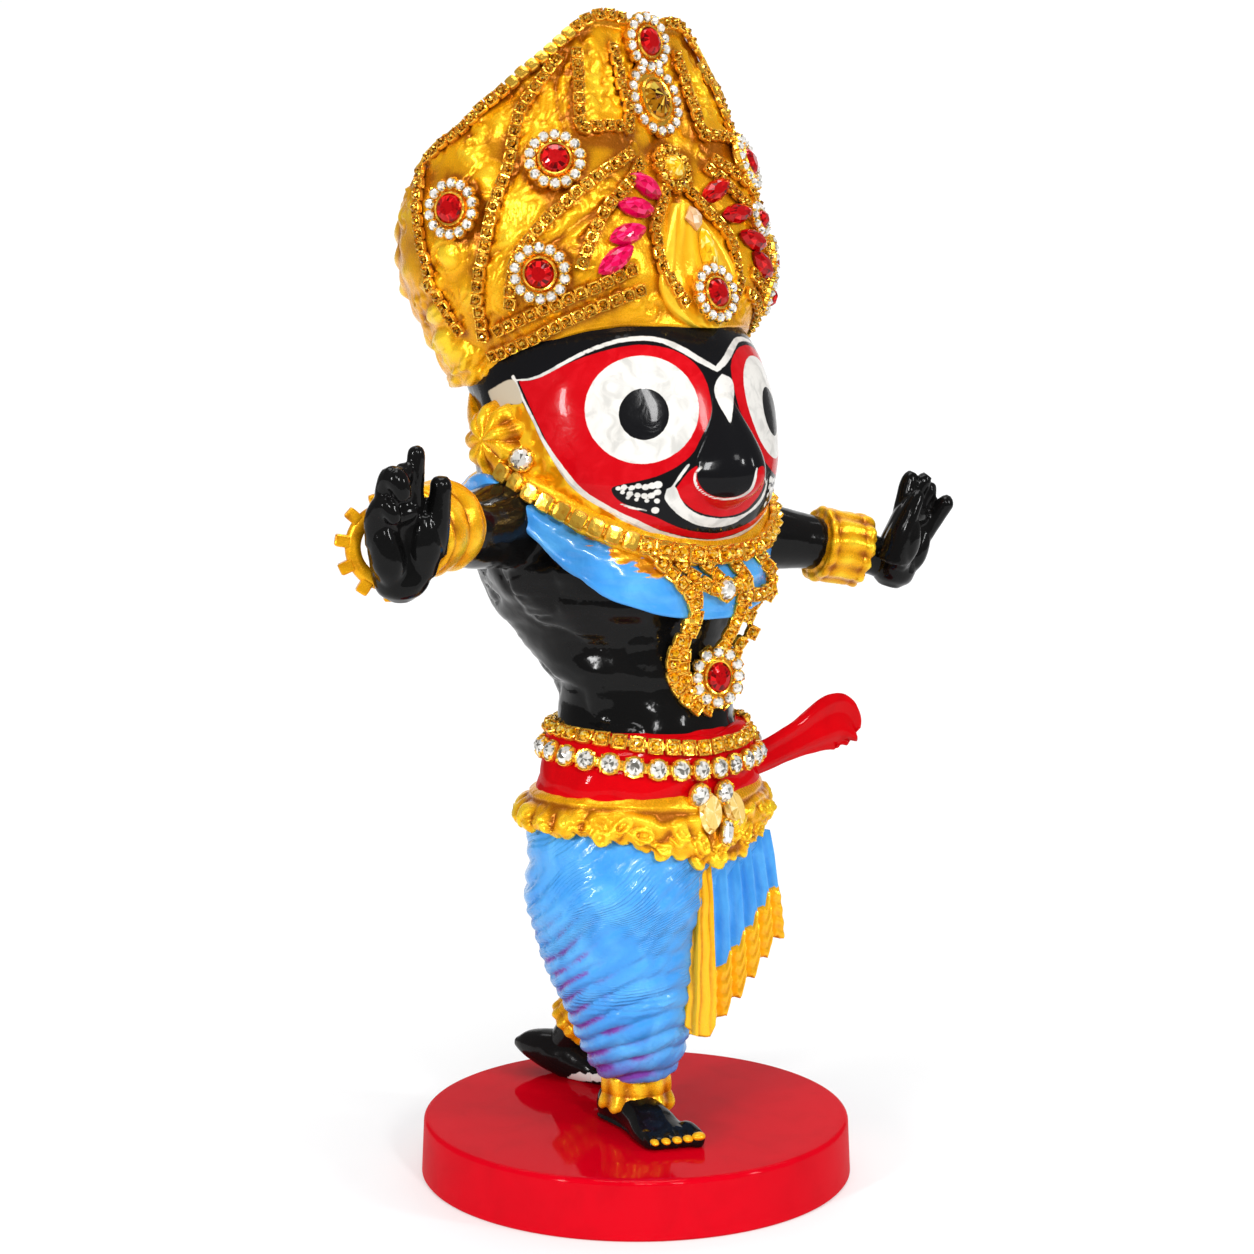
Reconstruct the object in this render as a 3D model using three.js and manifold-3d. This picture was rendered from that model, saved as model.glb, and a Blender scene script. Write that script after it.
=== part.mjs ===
// Painted dancing deity figure with a tall crown, glued crystal trims and a round plinth.
// Millimetres, +Z up. The origin is the centre of the plinth's underside and the figure faces -Y,
// so its right hand is on the -X side.
import * as THREE from "three";
import { mergeVertices } from "three/addons/utils/BufferGeometryUtils.js";
import Module from "manifold-3d";

const wasm = await Module();
wasm.setup();

// Plinth
const plinthTopDiameter = 90;
const plinthFootDiameter = 91;
const plinthThickness = 12.2;
const plinthEdgeRadius = 1.1;
const plinthSides = 36;

// Figure: every number of its pose and carving is a share of this height, counted in
// steps of one 227th, so that the whole cast figure follows it.
const figureHeight = 227;
const step = figureHeight / 227;
const seatGap = 0.3;

// Glued stones and cup chains, each a bought size of its own
const glueGap = 0.3;
const glueBed = 0.2;
const crownCup = 2.1;
const crownCupPitch = 2.6;
const crownCupHeight = 1.5;
const neckCup = 3.6;
const neckCupPitch = 4.3;
const neckCupHeight = 1.9;
const pendantCup = 2.3;
const pendantCupPitch = 2.9;
const beltCup = 3;
const beltCupPitch = 3.6;
const beltStone = 4.1;
const beltStonePitch = 4.7;
const beltStoneHeight = 2;
const flowerDiameter = 11.8;
const flowerStoneDiameter = 6.2;
const flowerHeight = 3.4;
const smallFlowerDiameter = 8;
const amberFlowerDiameter = 14.5;
const yellowFlowerDiameter = 10.4;
const marquiseLength = 7.6;
const marquiseWidth = 4;
const marquiseHeight = 2;
const leafDropLength = 9.6;
const leafDropWidth = 4.6;
const diamondStoneLength = 5.4;
const diamondStoneWidth = 4.6;
const earStoneDiameter = 5;
const collarStoneDiameter = 5.2;
const dropStoneDiameter = 4.4;
const beltLeafLength = 6.2;
const beltLeafWidth = 4;

const paint = {
  red: { color: 0xc8102a, roughness: 0.18, metalness: 0 },
  black: { color: 0x0b0b0c, roughness: 0.12, metalness: 0 },
  gold: { color: 0xd89a1c, roughness: 0.35, metalness: 0.7 },
  crystal: { color: 0xf2f0e8, roughness: 0.08, metalness: 0.1 },
  ruby: { color: 0xc4121f, roughness: 0.08, metalness: 0.1 },
  pink: { color: 0xd81a5a, roughness: 0.1, metalness: 0 },
  amber: { color: 0x9a5a12, roughness: 0.1, metalness: 0.1 },
  yellow: { color: 0xf2cf2a, roughness: 0.1, metalness: 0.1 },
};

// Smooth curves through values
function catmull(before, from, to, after, u) {
  const slope = (to - before) * 0.5;
  const nextSlope = (after - from) * 0.5;
  const a = 2 * from - 2 * to + slope + nextSlope;
  const b = 3 * to - 3 * from - 2 * slope - nextSlope;
  return ((a * u + b) * u + slope) * u + from;
}

function between(rows, key, place) {
  const last = rows.length - 1;
  const spot = Math.min(Math.max(place, 0), 1) * last;
  const index = Math.min(Math.floor(spot), last - 1);
  const value = (k) => rows[Math.min(Math.max(k, 0), last)][key] ?? 0;
  const from = value(index);
  const to = value(index + 1);
  const before = index > 0 ? value(index - 1) : 2 * from - to;
  const after = index + 2 <= last ? value(index + 2) : 2 * to - from;
  return catmull(before, from, to, after, spot - index);
}

// A skin is a function of the angle from the front, in degrees towards the figure's right,
// and of the place from its lower edge, 0, to its upper edge, 1.
function stackedSkin(rings, relief = () => 0) {
  return (angle, place) => {
    const turn = THREE.MathUtils.degToRad(angle);
    const extra = relief(angle, place);
    const a = between(rings, "wide", place) + extra;
    const b = between(rings, "deep", place) + extra;
    const tilt = THREE.MathUtils.degToRad(between(rings, "tilt", place));
    const back = -b * Math.cos(turn);
    return new THREE.Vector3(
      between(rings, "x", place) - a * Math.sin(turn),
      between(rings, "y", place) + back * Math.cos(tilt),
      between(rings, "z", place) + back * Math.sin(tilt),
    );
  };
}

const torso = stackedSkin([
  { z: 70, y: -3.8, wide: 24.6, deep: 19 },
  { z: 80, y: -3.6, wide: 21.6, deep: 17.3 },
  { z: 88, y: -3, wide: 19.2, deep: 16.5 },
  { z: 95, y: -0.5, wide: 19.4, deep: 19 },
  { z: 103, y: 3, wide: 23.6, deep: 22.4 },
  { z: 111, y: 5.4, wide: 29, deep: 26.4 },
  { z: 119, y: 6, wide: 32, deep: 27.6 },
  { z: 127, y: 6.5, wide: 31, deep: 26.5 },
  { z: 133, y: 7, wide: 24, deep: 22 },
]);

const collar = stackedSkin([
  { z: 122.6, y: 4.2, wide: 31, deep: 31, tilt: 27 },
  { z: 124.6, y: 4.2, wide: 33.6, deep: 32.8, tilt: 27 },
  { z: 128, y: 4.4, wide: 33.8, deep: 33, tilt: 26 },
  { z: 131.5, y: 4.6, wide: 33.2, deep: 33.2, tilt: 25 },
  { z: 134, y: 4.8, wide: 31, deep: 31, tilt: 24 },
]);

// The pendant's strands hang free from the collar to the waist.
const pendantHang = stackedSkin([
  { z: 88, y: -2, wide: 20.4, deep: 19.2 },
  { z: 94, y: 1, wide: 22.4, deep: 21.4 },
  { z: 104, y: 2.6, wide: 27, deep: 25.6 },
  { z: 114, y: 4.2, wide: 32.5, deep: 30 },
]);

const neckBand = stackedSkin([
  { z: 133.8, y: 4.4, wide: 32, deep: 31.6, tilt: 32 },
  { z: 135.6, y: 4.4, wide: 34, deep: 33.6, tilt: 32 },
  { z: 139.2, y: 4.6, wide: 33.6, deep: 33.2, tilt: 32 },
  { z: 140.8, y: 4.8, wide: 31.4, deep: 31, tilt: 32 },
]);

const head = stackedSkin([
  { z: 120, y: 4, wide: 24, deep: 25 },
  { z: 127, y: 4.2, wide: 29, deep: 30.4 },
  { z: 135, y: 4.8, wide: 32, deep: 33 },
  { z: 144, y: 5.2, wide: 32.6, deep: 33.2 },
  { z: 153, y: 6, wide: 32.2, deep: 31.8 },
  { z: 161, y: 7.6, wide: 30.5, deep: 29.4 },
  { z: 168, y: 9.5, wide: 27, deep: 26 },
]);

const sash = stackedSkin([
  { z: 69, y: -3.6, wide: 25.6, deep: 18.4 },
  { z: 71.5, y: -3.8, wide: 26.5, deep: 19.1 },
  { z: 78, y: -4, wide: 24.8, deep: 18.5 },
  { z: 82.6, y: -3.4, wide: 22.6, deep: 17.9 },
  { z: 84, y: -3.2, wide: 20.4, deep: 16.1 },
]);

// The gold hip cloth hangs in scallops and drops to a rounded flap in front.
const scallops = 16;
function hipHem(angle, place) {
  return (1 - place) * 0.7 * Math.cos(THREE.MathUtils.degToRad(angle * scallops));
}
const hipClothRings = [
  { z: 59, y: -2.6, wide: 27.6, deep: 20.7 },
  { z: 60.4, y: -2.6, wide: 30, deep: 22.4 },
  { z: 64, y: -2.6, wide: 29.8, deep: 22.2 },
  { z: 69, y: -3.2, wide: 27.4, deep: 20.7 },
  { z: 72, y: -3.6, wide: 25.4, deep: 18.6 },
];
const hipClothBody = stackedSkin(hipClothRings, hipHem);
function hipCloth(angle, place) {
  const point = hipClothBody(angle, place);
  const front = Math.exp(-((angle / 24) ** 2));
  point.z -= 5.4 * front * (1 - place);
  point.y -= 0.8 * front * (1 - place);
  return point;
}

const hips = stackedSkin([
  { z: 40, y: 0.5, wide: 15, deep: 12 },
  { z: 47, y: -2, wide: 21.5, deep: 17.5 },
  { z: 54, y: -2.8, wide: 27.2, deep: 19.6 },
  { z: 61, y: -3, wide: 28, deep: 21 },
  { z: 68, y: -3.4, wide: 26, deep: 19.4 },
]);

// The crown is given by upright ribs from the front, 0 degrees, to the back, 180 degrees,
// each a profile from the rim to the ridge of its height and its distance from the crown's axis.
const crownAxis = 15;
const ribStep = 45;
const crownRibs = [
  [{ z: 165, out: 34 }, { z: 178, out: 31 }, { z: 195, out: 24 }, { z: 211, out: 18.5 }, { z: 226, out: 16 }],
  [{ z: 164, out: 34 }, { z: 178, out: 37.5 }, { z: 197, out: 33 }, { z: 213, out: 26 }, { z: 226, out: 19 }],
  [{ z: 153, out: 28.5 }, { z: 168, out: 37.5 }, { z: 183, out: 40.5 }, { z: 195, out: 39.2 }, { z: 204, out: 35.6 }],
  [{ z: 153, out: 25 }, { z: 164, out: 33 }, { z: 175, out: 38 }, { z: 186, out: 37.8 }, { z: 194, out: 33.5 }],
  [{ z: 153, out: 24 }, { z: 162, out: 31 }, { z: 172, out: 36 }, { z: 182, out: 35.5 }, { z: 189, out: 32.5 }],
];
const crownLumps = 15;
const crownLumpHeight = 0.9;

function crown(angle, place) {
  const around = Math.abs(((angle + 540) % 360) - 180);
  const spot = around / ribStep;
  const index = Math.min(Math.floor(spot), crownRibs.length - 2);
  const rib = (k, key) => {
    const wrapped = Math.abs(k);
    const folded = wrapped > 4 ? 8 - wrapped : wrapped;
    return between(crownRibs[folded], key, place);
  };
  const at = (key) => catmull(
    rib(index - 1, key), rib(index, key), rib(index + 1, key), rib(index + 2, key), spot - index,
  );
  const behind = THREE.MathUtils.smoothstep(around, 100, 125);
  const lump = Math.abs(Math.sin(THREE.MathUtils.degToRad(angle * crownLumps / 2)));
  const out = at("out") + behind * crownLumpHeight * (lump - 0.5);
  const turn = THREE.MathUtils.degToRad(angle);
  return new THREE.Vector3(-out * Math.sin(turn), crownAxis - out * Math.cos(turn), at("z"));
}

// The leaf on the crown's front stands proud of it and comes to a point below.
const leafHalfWidth = 21;
const leafFoot = -0.02;
const leafTop = 0.42;
const leafStand = 2.6;
function leafPoint(across, along, stand) {
  const width = Math.sin(Math.PI * (0.06 + 0.9 * along ** 0.8)) ** 0.75;
  const place = leafFoot + (leafTop - leafFoot) * along;
  const skin = crown(across * leafHalfWidth * width, place);
  skin.y -= stand * (1 - 0.35 * across * across);
  return skin;
}

// Meshes from grids of points
function closedGrid(columns, rows, pointAt, turnedOver = false) {
  const points = [];
  for (let row = 0; row <= rows; row += 1) {
    for (let column = 0; column < columns; column += 1) {
      points.push(pointAt(column / columns, row / rows));
    }
  }
  const middle = (row) => {
    const sum = new THREE.Vector3();
    for (let column = 0; column < columns; column += 1) sum.add(points[row * columns + column]);
    return sum.divideScalar(columns);
  };
  const lower = points.push(middle(0)) - 1;
  const upper = points.push(middle(rows)) - 1;
  const faces = [];
  const face = (a, b, c) => faces.push(...(turnedOver ? [a, c, b] : [a, b, c]));
  for (let row = 0; row < rows; row += 1) {
    for (let column = 0; column < columns; column += 1) {
      const next = (column + 1) % columns;
      const here = row * columns + column;
      const beside = row * columns + next;
      const above = here + columns;
      const aboveBeside = beside + columns;
      face(here, aboveBeside, above);
      face(here, beside, aboveBeside);
    }
  }
  for (let column = 0; column < columns; column += 1) {
    const next = (column + 1) % columns;
    face(lower, next, column);
    face(upper, rows * columns + column, rows * columns + next);
  }
  return meshFrom(points, faces);
}

function meshFrom(points, faces) {
  const geometry = new THREE.BufferGeometry();
  const values = points.flatMap((point) => [point.x, point.y, point.z]);
  geometry.setAttribute("position", new THREE.Float32BufferAttribute(values, 3));
  geometry.setIndex(faces);
  return geometry;
}

// Angles run clockwise seen from above, so these grids are turned over to face outwards.
function skinMesh(skin, columns, rows) {
  const pointAt = (u, v) => skin(360 * u, v).multiplyScalar(step);
  return closedGrid(columns, rows, pointAt, true);
}

// A limb is a smooth tube through stations, each with its radius and, if it isn't round, the
// ratio of its thickness along the limb's flat direction to its width.
function limbMesh(stations, sides, rows, flatAlong = new THREE.Vector3(0, 1, 0)) {
  const spine = (v) => new THREE.Vector3(
    between(stations, "x", v), between(stations, "y", v), between(stations, "z", v),
  );
  const pointAt = (u, v) => {
    const ahead = spine(Math.min(v + 0.02, 1)).sub(spine(Math.max(v - 0.02, 0))).normalize();
    const side = new THREE.Vector3().crossVectors(flatAlong, ahead).normalize();
    const thick = new THREE.Vector3().crossVectors(ahead, side);
    const radius = between(stations, "radius", v);
    const flat = 1 + between(stations, "flat", v);
    const turn = 2 * Math.PI * u;
    const point = spine(v);
    point.addScaledVector(side, radius * Math.cos(turn));
    point.addScaledVector(thick, radius * flat * Math.sin(turn));
    return point.multiplyScalar(step);
  };
  return closedGrid(sides, rows, pointAt);
}

const mirrored = (stations) => stations.map((station) => ({ ...station, x: -station.x }));

// Legs: the right one is planted in front, the left one is stretched back on its toes.
const rightLeg = [
  { x: -9, y: -3, z: 62, radius: 17.5 },
  { x: -9.6, y: -4, z: 50, radius: 19 },
  { x: -9.6, y: -4.6, z: 40, radius: 16.8 },
  { x: -8, y: -5.8, z: 30, radius: 14.4 },
  { x: -6.6, y: -5.8, z: 21, radius: 12.2 },
  { x: -5.6, y: -5.4, z: 14, radius: 9.6 },
  { x: -5.2, y: -5, z: 9, radius: 6.4 },
];
const leftLeg = [
  { x: 8, y: -4, z: 60, radius: 17 },
  { x: 10.5, y: -1, z: 48, radius: 15.6 },
  { x: 11, y: 6, z: 37, radius: 12.6 },
  { x: 10.4, y: 12.5, z: 29, radius: 10.4 },
  { x: 10, y: 17, z: 23.5, radius: 8.6 },
];
const leftShin = [
  { x: 10, y: 13, z: 28, radius: 5 },
  { x: 9, y: 21, z: 18, radius: 4.8 },
  { x: 7.6, y: 30, z: 5.4, radius: 4.4 },
];
const leftAnklet = [
  { x: 9, y: 22.4, z: 16.2, radius: 5.2 },
  { x: 8.8, y: 23.2, z: 15.2, radius: 6.5 },
  { x: 8.3, y: 25.8, z: 12, radius: 6.9 },
  { x: 8.1, y: 26.6, z: 11, radius: 5.4 },
];
const rightAnklet = [
  { x: -5, y: -5, z: 11, radius: 5.4 },
  { x: -5, y: -5, z: 9.4, radius: 6.3 },
  { x: -5.2, y: -5.2, z: 6, radius: 6.9 },
  { x: -5.2, y: -5.2, z: 4.4, radius: 5.6 },
];

// A foot runs from its heel to its toes over a flat sole.
function footMesh(stations) {
  return limbMesh(stations, 8, 4, new THREE.Vector3(0, 0, 1));
}
const rightFoot = [
  { x: -5.4, y: 3.2, z: 2.6, radius: 2 },
  { x: -6, y: 0.6, z: 3, radius: 4.2 },
  { x: -7, y: -4.5, z: 3.4, radius: 4.6 },
  { x: -8.6, y: -11, z: 2.6, radius: 4.6, flat: -0.1 },
  { x: -10.8, y: -17.6, z: 1.4, radius: 5.6, flat: -0.45 },
  { x: -12.1, y: -22, z: 0.9, radius: 5.7, flat: -0.6 },
  { x: -12.7, y: -24.4, z: 0.7, radius: 4.4, flat: -0.62 },
];
const leftFoot = [
  { x: 3.4, y: 41, z: 5.4, radius: 1.8 },
  { x: 4, y: 38.6, z: 5.4, radius: 3.9 },
  { x: 6, y: 33, z: 5, radius: 4.8 },
  { x: 8, y: 26.5, z: 3.6, radius: 5 },
  { x: 10, y: 20.5, z: 1.8, radius: 5.4, flat: -0.4 },
  { x: 11.2, y: 16.4, z: 1, radius: 5, flat: -0.55 },
  { x: 11.8, y: 14.4, z: 0.8, radius: 3.8, flat: -0.55 },
];

// Arms reach out to both sides, with a gold cuff at each wrist.
const rightArm = [
  { x: -22, y: 6, z: 126, radius: 9 },
  { x: -33, y: 4.4, z: 126, radius: 8.8 },
  { x: -44, y: 1.2, z: 125.6, radius: 7.6 },
  { x: -56, y: -2.4, z: 125, radius: 6.4 },
  { x: -68, y: -7, z: 123, radius: 5 },
  { x: -71, y: -9, z: 119.5, radius: 4.2 },
];
const leftArm = [
  { x: 22, y: 6, z: 122, radius: 9 },
  { x: 33, y: 4.4, z: 121, radius: 8.4 },
  { x: 44, y: 1, z: 119.4, radius: 7 },
  { x: 55, y: -2.6, z: 117.6, radius: 6 },
  { x: 66, y: -8, z: 115, radius: 4.8 },
  { x: 69.6, y: -10.6, z: 112.4, radius: 4 },
];
const rightCuff = [
  { x: -54, y: -1.8, z: 125.1, radius: 6.6 },
  { x: -55, y: -2.1, z: 125, radius: 8.4 },
  { x: -59, y: -3.4, z: 124.7, radius: 8 },
  { x: -64.4, y: -5.4, z: 124.1, radius: 8.2 },
  { x: -66, y: -6, z: 123.9, radius: 6.4 },
];
const leftCuff = [
  { x: 54, y: -2.2, z: 117.8, radius: 6.4 },
  { x: 55, y: -2.6, z: 117.6, radius: 8.2 },
  { x: 59, y: -4.3, z: 116.8, radius: 7.8 },
  { x: 63.6, y: -6.6, z: 115.8, radius: 8 },
  { x: 65, y: -7.4, z: 115.4, radius: 6.2 },
];

// A hand stands up from the wrist with the palm to the front, leaning outwards. Its own axes
// are towards the thumb, out of the palm, and along the fingers.
function handMeshes(wrist, sideSign) {
  const along = new THREE.Vector3(sideSign * 0.3, -0.12, 0.95).normalize();
  const palm = new THREE.Vector3(sideSign * 0.35, -1, 0.1);
  const thumbwards = new THREE.Vector3().crossVectors(palm, along).normalize();
  if (thumbwards.x * sideSign > 0) thumbwards.negate();
  const outOfPalm = new THREE.Vector3().crossVectors(thumbwards, along).normalize();
  if (outOfPalm.y > 0) outOfPalm.negate();
  const place = ([toThumb, toPalm, up, radius, flat = 0]) => {
    const point = wrist.clone();
    point.addScaledVector(thumbwards, toThumb);
    point.addScaledVector(outOfPalm, toPalm);
    point.addScaledVector(along, up);
    return { x: point.x, y: point.y, z: point.z, radius, flat };
  };
  const digit = (rows, sides = 4) => limbMesh(rows.map(place), sides, 2, outOfPalm);
  const palmPad = [[0, 0, -5, 3.4, -0.1], [0, 0, -1, 5.6, -0.35], [0.2, 0, 6, 7, -0.5], [0, 0, 12, 6.4, -0.6]];
  return [
    digit(palmPad, 7),
    digit([[-5.2, 0.2, 9, 1.9], [-6, 0, 14, 1.8], [-6.4, -0.3, 18.5, 1.6], [-6.2, -0.2, 20.5, 1]]),
    digit([[-1.8, 0.2, 10, 2], [-2.2, 1.4, 15, 1.9], [-2.4, 3.6, 18.6, 1.8], [-2.4, 5.4, 19, 1.1]]),
    digit([[1.6, 0.2, 10, 2.1], [1.6, 0, 17, 1.9], [1.4, 0.4, 22.6, 1.7], [1.3, 0.6, 24.6, 1]]),
    digit([[4.9, 0.2, 9, 2], [5.6, 0.6, 14, 1.9], [5.8, 2.2, 17.8, 1.7], [5.6, 3.6, 19.4, 1]]),
    digit([[4.5, 0.4, 2, 2.6], [7.2, 1.2, 7, 2.2], [8.6, 1.6, 11.6, 1.9], [8.8, 1.8, 13.6, 1.1]]),
  ];
}
const rightWrist = new THREE.Vector3(-70.4, -11, 118.5);
const leftWrist = new THREE.Vector3(69.6, -12.4, 111.5);

// The nose and the ear ornaments are rounded lumps on the head.
const nose = [
  { x: 0, y: -20, z: 139, radius: 7 },
  { x: 0, y: -27, z: 137.6, radius: 7.4 },
  { x: 0, y: -30.6, z: 135.8, radius: 6 },
  { x: 0, y: -33.2, z: 134.6, radius: 2.6 },
];
const rightEar = [
  { x: -24, y: 9, z: 141, radius: 5 },
  { x: -31, y: 9.4, z: 141.4, radius: 7.4 },
  { x: -34.4, y: 8.8, z: 141, radius: 6 },
  { x: -35.8, y: 8.4, z: 140.6, radius: 2.4 },
];

// Front pleats: a gold-edged leading fold, then folds that step up towards the left hip.
const pleatCount = 6;
const pleatRight = -4.2;
const pleatLeft = 23;
const pleatTop = 60;
const pleatFoot = 21;
const pleatFootRise = 16;
const pleatDepth = 1.5;
const pleatSheet = 2;
const pleatFront = -21.8;
const pleatFlare = 1.2;
const pleatTurn = 3.4;
const pleatDraw = 0.1;
function pleatMesh() {
  const columns = pleatCount * 2;
  const rows = 2;
  const points = [];
  const surface = (u, v, inner) => {
    const sideways = pleatRight + (pleatLeft - pleatRight) * u;
    const foot = pleatFoot + pleatFootRise * Math.floor(u * pleatCount - 0.001) / (pleatCount - 1);
    const zig = Math.round(u * columns) % 2 === 0 ? pleatDepth : -pleatDepth;
    const height = foot + (pleatTop - foot) * v;
    const front = pleatFront - pleatFlare * (1 - v) * (1 + 2 * v) + pleatTurn * u * u;
    const spread = 1 - v / 2;
    return new THREE.Vector3(
      sideways * (1 - pleatDraw * v),
      front - zig * spread + inner * pleatSheet,
      height,
    ).multiplyScalar(step);
  };
  for (const inner of [0, 1]) {
    for (let row = 0; row <= rows; row += 1) {
      for (let column = 0; column <= columns; column += 1) {
        points.push(surface(column / columns, row / rows, inner));
      }
    }
  }
  const wide = columns + 1;
  const layer = wide * (rows + 1);
  const faces = [];
  const quad = (a, b, c, d) => faces.push(a, b, c, a, c, d);
  for (let row = 0; row < rows; row += 1) {
    for (let column = 0; column < columns; column += 1) {
      const here = row * wide + column;
      quad(here, here + 1, here + 1 + wide, here + wide);
      quad(layer + here, layer + here + wide, layer + here + 1 + wide, layer + here + 1);
    }
    const left = row * wide;
    const right = left + columns;
    quad(left, left + wide, layer + left + wide, layer + left);
    quad(right, layer + right, layer + right + wide, right + wide);
  }
  for (let column = 0; column < columns; column += 1) {
    const top = rows * wide + column;
    quad(column, layer + column, layer + column + 1, column + 1);
    quad(top, top + 1, layer + top + 1, layer + top);
  }
  return meshFrom(points, faces);
}

// The free end of the sash blows out to the figure's left.
const sashTail = [
  { x: 12, y: -14, z: 74, radius: 4, flat: -0.6 },
  { x: 20, y: -15.4, z: 74.6, radius: 3.4, flat: -0.6 },
  { x: 31, y: -16.4, z: 77.4, radius: 4, flat: -0.7 },
  { x: 42, y: -17, z: 80, radius: 5.6, flat: -0.8 },
  { x: 45.6, y: -17, z: 79.4, radius: 5.4, flat: -0.84 },
];

function leafMesh() {
  const columns = 6;
  const rows = 5;
  const pointAt = (u, v) => {
    const turn = 2 * Math.PI * u;
    const across = Math.cos(turn);
    const stand = Math.sin(turn) > 0 ? leafStand * Math.sin(turn) : -2;
    return leafPoint(across, v, stand).multiplyScalar(step);
  };
  return closedGrid(columns, rows, pointAt);
}

function figureMeshes() {
  return [
    skinMesh(torso, 16, 7),
    skinMesh(collar, 18, 3),
    skinMesh(neckBand, 18, 2),
    skinMesh(head, 18, 6),
    skinMesh(crown, 24, 6),
    leafMesh(),
    skinMesh(sash, 16, 2),
    skinMesh(hipCloth, 32, 2),
    skinMesh(hips, 16, 3),
    limbMesh(rightLeg, 12, 6),
    limbMesh(leftLeg, 9, 4),
    limbMesh(leftShin, 6, 2),
    limbMesh(leftAnklet, 8, 3),
    limbMesh(rightAnklet, 8, 3),
    footMesh(rightFoot),
    footMesh(leftFoot),
    limbMesh(rightArm, 8, 3),
    limbMesh(leftArm, 8, 3),
    limbMesh(rightCuff, 8, 3),
    limbMesh(leftCuff, 8, 3),
    ...handMeshes(rightWrist, -1),
    ...handMeshes(leftWrist, 1),
    limbMesh(nose, 8, 3),
    limbMesh(rightEar, 7, 3),
    limbMesh(mirrored(rightEar), 7, 3),
    pleatMesh(),
    limbMesh(sashTail, 6, 3, new THREE.Vector3(0, 1, 0)),
  ];
}

// Solids
function solidFrom(geometry, grow = 0) {
  const plain = geometry.clone();
  plain.deleteAttribute("normal");
  plain.deleteAttribute("uv");
  const merged = mergeVertices(plain, 1e-5);
  if (grow > 0) {
    merged.computeVertexNormals();
    const place = merged.attributes.position;
    const normal = merged.attributes.normal;
    for (let index = 0; index < place.count; index += 1) {
      place.setXYZ(
        index,
        place.getX(index) + grow * normal.getX(index),
        place.getY(index) + grow * normal.getY(index),
        place.getZ(index) + grow * normal.getZ(index),
      );
    }
  }
  const mesh = new wasm.Mesh({
    numProp: 3,
    vertProperties: new Float32Array(merged.attributes.position.array),
    triVerts: new Uint32Array(merged.index.array),
  });
  return new wasm.Manifold(mesh);
}

function joined(solids) {
  return solids.reduce((sum, solid) => sum.add(solid));
}

function geometryFrom(solid) {
  const mesh = solid.getMesh();
  const geometry = new THREE.BufferGeometry();
  geometry.setAttribute("position", new THREE.BufferAttribute(new Float32Array(mesh.vertProperties), 3));
  geometry.setIndex(new THREE.BufferAttribute(new Uint32Array(mesh.triVerts), 1));
  return geometry;
}

const group = new THREE.Group();

function addPiece(name, geometry, look, height) {
  const mesh = new THREE.Mesh(geometry, new THREE.MeshStandardMaterial(look));
  mesh.name = name;
  mesh.position.z = height;
  group.add(mesh);
}

// Plinth: a turned disc with a slight draft and a rounded upper edge
function plinthMesh() {
  const topRadius = plinthTopDiameter / 2;
  const footRadius = plinthFootDiameter / 2;
  const edge = Math.min(plinthEdgeRadius, plinthThickness / 2);
  const profile = [new THREE.Vector2(0, 0), new THREE.Vector2(footRadius, 0)];
  for (let index = 0; index <= 2; index += 1) {
    const turn = (Math.PI / 2) * (index / 2);
    const out = topRadius - edge + edge * Math.cos(turn);
    profile.push(new THREE.Vector2(out, plinthThickness - edge + edge * Math.sin(turn)));
  }
  profile.push(new THREE.Vector2(0, plinthThickness));
  const disc = new THREE.LatheGeometry(profile, plinthSides);
  disc.rotateX(Math.PI / 2);
  return geometryFrom(solidFrom(disc));
}
addPiece("plinth", plinthMesh(), paint.red, 0);

// The soles are cut flat where the figure meets the plinth.
function groundBlock() {
  const depth = 20 * step;
  const block = new THREE.BoxGeometry(300 * step, 300 * step, depth);
  block.translate(0, 0, -depth / 2);
  return solidFrom(block);
}
const castParts = figureMeshes();
const figureSolid = joined(castParts.map((part) => solidFrom(part))).subtract(groundBlock());
const figureGeometry = geometryFrom(figureSolid);
const figureFloor = plinthThickness + seatGap;
addPiece("figure", figureGeometry, paint.black, figureFloor);

// Seats: a stone or cup sits just above the figure's surface, facing out.
const figureMesh = new THREE.Mesh(figureGeometry, new THREE.MeshBasicMaterial());
const seeker = new THREE.Raycaster();
const seatReach = 7 * step;
function seatOn(skin, angle, place) {
  const point = skin(angle, place);
  const around = skin(angle + 1, place).sub(skin(angle - 1, place));
  const upward = skin(angle, Math.min(place + 0.01, 1)).sub(skin(angle, Math.max(place - 0.01, 0)));
  const normal = new THREE.Vector3().crossVectors(upward, around).normalize();
  point.multiplyScalar(step);
  seeker.set(point.clone().addScaledVector(normal, seatReach), normal.clone().negate());
  const hit = seeker.intersectObject(figureMesh)[0];
  const standing = hit ? Math.max(seatReach - hit.distance, 0) : 0;
  return { point: point.addScaledVector(normal, standing + glueGap + glueBed), normal };
}

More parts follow.
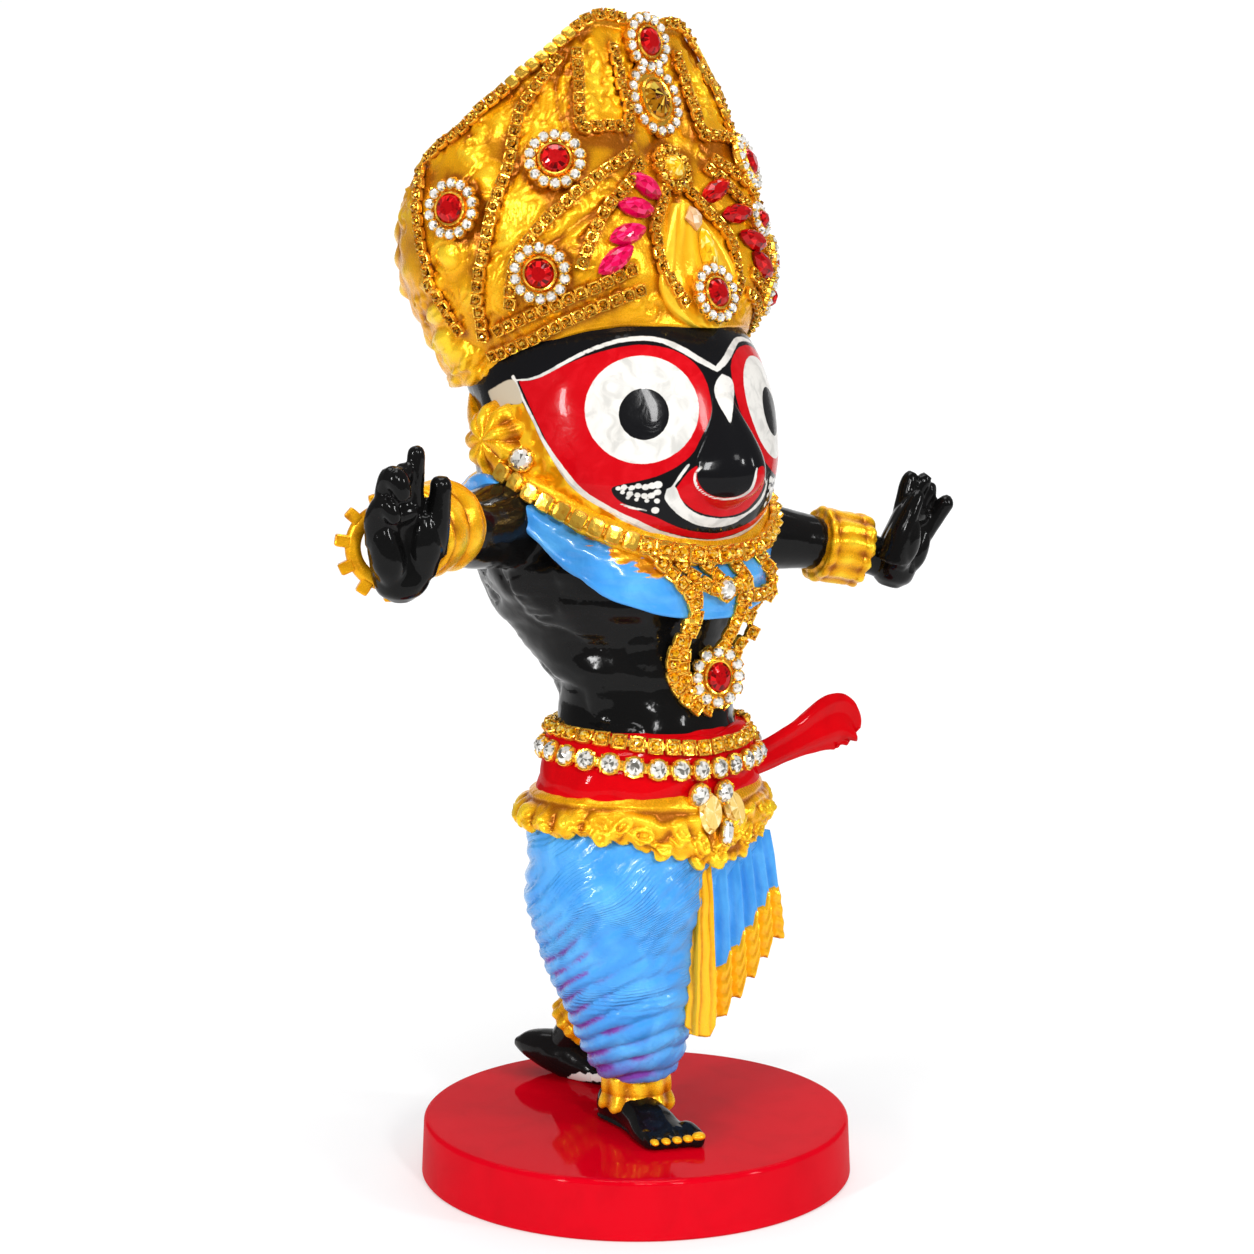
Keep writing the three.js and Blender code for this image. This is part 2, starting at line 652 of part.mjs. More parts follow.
// A route is a list of [angle, place] turning points on one skin. It is walked in equal steps.
function walkRoute(skin, route, spacing) {
  const fine = [];
  const parts = 24;
  for (let index = 0; index < route.length - 1; index += 1) {
    for (let part = 0; part < parts; part += 1) {
      const share = part / parts;
      const angle = THREE.MathUtils.lerp(route[index][0], route[index + 1][0], share);
      const place = THREE.MathUtils.lerp(route[index][1], route[index + 1][1], share);
      fine.push({ angle, place, point: skin(angle, place).multiplyScalar(step) });
    }
  }
  const [lastAngle, lastPlace] = route[route.length - 1];
  fine.push({ angle: lastAngle, place: lastPlace, point: skin(lastAngle, lastPlace).multiplyScalar(step) });
  const lengths = [0];
  for (let index = 1; index < fine.length; index += 1) {
    lengths.push(lengths[index - 1] + fine[index].point.distanceTo(fine[index - 1].point));
  }
  const total = lengths[lengths.length - 1];
  const count = Math.max(2, Math.round(total / spacing));
  const seats = [];
  for (let index = 0; index <= count; index += 1) {
    const wanted = (total * index) / count;
    let after = 1;
    while (after < lengths.length - 1 && lengths[after] < wanted) after += 1;
    const share = (wanted - lengths[after - 1]) / (lengths[after] - lengths[after - 1]);
    const angle = THREE.MathUtils.lerp(fine[after - 1].angle, fine[after].angle, share);
    const place = THREE.MathUtils.lerp(fine[after - 1].place, fine[after].place, share);
    seats.push(seatOn(skin, angle, place));
  }
  return seats;
}

// A cup chain is one closed strip that swells at each cup and narrows at each link.
const linkShare = 0.6;
function chainMesh(seats, width, height) {
  const count = seats.length;
  const rings = seats.map((seat, index) => {
    const before = seats[Math.max(index - 1, 0)].point;
    const after = seats[Math.min(index + 1, count - 1)].point;
    const along = after.clone().sub(before).normalize();
    const side = new THREE.Vector3().crossVectors(along, seat.normal).normalize();
    const up = new THREE.Vector3().crossVectors(side, along).normalize();
    const share = index % 2 === 0 ? 1 : linkShare;
    const corner = (across, rise) => seat.point.clone()
      .addScaledVector(side, across * width * share / 2)
      .addScaledVector(up, rise * height * share);
    return [corner(-1, 0), corner(1, 0), corner(1, 1), corner(-1, 1)];
  });
  const points = rings.flat();
  const faces = [];
  const quad = (a, b, c, d) => faces.push(a, b, c, a, c, d);
  for (let index = 0; index < count - 1; index += 1) {
    const here = index * 4;
    const ahead = here + 4;
    for (let corner = 0; corner < 4; corner += 1) {
      const next = (corner + 1) % 4;
      quad(here + corner, ahead + corner, ahead + next, here + next);
    }
  }
  const last = (count - 1) * 4;
  quad(0, 1, 2, 3);
  quad(last, last + 3, last + 2, last + 1);
  return meshFrom(points, faces);
}

// A stone has a flat back, an outline given by a function of the turn, and a smaller table.
function stoneMesh(seat, outline, height, sides, lengthwise, tableShare = 0.55) {
  const side = new THREE.Vector3().crossVectors(lengthwise, seat.normal).normalize();
  const along = new THREE.Vector3().crossVectors(seat.normal, side).normalize();
  const levels = [[1, 0], [1, 0.35], [tableShare, 1]];
  const pointAt = (u, v) => {
    const [share, rise] = levels[Math.round(v * 2)];
    const [length, width] = outline(2 * Math.PI * u);
    return seat.point.clone()
      .addScaledVector(along, length * share)
      .addScaledVector(side, width * share)
      .addScaledVector(seat.normal, rise * height);
  };
  return closedGrid(sides, 2, pointAt, true);
}
const roundOutline = (diameter) => (turn) => [
  (diameter / 2) * Math.cos(turn), (diameter / 2) * Math.sin(turn),
];
const pointedOutline = (length, width) => (turn) => [
  (length / 2) * Math.cos(turn), (width / 2) * Math.sin(turn) * Math.abs(Math.sin(turn)) ** 0.3,
];
const dropOutline = (length, width) => (turn) => [
  (length / 2) * Math.cos(turn), (width / 2) * Math.sin(turn) * (0.62 - 0.38 * Math.cos(turn)),
];
const upwards = new THREE.Vector3(0, 0, 1);

// Each glued piece keeps clear of the figure and of the pieces glued before it.
const looseRoom = joined(castParts.map((part) => solidFrom(part, glueGap)));
let takenRoom = looseRoom;
function glue(name, geometry, look) {
  const cut = solidFrom(geometry).subtract(takenRoom);
  const pieces = cut.decompose();
  const whole = pieces.reduce((best, piece) => (piece.volume() > best.volume() ? piece : best));
  takenRoom = takenRoom.add(solidFrom(geometry, glueGap));
  addPiece(name, geometryFrom(whole), look, figureFloor);
}

// Flowers of the crown: a red stone in a ring of small white ones
function glueFlower(name, seat, diameter, height, look) {
  const petals = roundOutline(diameter);
  glue(name, stoneMesh(seat, petals, height, 8, upwards, flowerStoneDiameter / flowerDiameter), look);
}
const sidePairs = [["right", 1], ["left", -1]];
glueFlower("crown_flower_top", seatOn(crown, 0, 0.93), flowerDiameter, flowerHeight, paint.ruby);
glueFlower("crown_flower_amber", seatOn(crown, 0, 0.735), amberFlowerDiameter, flowerHeight, paint.amber);
glueFlower("crown_flower_yellow", seatOn(crown, 0, 0.515), yellowFlowerDiameter, flowerHeight, paint.yellow);
glueFlower("crown_flower_leaf", seatOn(crown, 0, 0.115), flowerDiameter, flowerHeight, paint.ruby);
for (const [side, sign] of sidePairs) {
  const flower = (label, angle, place) => glueFlower(
    `crown_flower_${label}_${side}`, seatOn(crown, sign * angle, place), flowerDiameter, flowerHeight, paint.ruby,
  );
  flower("upper", sign > 0 ? 54 : 44, 0.52);
  flower("rear", 83, 0.545);
  flower("lower", 57, sign > 0 ? 0.24 : 0.29);
}
const smallFlower = (label, angle, place) => glueFlower(
  `crown_flower_small_${label}`, seatOn(crown, angle, place), smallFlowerDiameter, flowerHeight, paint.ruby,
);
smallFlower("upper", -38, 0.36);
smallFlower("lower", -46, 0.15);

// Pointed stones beside the leaf, pink on the figure's right and red on its left
const pointedStones = [[21, 0.44], [27, 0.375], [31, 0.305], [35, 0.235]];
for (const [side, sign] of sidePairs) {
  pointedStones.forEach(([angle, place], index) => {
    const seat = seatOn(crown, sign * angle, place);
    const outwards = new THREE.Vector3(-sign, 0, 0.55 - 0.4 * index);
    const outline = pointedOutline(marquiseLength, marquiseWidth);
    const look = sign > 0 ? paint.pink : paint.ruby;
    glue(`crown_pointed_stone_${side}_${index + 1}`, stoneMesh(seat, outline, marquiseHeight, 6, outwards), look);
  });
}
const leafDrop = dropOutline(leafDropLength, leafDropWidth);
glue("leaf_drop_stone", stoneMesh(seatOn(crown, -2, 0.265), leafDrop, marquiseHeight, 8, upwards), paint.yellow);
const leafDiamond = pointedOutline(diamondStoneLength, diamondStoneWidth);
glue("leaf_diamond_stone", stoneMesh(seatOn(crown, 0, 0.36), leafDiamond, marquiseHeight, 4, upwards), paint.crystal);

// Crown cup chains
function glueChain(name, skin, route, cup, look) {
  const seats = walkRoute(skin, route, cup.spacing);
  glue(name, chainMesh(seats, cup.width, cup.height), look);
}
const crownCups = { width: crownCup, height: crownCupHeight, spacing: crownCupPitch };
const bothSides = (route, sign) => route.map(([angle, place]) => [sign * angle, place]);
const ridgeHalf = [[99, 0.91], [80, 0.955], [65, 0.965], [48, 0.97], [22, 0.975]];
glueChain("ridge_chain_right", crown, ridgeHalf, crownCups, paint.gold);
glueChain("ridge_chain_left", crown, bothSides(ridgeHalf, -1), crownCups, paint.gold);
const crownRoutes = {
  rear_chain: [[100, 0.83], [97, 0.61], [96, 0.475], [93, 0.33], [88, 0.19]],
  side_chain: [[57, 0.9], [67, 0.8], [68, 0.58], [72, 0.45], [77, 0.25], [79, 0.14]],
  rim_chain_lower: [[78, 0.07], [60, 0.045], [47, 0.06], [36, 0.095], [27, 0.13]],
  rim_chain_upper: [[73, 0.13], [54, 0.125], [42, 0.15], [30, 0.2]],
  outer_arch_chain: [[67, 0.19], [64, 0.31], [55, 0.375], [40, 0.45], [27, 0.52]],
  inner_arch_chain: [[45, 0.235], [42, 0.31], [38, 0.37], [31, 0.42], [22, 0.5]],
  panel_chain: [[28, 0.86], [24, 0.6], [46, 0.585], [48, 0.86]],
};
for (const [label, route] of Object.entries(crownRoutes)) {
  for (const [side, sign] of sidePairs) {
    glueChain(`${label}_${side}`, crown, bothSides(route, sign), crownCups, paint.gold);
  }
}
const leafEdge = [[9, 0.44], [20, 0.33], [19, 0.2], [12, 0.09]];
glueChain("leaf_chain_right", crown, leafEdge, crownCups, paint.gold);
glueChain("leaf_chain_left", crown, bothSides(leafEdge, -1), crownCups, paint.gold);

// Collar and pendant
const neckCups = { width: neckCup, height: neckCupHeight, spacing: neckCupPitch / 2 };
glueChain("neck_chain", neckBand, [[86, 0.5], [45, 0.5], [0, 0.5], [-45, 0.5], [-86, 0.5]], neckCups, paint.gold);
const earStone = (side, angle) => glue(
  `ear_stone_${side}`,
  stoneMesh(seatOn(head, angle, 0.41), roundOutline(earStoneDiameter), marquiseHeight, 8, upwards),
  paint.crystal,
);
earStone("right", 84);
earStone("left", -84);
glueFlower("pendant_flower", seatOn(torso, 0, 0.37), flowerDiameter, flowerHeight, paint.ruby);
const collarStone = roundOutline(collarStoneDiameter);
glue("collar_stone", stoneMesh(seatOn(collar, 0, 0.45), collarStone, marquiseHeight, 8, upwards), paint.crystal);
const pendantCups = { width: pendantCup, height: crownCupHeight, spacing: pendantCupPitch };
const rightStrand = [[12, 0.95], [15, 0.8], [19, 0.55], [23, 0.35], [22, 0.15], [15, 0]];
const leftStrand = [[-40, 0.95], [-37, 0.8], [-32, 0.55], [-29, 0.35], [-25, 0.12]];
glueChain("pendant_strand_right", pendantHang, rightStrand, pendantCups, paint.gold);
glueChain("pendant_strand_left", pendantHang, leftStrand, pendantCups, paint.gold);

// Belt: a gold cup chain over a row of white stones, from one side of the sash end to the other
const beltCups = { width: beltCup, height: crownCupHeight, spacing: beltCupPitch };
const beltStones = { width: beltStone, height: beltStoneHeight, spacing: beltStonePitch / 2 };
const beltStart = -45;
const beltEnd = 293;
const beltRoute = (place) => [[beltStart, place], [60, place], [180, place], [beltEnd, place]];
glueChain("belt_chain", sash, beltRoute(0.69), beltCups, paint.gold);
glueChain("belt_stone_row", sash, beltRoute(0.48), beltStones, paint.crystal);
const dropStone = roundOutline(dropStoneDiameter);
const beltLeaf = dropOutline(beltLeafLength, beltLeafWidth);
for (const [side, sign] of sidePairs) {
  const drop = seatOn(sash, 6 + sign * 6, 0.2);
  glue(`belt_drop_${side}`, stoneMesh(drop, dropStone, beltStoneHeight, 8, upwards), paint.crystal);
  const leaf = seatOn(hipCloth, 4 + sign * 8, 0.8);
  const leaning = new THREE.Vector3(sign * 0.3, 0, 1);
  glue(`belt_leaf_${side}`, stoneMesh(leaf, beltLeaf, marquiseHeight, 6, leaning), paint.yellow);
}
glue("belt_diamond", stoneMesh(seatOn(hipCloth, 3, 0.62), leafDiamond, marquiseHeight, 4, upwards), paint.crystal);

export default group;
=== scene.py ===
"""A painted cast deity figure with a tall crown and glued crystal trims, on a round red plinth."""

import logging
import math
from dataclasses import dataclass, field
from enum import Enum
from typing import Callable, Sequence

import bpy
import numpy as np
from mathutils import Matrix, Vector
from mathutils.bvhtree import BVHTree
from mathutils.kdtree import KDTree


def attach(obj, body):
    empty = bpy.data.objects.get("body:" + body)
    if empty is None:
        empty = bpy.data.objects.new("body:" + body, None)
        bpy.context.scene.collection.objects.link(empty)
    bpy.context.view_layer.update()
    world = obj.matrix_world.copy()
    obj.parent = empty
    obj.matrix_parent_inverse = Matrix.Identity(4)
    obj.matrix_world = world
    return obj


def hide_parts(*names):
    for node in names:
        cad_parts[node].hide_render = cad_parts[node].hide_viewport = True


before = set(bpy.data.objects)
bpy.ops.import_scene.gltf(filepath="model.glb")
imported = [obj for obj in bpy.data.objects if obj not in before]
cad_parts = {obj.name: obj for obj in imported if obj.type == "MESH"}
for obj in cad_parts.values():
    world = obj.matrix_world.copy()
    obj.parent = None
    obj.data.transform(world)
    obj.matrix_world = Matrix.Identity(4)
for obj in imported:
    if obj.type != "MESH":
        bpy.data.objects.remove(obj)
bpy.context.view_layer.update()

log = logging.getLogger("figure")
Array = np.ndarray
Colour = tuple[float, float, float]

# Sizes below are millimetres in the figure's own frame, whose floor is the plinth's top
MM = 0.001
PLINTH_THICKNESS = 12.2
FIGURE_FLOOR = 12.5
CLEAR = 0.12


# Numbers and noise

LATTICE_PRIMES = np.array([73856093, 19349663, 83492791])
SEED_PRIME = 7919
MIXING_PRIME = 1274126177


def eased(low: float, high: float, value: Array) -> Array:
    """A smooth step from 0 at low to 1 at high.

    Args:
        low: the value where the step starts.
        high: the value where it ends.
        value: the values to step.

    Returns:
        The steps, from 0 to 1.
    """
    share = np.clip((value - low) / (high - low), 0.0, 1.0)
    return share * share * (3.0 - 2.0 * share)


def bell(value: Array, middle: float | Array, width: float, power: int = 2) -> Array:
    """A bump that is 1 at its middle and falls away to both sides.

    Args:
        value: the values to read it at.
        middle: the value at its middle.
        width: how far from there it has fallen to about a third.
        power: how steep its sides are, an even number.

    Returns:
        The bump's heights, from 0 to 1.
    """
    return np.exp(-(((value - middle) / width) ** power))


def spline(before: Array, start: Array, end: Array, after: Array, share: Array) -> Array:
    """A smooth curve from start to end that leads on to the values beside them.

    Args:
        before: the values before the start.
        start: the values where the curve starts.
        end: the values where it ends.
        after: the values after the end.
        share: how far along the curve to read, from 0 to 1.

    Returns:
        The curve's values there.
    """
    slope = (end - before) * 0.5
    next_slope = (after - start) * 0.5
    cubic = 2 * start - 2 * end + slope + next_slope
    square = 3 * end - 3 * start - 2 * slope - next_slope
    return ((cubic * share + square) * share + slope) * share + start


def through(values: Sequence[float] | Array, place: Array) -> Array:
    """A smooth curve through evenly spaced values.

    Args:
        values: the values that it passes, one a row.
        place: places along the curve, from 0 to 1.

    Returns:
        The curve's values at those places.
    """
    rows = np.asarray(values, float)
    last = len(rows) - 1
    spot = np.clip(place, 0.0, 1.0) * last
    index = np.minimum(spot.astype(int), last - 1)
    share = spot - index
    padded = np.concatenate([[2 * rows[0] - rows[1]], rows, [2 * rows[-1] - rows[-2]]])
    if rows.ndim > 1:
        share = share[..., None]
    return spline(padded[index], padded[index + 1], padded[index + 2], padded[index + 3], share)


def full_turn(count: int) -> Array:
    """Equal steps once round, in radians."""
    return np.linspace(0, 2 * math.pi, count, endpoint=False)


def lumps(points: Array, size: float, seed: int = 0, squash: Sequence[float] = (1, 1, 1)) -> Array:
    """Smooth lumpy noise in space.

    Args:
        points: where to read it.
        size: the width of a lump.
        seed: which noise.
        squash: how much narrower the lumps are along x, y and z.

    Returns:
        One value from -1 to 1 a point.
    """
    scaled = points * np.array(squash) / size + 11.7 * seed
    cell = np.floor(scaled).astype(np.int64)
    part = scaled - cell
    part = part * part * (3 - 2 * part)
    total = np.zeros(len(points))
    for corner in range(8):
        step = np.array([corner & 1, corner >> 1 & 1, corner >> 2 & 1])
        key = (cell + step) @ LATTICE_PRIMES + seed * SEED_PRIME
        key = (key ^ (key >> 13)) * MIXING_PRIME
        key = key ^ (key >> 16)
        value = (key & 0xFFFF) / 32767.5 - 1.0
        total += value * np.prod(np.where(step == 1, part, 1 - part), axis=1)
    return total


def unit(vectors: Array) -> Array:
    """The same directions with a length of one."""
    return vectors / np.maximum(np.linalg.norm(vectors, axis=-1, keepdims=True), 1e-9)


# Meshes


@dataclass
class Shape:
    """A closed mesh in numbers, with what its paint needs to know.

    Args:
        points: one row of x, y, z a point.
        faces: the point numbers of each face.
        marks: named values, one a point, that finishes read.
        dress: the place in the material list of each face, or nothing for the first.
        glints: a value from 0 to 1 a face, for the facets of stones.
    """

    points: Array
    faces: list[tuple[int, ...]]
    marks: dict[str, Array] = field(default_factory=dict)
    dress: list[int] = field(default_factory=list)
    glints: list[float] = field(default_factory=list)

    def volume(self) -> float:
        """Six times the signed volume inside the faces."""
        total = 0.0
        for count in {len(face) for face in self.faces}:
            corners = self.points[np.array([f for f in self.faces if len(f) == count])]
            for k in range(1, count - 1):
                across = np.cross(corners[:, k], corners[:, k + 1])
                total += float(np.einsum("ij,ij->", corners[:, 0], across))
        return total

    def outwards(self) -> "Shape":
        """The same shape with its faces pointing out."""
        if self.volume() < 0:
            self.faces = [face[::-1] for face in self.faces]
        return self

    def normals(self) -> Array:
        """A direction out of the surface at each point."""
        total = np.zeros_like(self.points)
        for count in {len(face) for face in self.faces}:
            index = np.array([f for f in self.faces if len(f) == count])
            corners = self.points[index]
            across = np.cross(corners[:, 1] - corners[:, 0], corners[:, count - 1] - corners[:, 0])
            for k in range(count):
                np.add.at(total, index[:, k], across)
        return unit(total)

    def raised(self, height: Array) -> "Shape":
        """The same shape with each point moved out along its normal.

        Args:
            height: how far each point moves.

        Returns:
            This shape.
        """
        self.points = self.points + self.normals() * height[:, None]
        return self

    def tree(self) -> BVHTree:
        """A search tree of the faces, for seating pieces on them."""
        return BVHTree.FromPolygons(self.points.tolist(), self.faces)

    def mesh(self, name: str, scale: float = 1.0, rise: float = 0.0) -> bpy.types.Mesh:
        """Makes the Blender mesh.

        Args:
            name: the mesh's name.
            scale: what every length is multiplied by.
            rise: how far the shape is lifted first.

        Returns:
            The new mesh.
        """
        moved = (self.points + np.array([0.0, 0.0, rise])) * scale
        made = bpy.data.meshes.new(name)
        made.from_pydata(moved.tolist(), [], self.faces)
        for label, values in self.marks.items():
            layer = made.attributes.new(label, "FLOAT", "POINT")
            layer.data.foreach_set("value", np.asarray(values, np.float32))
        if self.dress:
            made.polygons.foreach_set("material_index", np.array(self.dress, np.int32))
        if self.glints:
            layer = made.attributes.new("glint", "FLOAT", "FACE")
            layer.data.foreach_set("value", np.array(self.glints, np.float32))
        made.update()
        return made


def linked(name: str, data: bpy.types.ID) -> bpy.types.Object:
    """A new object in the scene that holds this data."""
    made = bpy.data.objects.new(name, data)
    bpy.context.scene.collection.objects.link(made)
    return made


def gathered(shapes: Sequence[Shape]) -> Shape:
    """One shape that holds several, as they lie.

    Args:
        shapes: the shapes to hold.

    Returns:
        The new shape.
    """
    points = np.concatenate([shape.points for shape in shapes])
    faces: list[tuple[int, ...]] = []
    dress: list[int] = []
    glints: list[float] = []
    start = 0
    for shape in shapes:
        faces += [tuple(index + start for index in face) for face in shape.faces]
        dress += shape.dress or [0] * len(shape.faces)
        glints += shape.glints or [0.5] * len(shape.faces)
        start += len(shape.points)
    labels = sorted({label for shape in shapes for label in shape.marks})
    marks = {
        label: np.concatenate([s.marks.get(label, np.zeros(len(s.points))) for s in shapes])
        for label in labels
    }
    return Shape(points, faces, marks, dress, glints)


def closed_grid(rows: Array) -> Shape:
    """A closed tube through rings of points, with a fan over each end.

    Args:
        rows: rings of points, as rings by points by three.

    Returns:
        The tube with its faces pointing out.
    """
    count, around = rows.shape[:2]
    points = np.concatenate([rows.reshape(-1, 3), rows[0].mean(0)[None], rows[-1].mean(0)[None]])
    ring = np.arange(around)
    after = (ring + 1) % around
    faces: list[tuple[int, ...]] = []
    for row in range(count - 1):
        low = row * around
        high = low + around
        quads = np.stack([low + ring, low + after, high + after, high + ring], axis=1)
        faces += list(map(tuple, quads.tolist()))
    lower = count * around
    top = (count - 1) * around
    faces += [(lower, int(b), int(a)) for a, b in zip(ring, after)]
    faces += [(lower + 1, int(top + a), int(top + b)) for a, b in zip(ring, after)]
    return Shape(points, faces).outwards()


def fused(parts: Sequence[Shape], voxel: float, smoothing: int) -> Shape:
    """One even skin over several overlapping closed shapes.

    Args:
        parts: the shapes.
        voxel: the width of the new faces.
        smoothing: how often the skin is smoothed.

    Returns:
        The new shape.
    """
    mesh = gathered(parts).mesh("fusing")
    holder = linked("fusing", mesh)
    remesh = holder.modifiers.new("remesh", "REMESH")
    remesh.mode = "VOXEL"
    remesh.voxel_size = voxel
    smooth = holder.modifiers.new("smooth", "SMOOTH")
    smooth.factor = 0.5
    smooth.iterations = smoothing
    seen = holder.evaluated_get(bpy.context.evaluated_depsgraph_get())
    found = seen.to_mesh()
    points = np.zeros(len(found.vertices) * 3)
    found.vertices.foreach_get("co", points)
    faces = [tuple(polygon.vertices) for polygon in found.polygons]
    seen.to_mesh_clear()
    bpy.data.objects.remove(holder)
    bpy.data.meshes.remove(mesh)
    return Shape(points.reshape(-1, 3), faces).outwards()


class Shading(Enum):
    """How a piece's faces meet."""

    SMOOTH = "smooth"
    FACETED = "faceted"
    CREASED = "creased"


# The angle from which a creased piece's edges are sharp
CREASE = math.radians(32)


def put(
    shape: Shape,
    name: str,
    finishes: "Sequence[Finish]",
    slot: str = "figure_paint",
    nodes: Sequence[str] = ("figure",),
    shading: Shading = Shading.SMOOTH,
    rise: float = FIGURE_FLOOR,
) -> None:
    """Puts a shape in the scene as a piece that rides on the object.

    Args:
        shape: the shape, in millimetres.
        name: the piece's name.
        finishes: its finishes, in the order that the shape's faces name them.
        slot: not used.
        nodes: the CAD nodes that it stands for.
        shading: how its faces meet.
        rise: how high its floor is.
    """
    mesh = shape.mesh(name, MM, rise)
    for finish in finishes:
        mesh.materials.append(finish.material())
    if shading is not Shading.FACETED:
        mesh.shade_smooth()
    if shading is Shading.CREASED:
        mesh.set_sharp_from_angle(angle=CREASE)
    piece = linked(name, mesh)
    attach(piece, "root")
    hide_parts(*nodes)
    log.info("%s: %d faces", name, len(shape.faces))


# Skins and limbs, which follow the same rings as the solids


def matched(angle: Array, place: Array) -> tuple[Array, Array]:
    """Angles and places as numbers in arrays of one size."""
    return np.broadcast_arrays(np.asarray(angle, float), np.asarray(place, float))


class Skin:
    """A surface that is read by angle from the front and by place from its lower edge."""

    def at(self, angle: Array, place: Array) -> Array:
        """The points at those angles, in degrees to the figure's right, and places, 0 to 1."""
        raise NotImplementedError

    def normal(self, angle: Array, place: Array) -> Array:
        """The directions out of the surface there."""
        around = self.at(angle + 0.5, place) - self.at(angle - 0.5, place)
        upward = self.at(angle, np.minimum(place + 0.005, 1)) - self.at(angle, np.maximum(place - 0.005, 0))
        return unit(np.cross(upward, around))

    def spot(self, angle: float, place: float) -> Array:
        """The one point at that angle and place."""
        return self.at(np.array([angle]), np.array([place]))[0]

    def grid(self, angles: Array, places: Array) -> tuple[Array, Array, Array]:
        """The points of a grid, with each point's angle and place.

        Args:
            angles: the grid's angles.
            places: the grid's places.

        Returns:
            The points as rings by points by three, the angles and the places.
        """
        place, angle = np.meshgrid(places, angles, indexing="ij")
        return self.at(angle, place), angle, place


@dataclass(frozen=True)
class Ring:
    """One ring of a stacked skin, an ellipse that may tip forwards.

    Args:
        z: its height.
        y: how far back its middle is.
        wide: half its width.
        deep: half its depth.
        tilt: how far it tips forwards, in degrees.
    """

    z: float
    y: float
    wide: float
    deep: float
    tilt: float = 0.0


class RingSkin(Skin):
    """A smooth skin through stacked rings."""

    def __init__(self, *rings: Ring) -> None:
        """Keeps the rings' sizes.

        Args:
            rings: the rings, from the lowest.
        """
        self.z = [ring.z for ring in rings]
        self.y = [ring.y for ring in rings]
        self.wide = [ring.wide for ring in rings]
        self.deep = [ring.deep for ring in rings]
        self.tilt = [ring.tilt for ring in rings]

    def at(self, angle: Array, place: Array) -> Array:
        """The points at those angles and places."""
        angle, place = matched(angle, place)
        turn = np.radians(angle)
        tilt = np.radians(through(self.tilt, place))
        back = -through(self.deep, place) * np.cos(turn)
        return np.stack([
            -through(self.wide, place) * np.sin(turn),
            through(self.y, place) + back * np.cos(tilt),
            through(self.z, place) + back * np.sin(tilt),
        ], axis=-1)


class CrownSkin(Skin):
    """The crown's surface, given by upright ribs every 45 degrees from its front to its back."""

    AXIS = 15.0
    STEP = 45.0

    # One row a rib, from the front one to the back one, each from the rim up
    HEIGHTS = (
        (165, 178, 195, 211, 226), (164, 178, 197, 213, 226), (153, 168, 183, 195, 204),
        (153, 164, 175, 186, 194), (153, 162, 172, 182, 189),
    )
    REACHES = (
        (34, 31, 24, 18.5, 16), (34, 37.5, 33, 26, 19), (28.5, 37.5, 40.5, 39.2, 35.6),
        (25, 33, 38, 37.8, 33.5), (24, 31, 36, 35.5, 32.5),
    )

    def at(self, angle: Array, place: Array) -> Array:
        """The points at those angles and places."""
        angle, place = matched(angle, place)
        spot = np.abs((angle + 540) % 360 - 180) / self.STEP
        index = np.minimum(np.floor(spot).astype(int), len(self.HEIGHTS) - 2)
        last = len(self.HEIGHTS) - 1
        wanted = [np.abs(index + step) for step in (-1, 0, 1, 2)]
        chosen = [np.where(rib > last, 2 * last - rib, rib)[None] for rib in wanted]
        curves = []
        for rows in (self.HEIGHTS, self.REACHES):
            ribs = np.stack([through(row, place) for row in rows])
            curves.append(spline(*[np.take_along_axis(ribs, rib, 0)[0] for rib in chosen], spot - index))
        z, out = curves
        turn = np.radians(angle)
        return np.stack([-out * np.sin(turn), self.AXIS - out * np.cos(turn), z], axis=-1)


@dataclass(frozen=True)
class Station:
    """A place along a limb, with its radius and, if it isn't round, how flat it is.

    Args:
        x: how far to the figure's left it is.
        y: how far back it is.
        z: its height.
        radius: half the limb's width there.
        flat: how much thicker than wide the limb is, below zero where it is flat.
    """

    x: float
    y: float
    z: float
    radius: float
    flat: float = 0.0


def stations(*rows: Sequence[float]) -> tuple[Station, ...]:
    """The stations of a limb, one a row of x, y, z, radius and, if it isn't round, flatness."""
    return tuple(Station(*row) for row in rows)


def limb(
    path: Sequence[Station], flat_along: Sequence[float] = (0, 1, 0), sides: int = 24, rows: int = 24,
) -> Shape:
    """A smooth tube through stations.

    Args:
        path: the places that it passes.
        flat_along: the direction in which flat stations are thin.
        sides: points round it.
        rows: rings along it.

    Returns:
        The closed tube.
    """
    v = np.linspace(0, 1, rows + 1)
    line = np.array([[s.x, s.y, s.z] for s in path], float)
    spine = through(line, v)
    ahead = unit(through(line, np.minimum(v + 0.02, 1)) - through(line, np.maximum(v - 0.02, 0)))
    side = unit(np.cross(np.asarray(flat_along, float), ahead))
    thick = np.cross(ahead, side)
    radius = through([s.radius for s in path], v)[:, None, None]
    flat = 1 + through([s.flat for s in path], v)[:, None, None]
    turn = full_turn(sides)[None, :, None]
    across = side[:, None] * radius * np.cos(turn)
    through_it = thick[:, None] * radius * flat * np.sin(turn)
    return closed_grid(spine[:, None] + across + through_it)


def limb_grid(sides: int, rows: int) -> tuple[Array, Array]:
    """Where the points of a limb are.

    Args:
        sides: points round it.
        rows: rings along it.

    Returns:
        Each point's place along the limb, from 0 to 1, and its turn round it, in radians.
    """
    return tuple(np.meshgrid(np.linspace(0, 1, rows + 1), full_turn(sides), indexing="ij"))


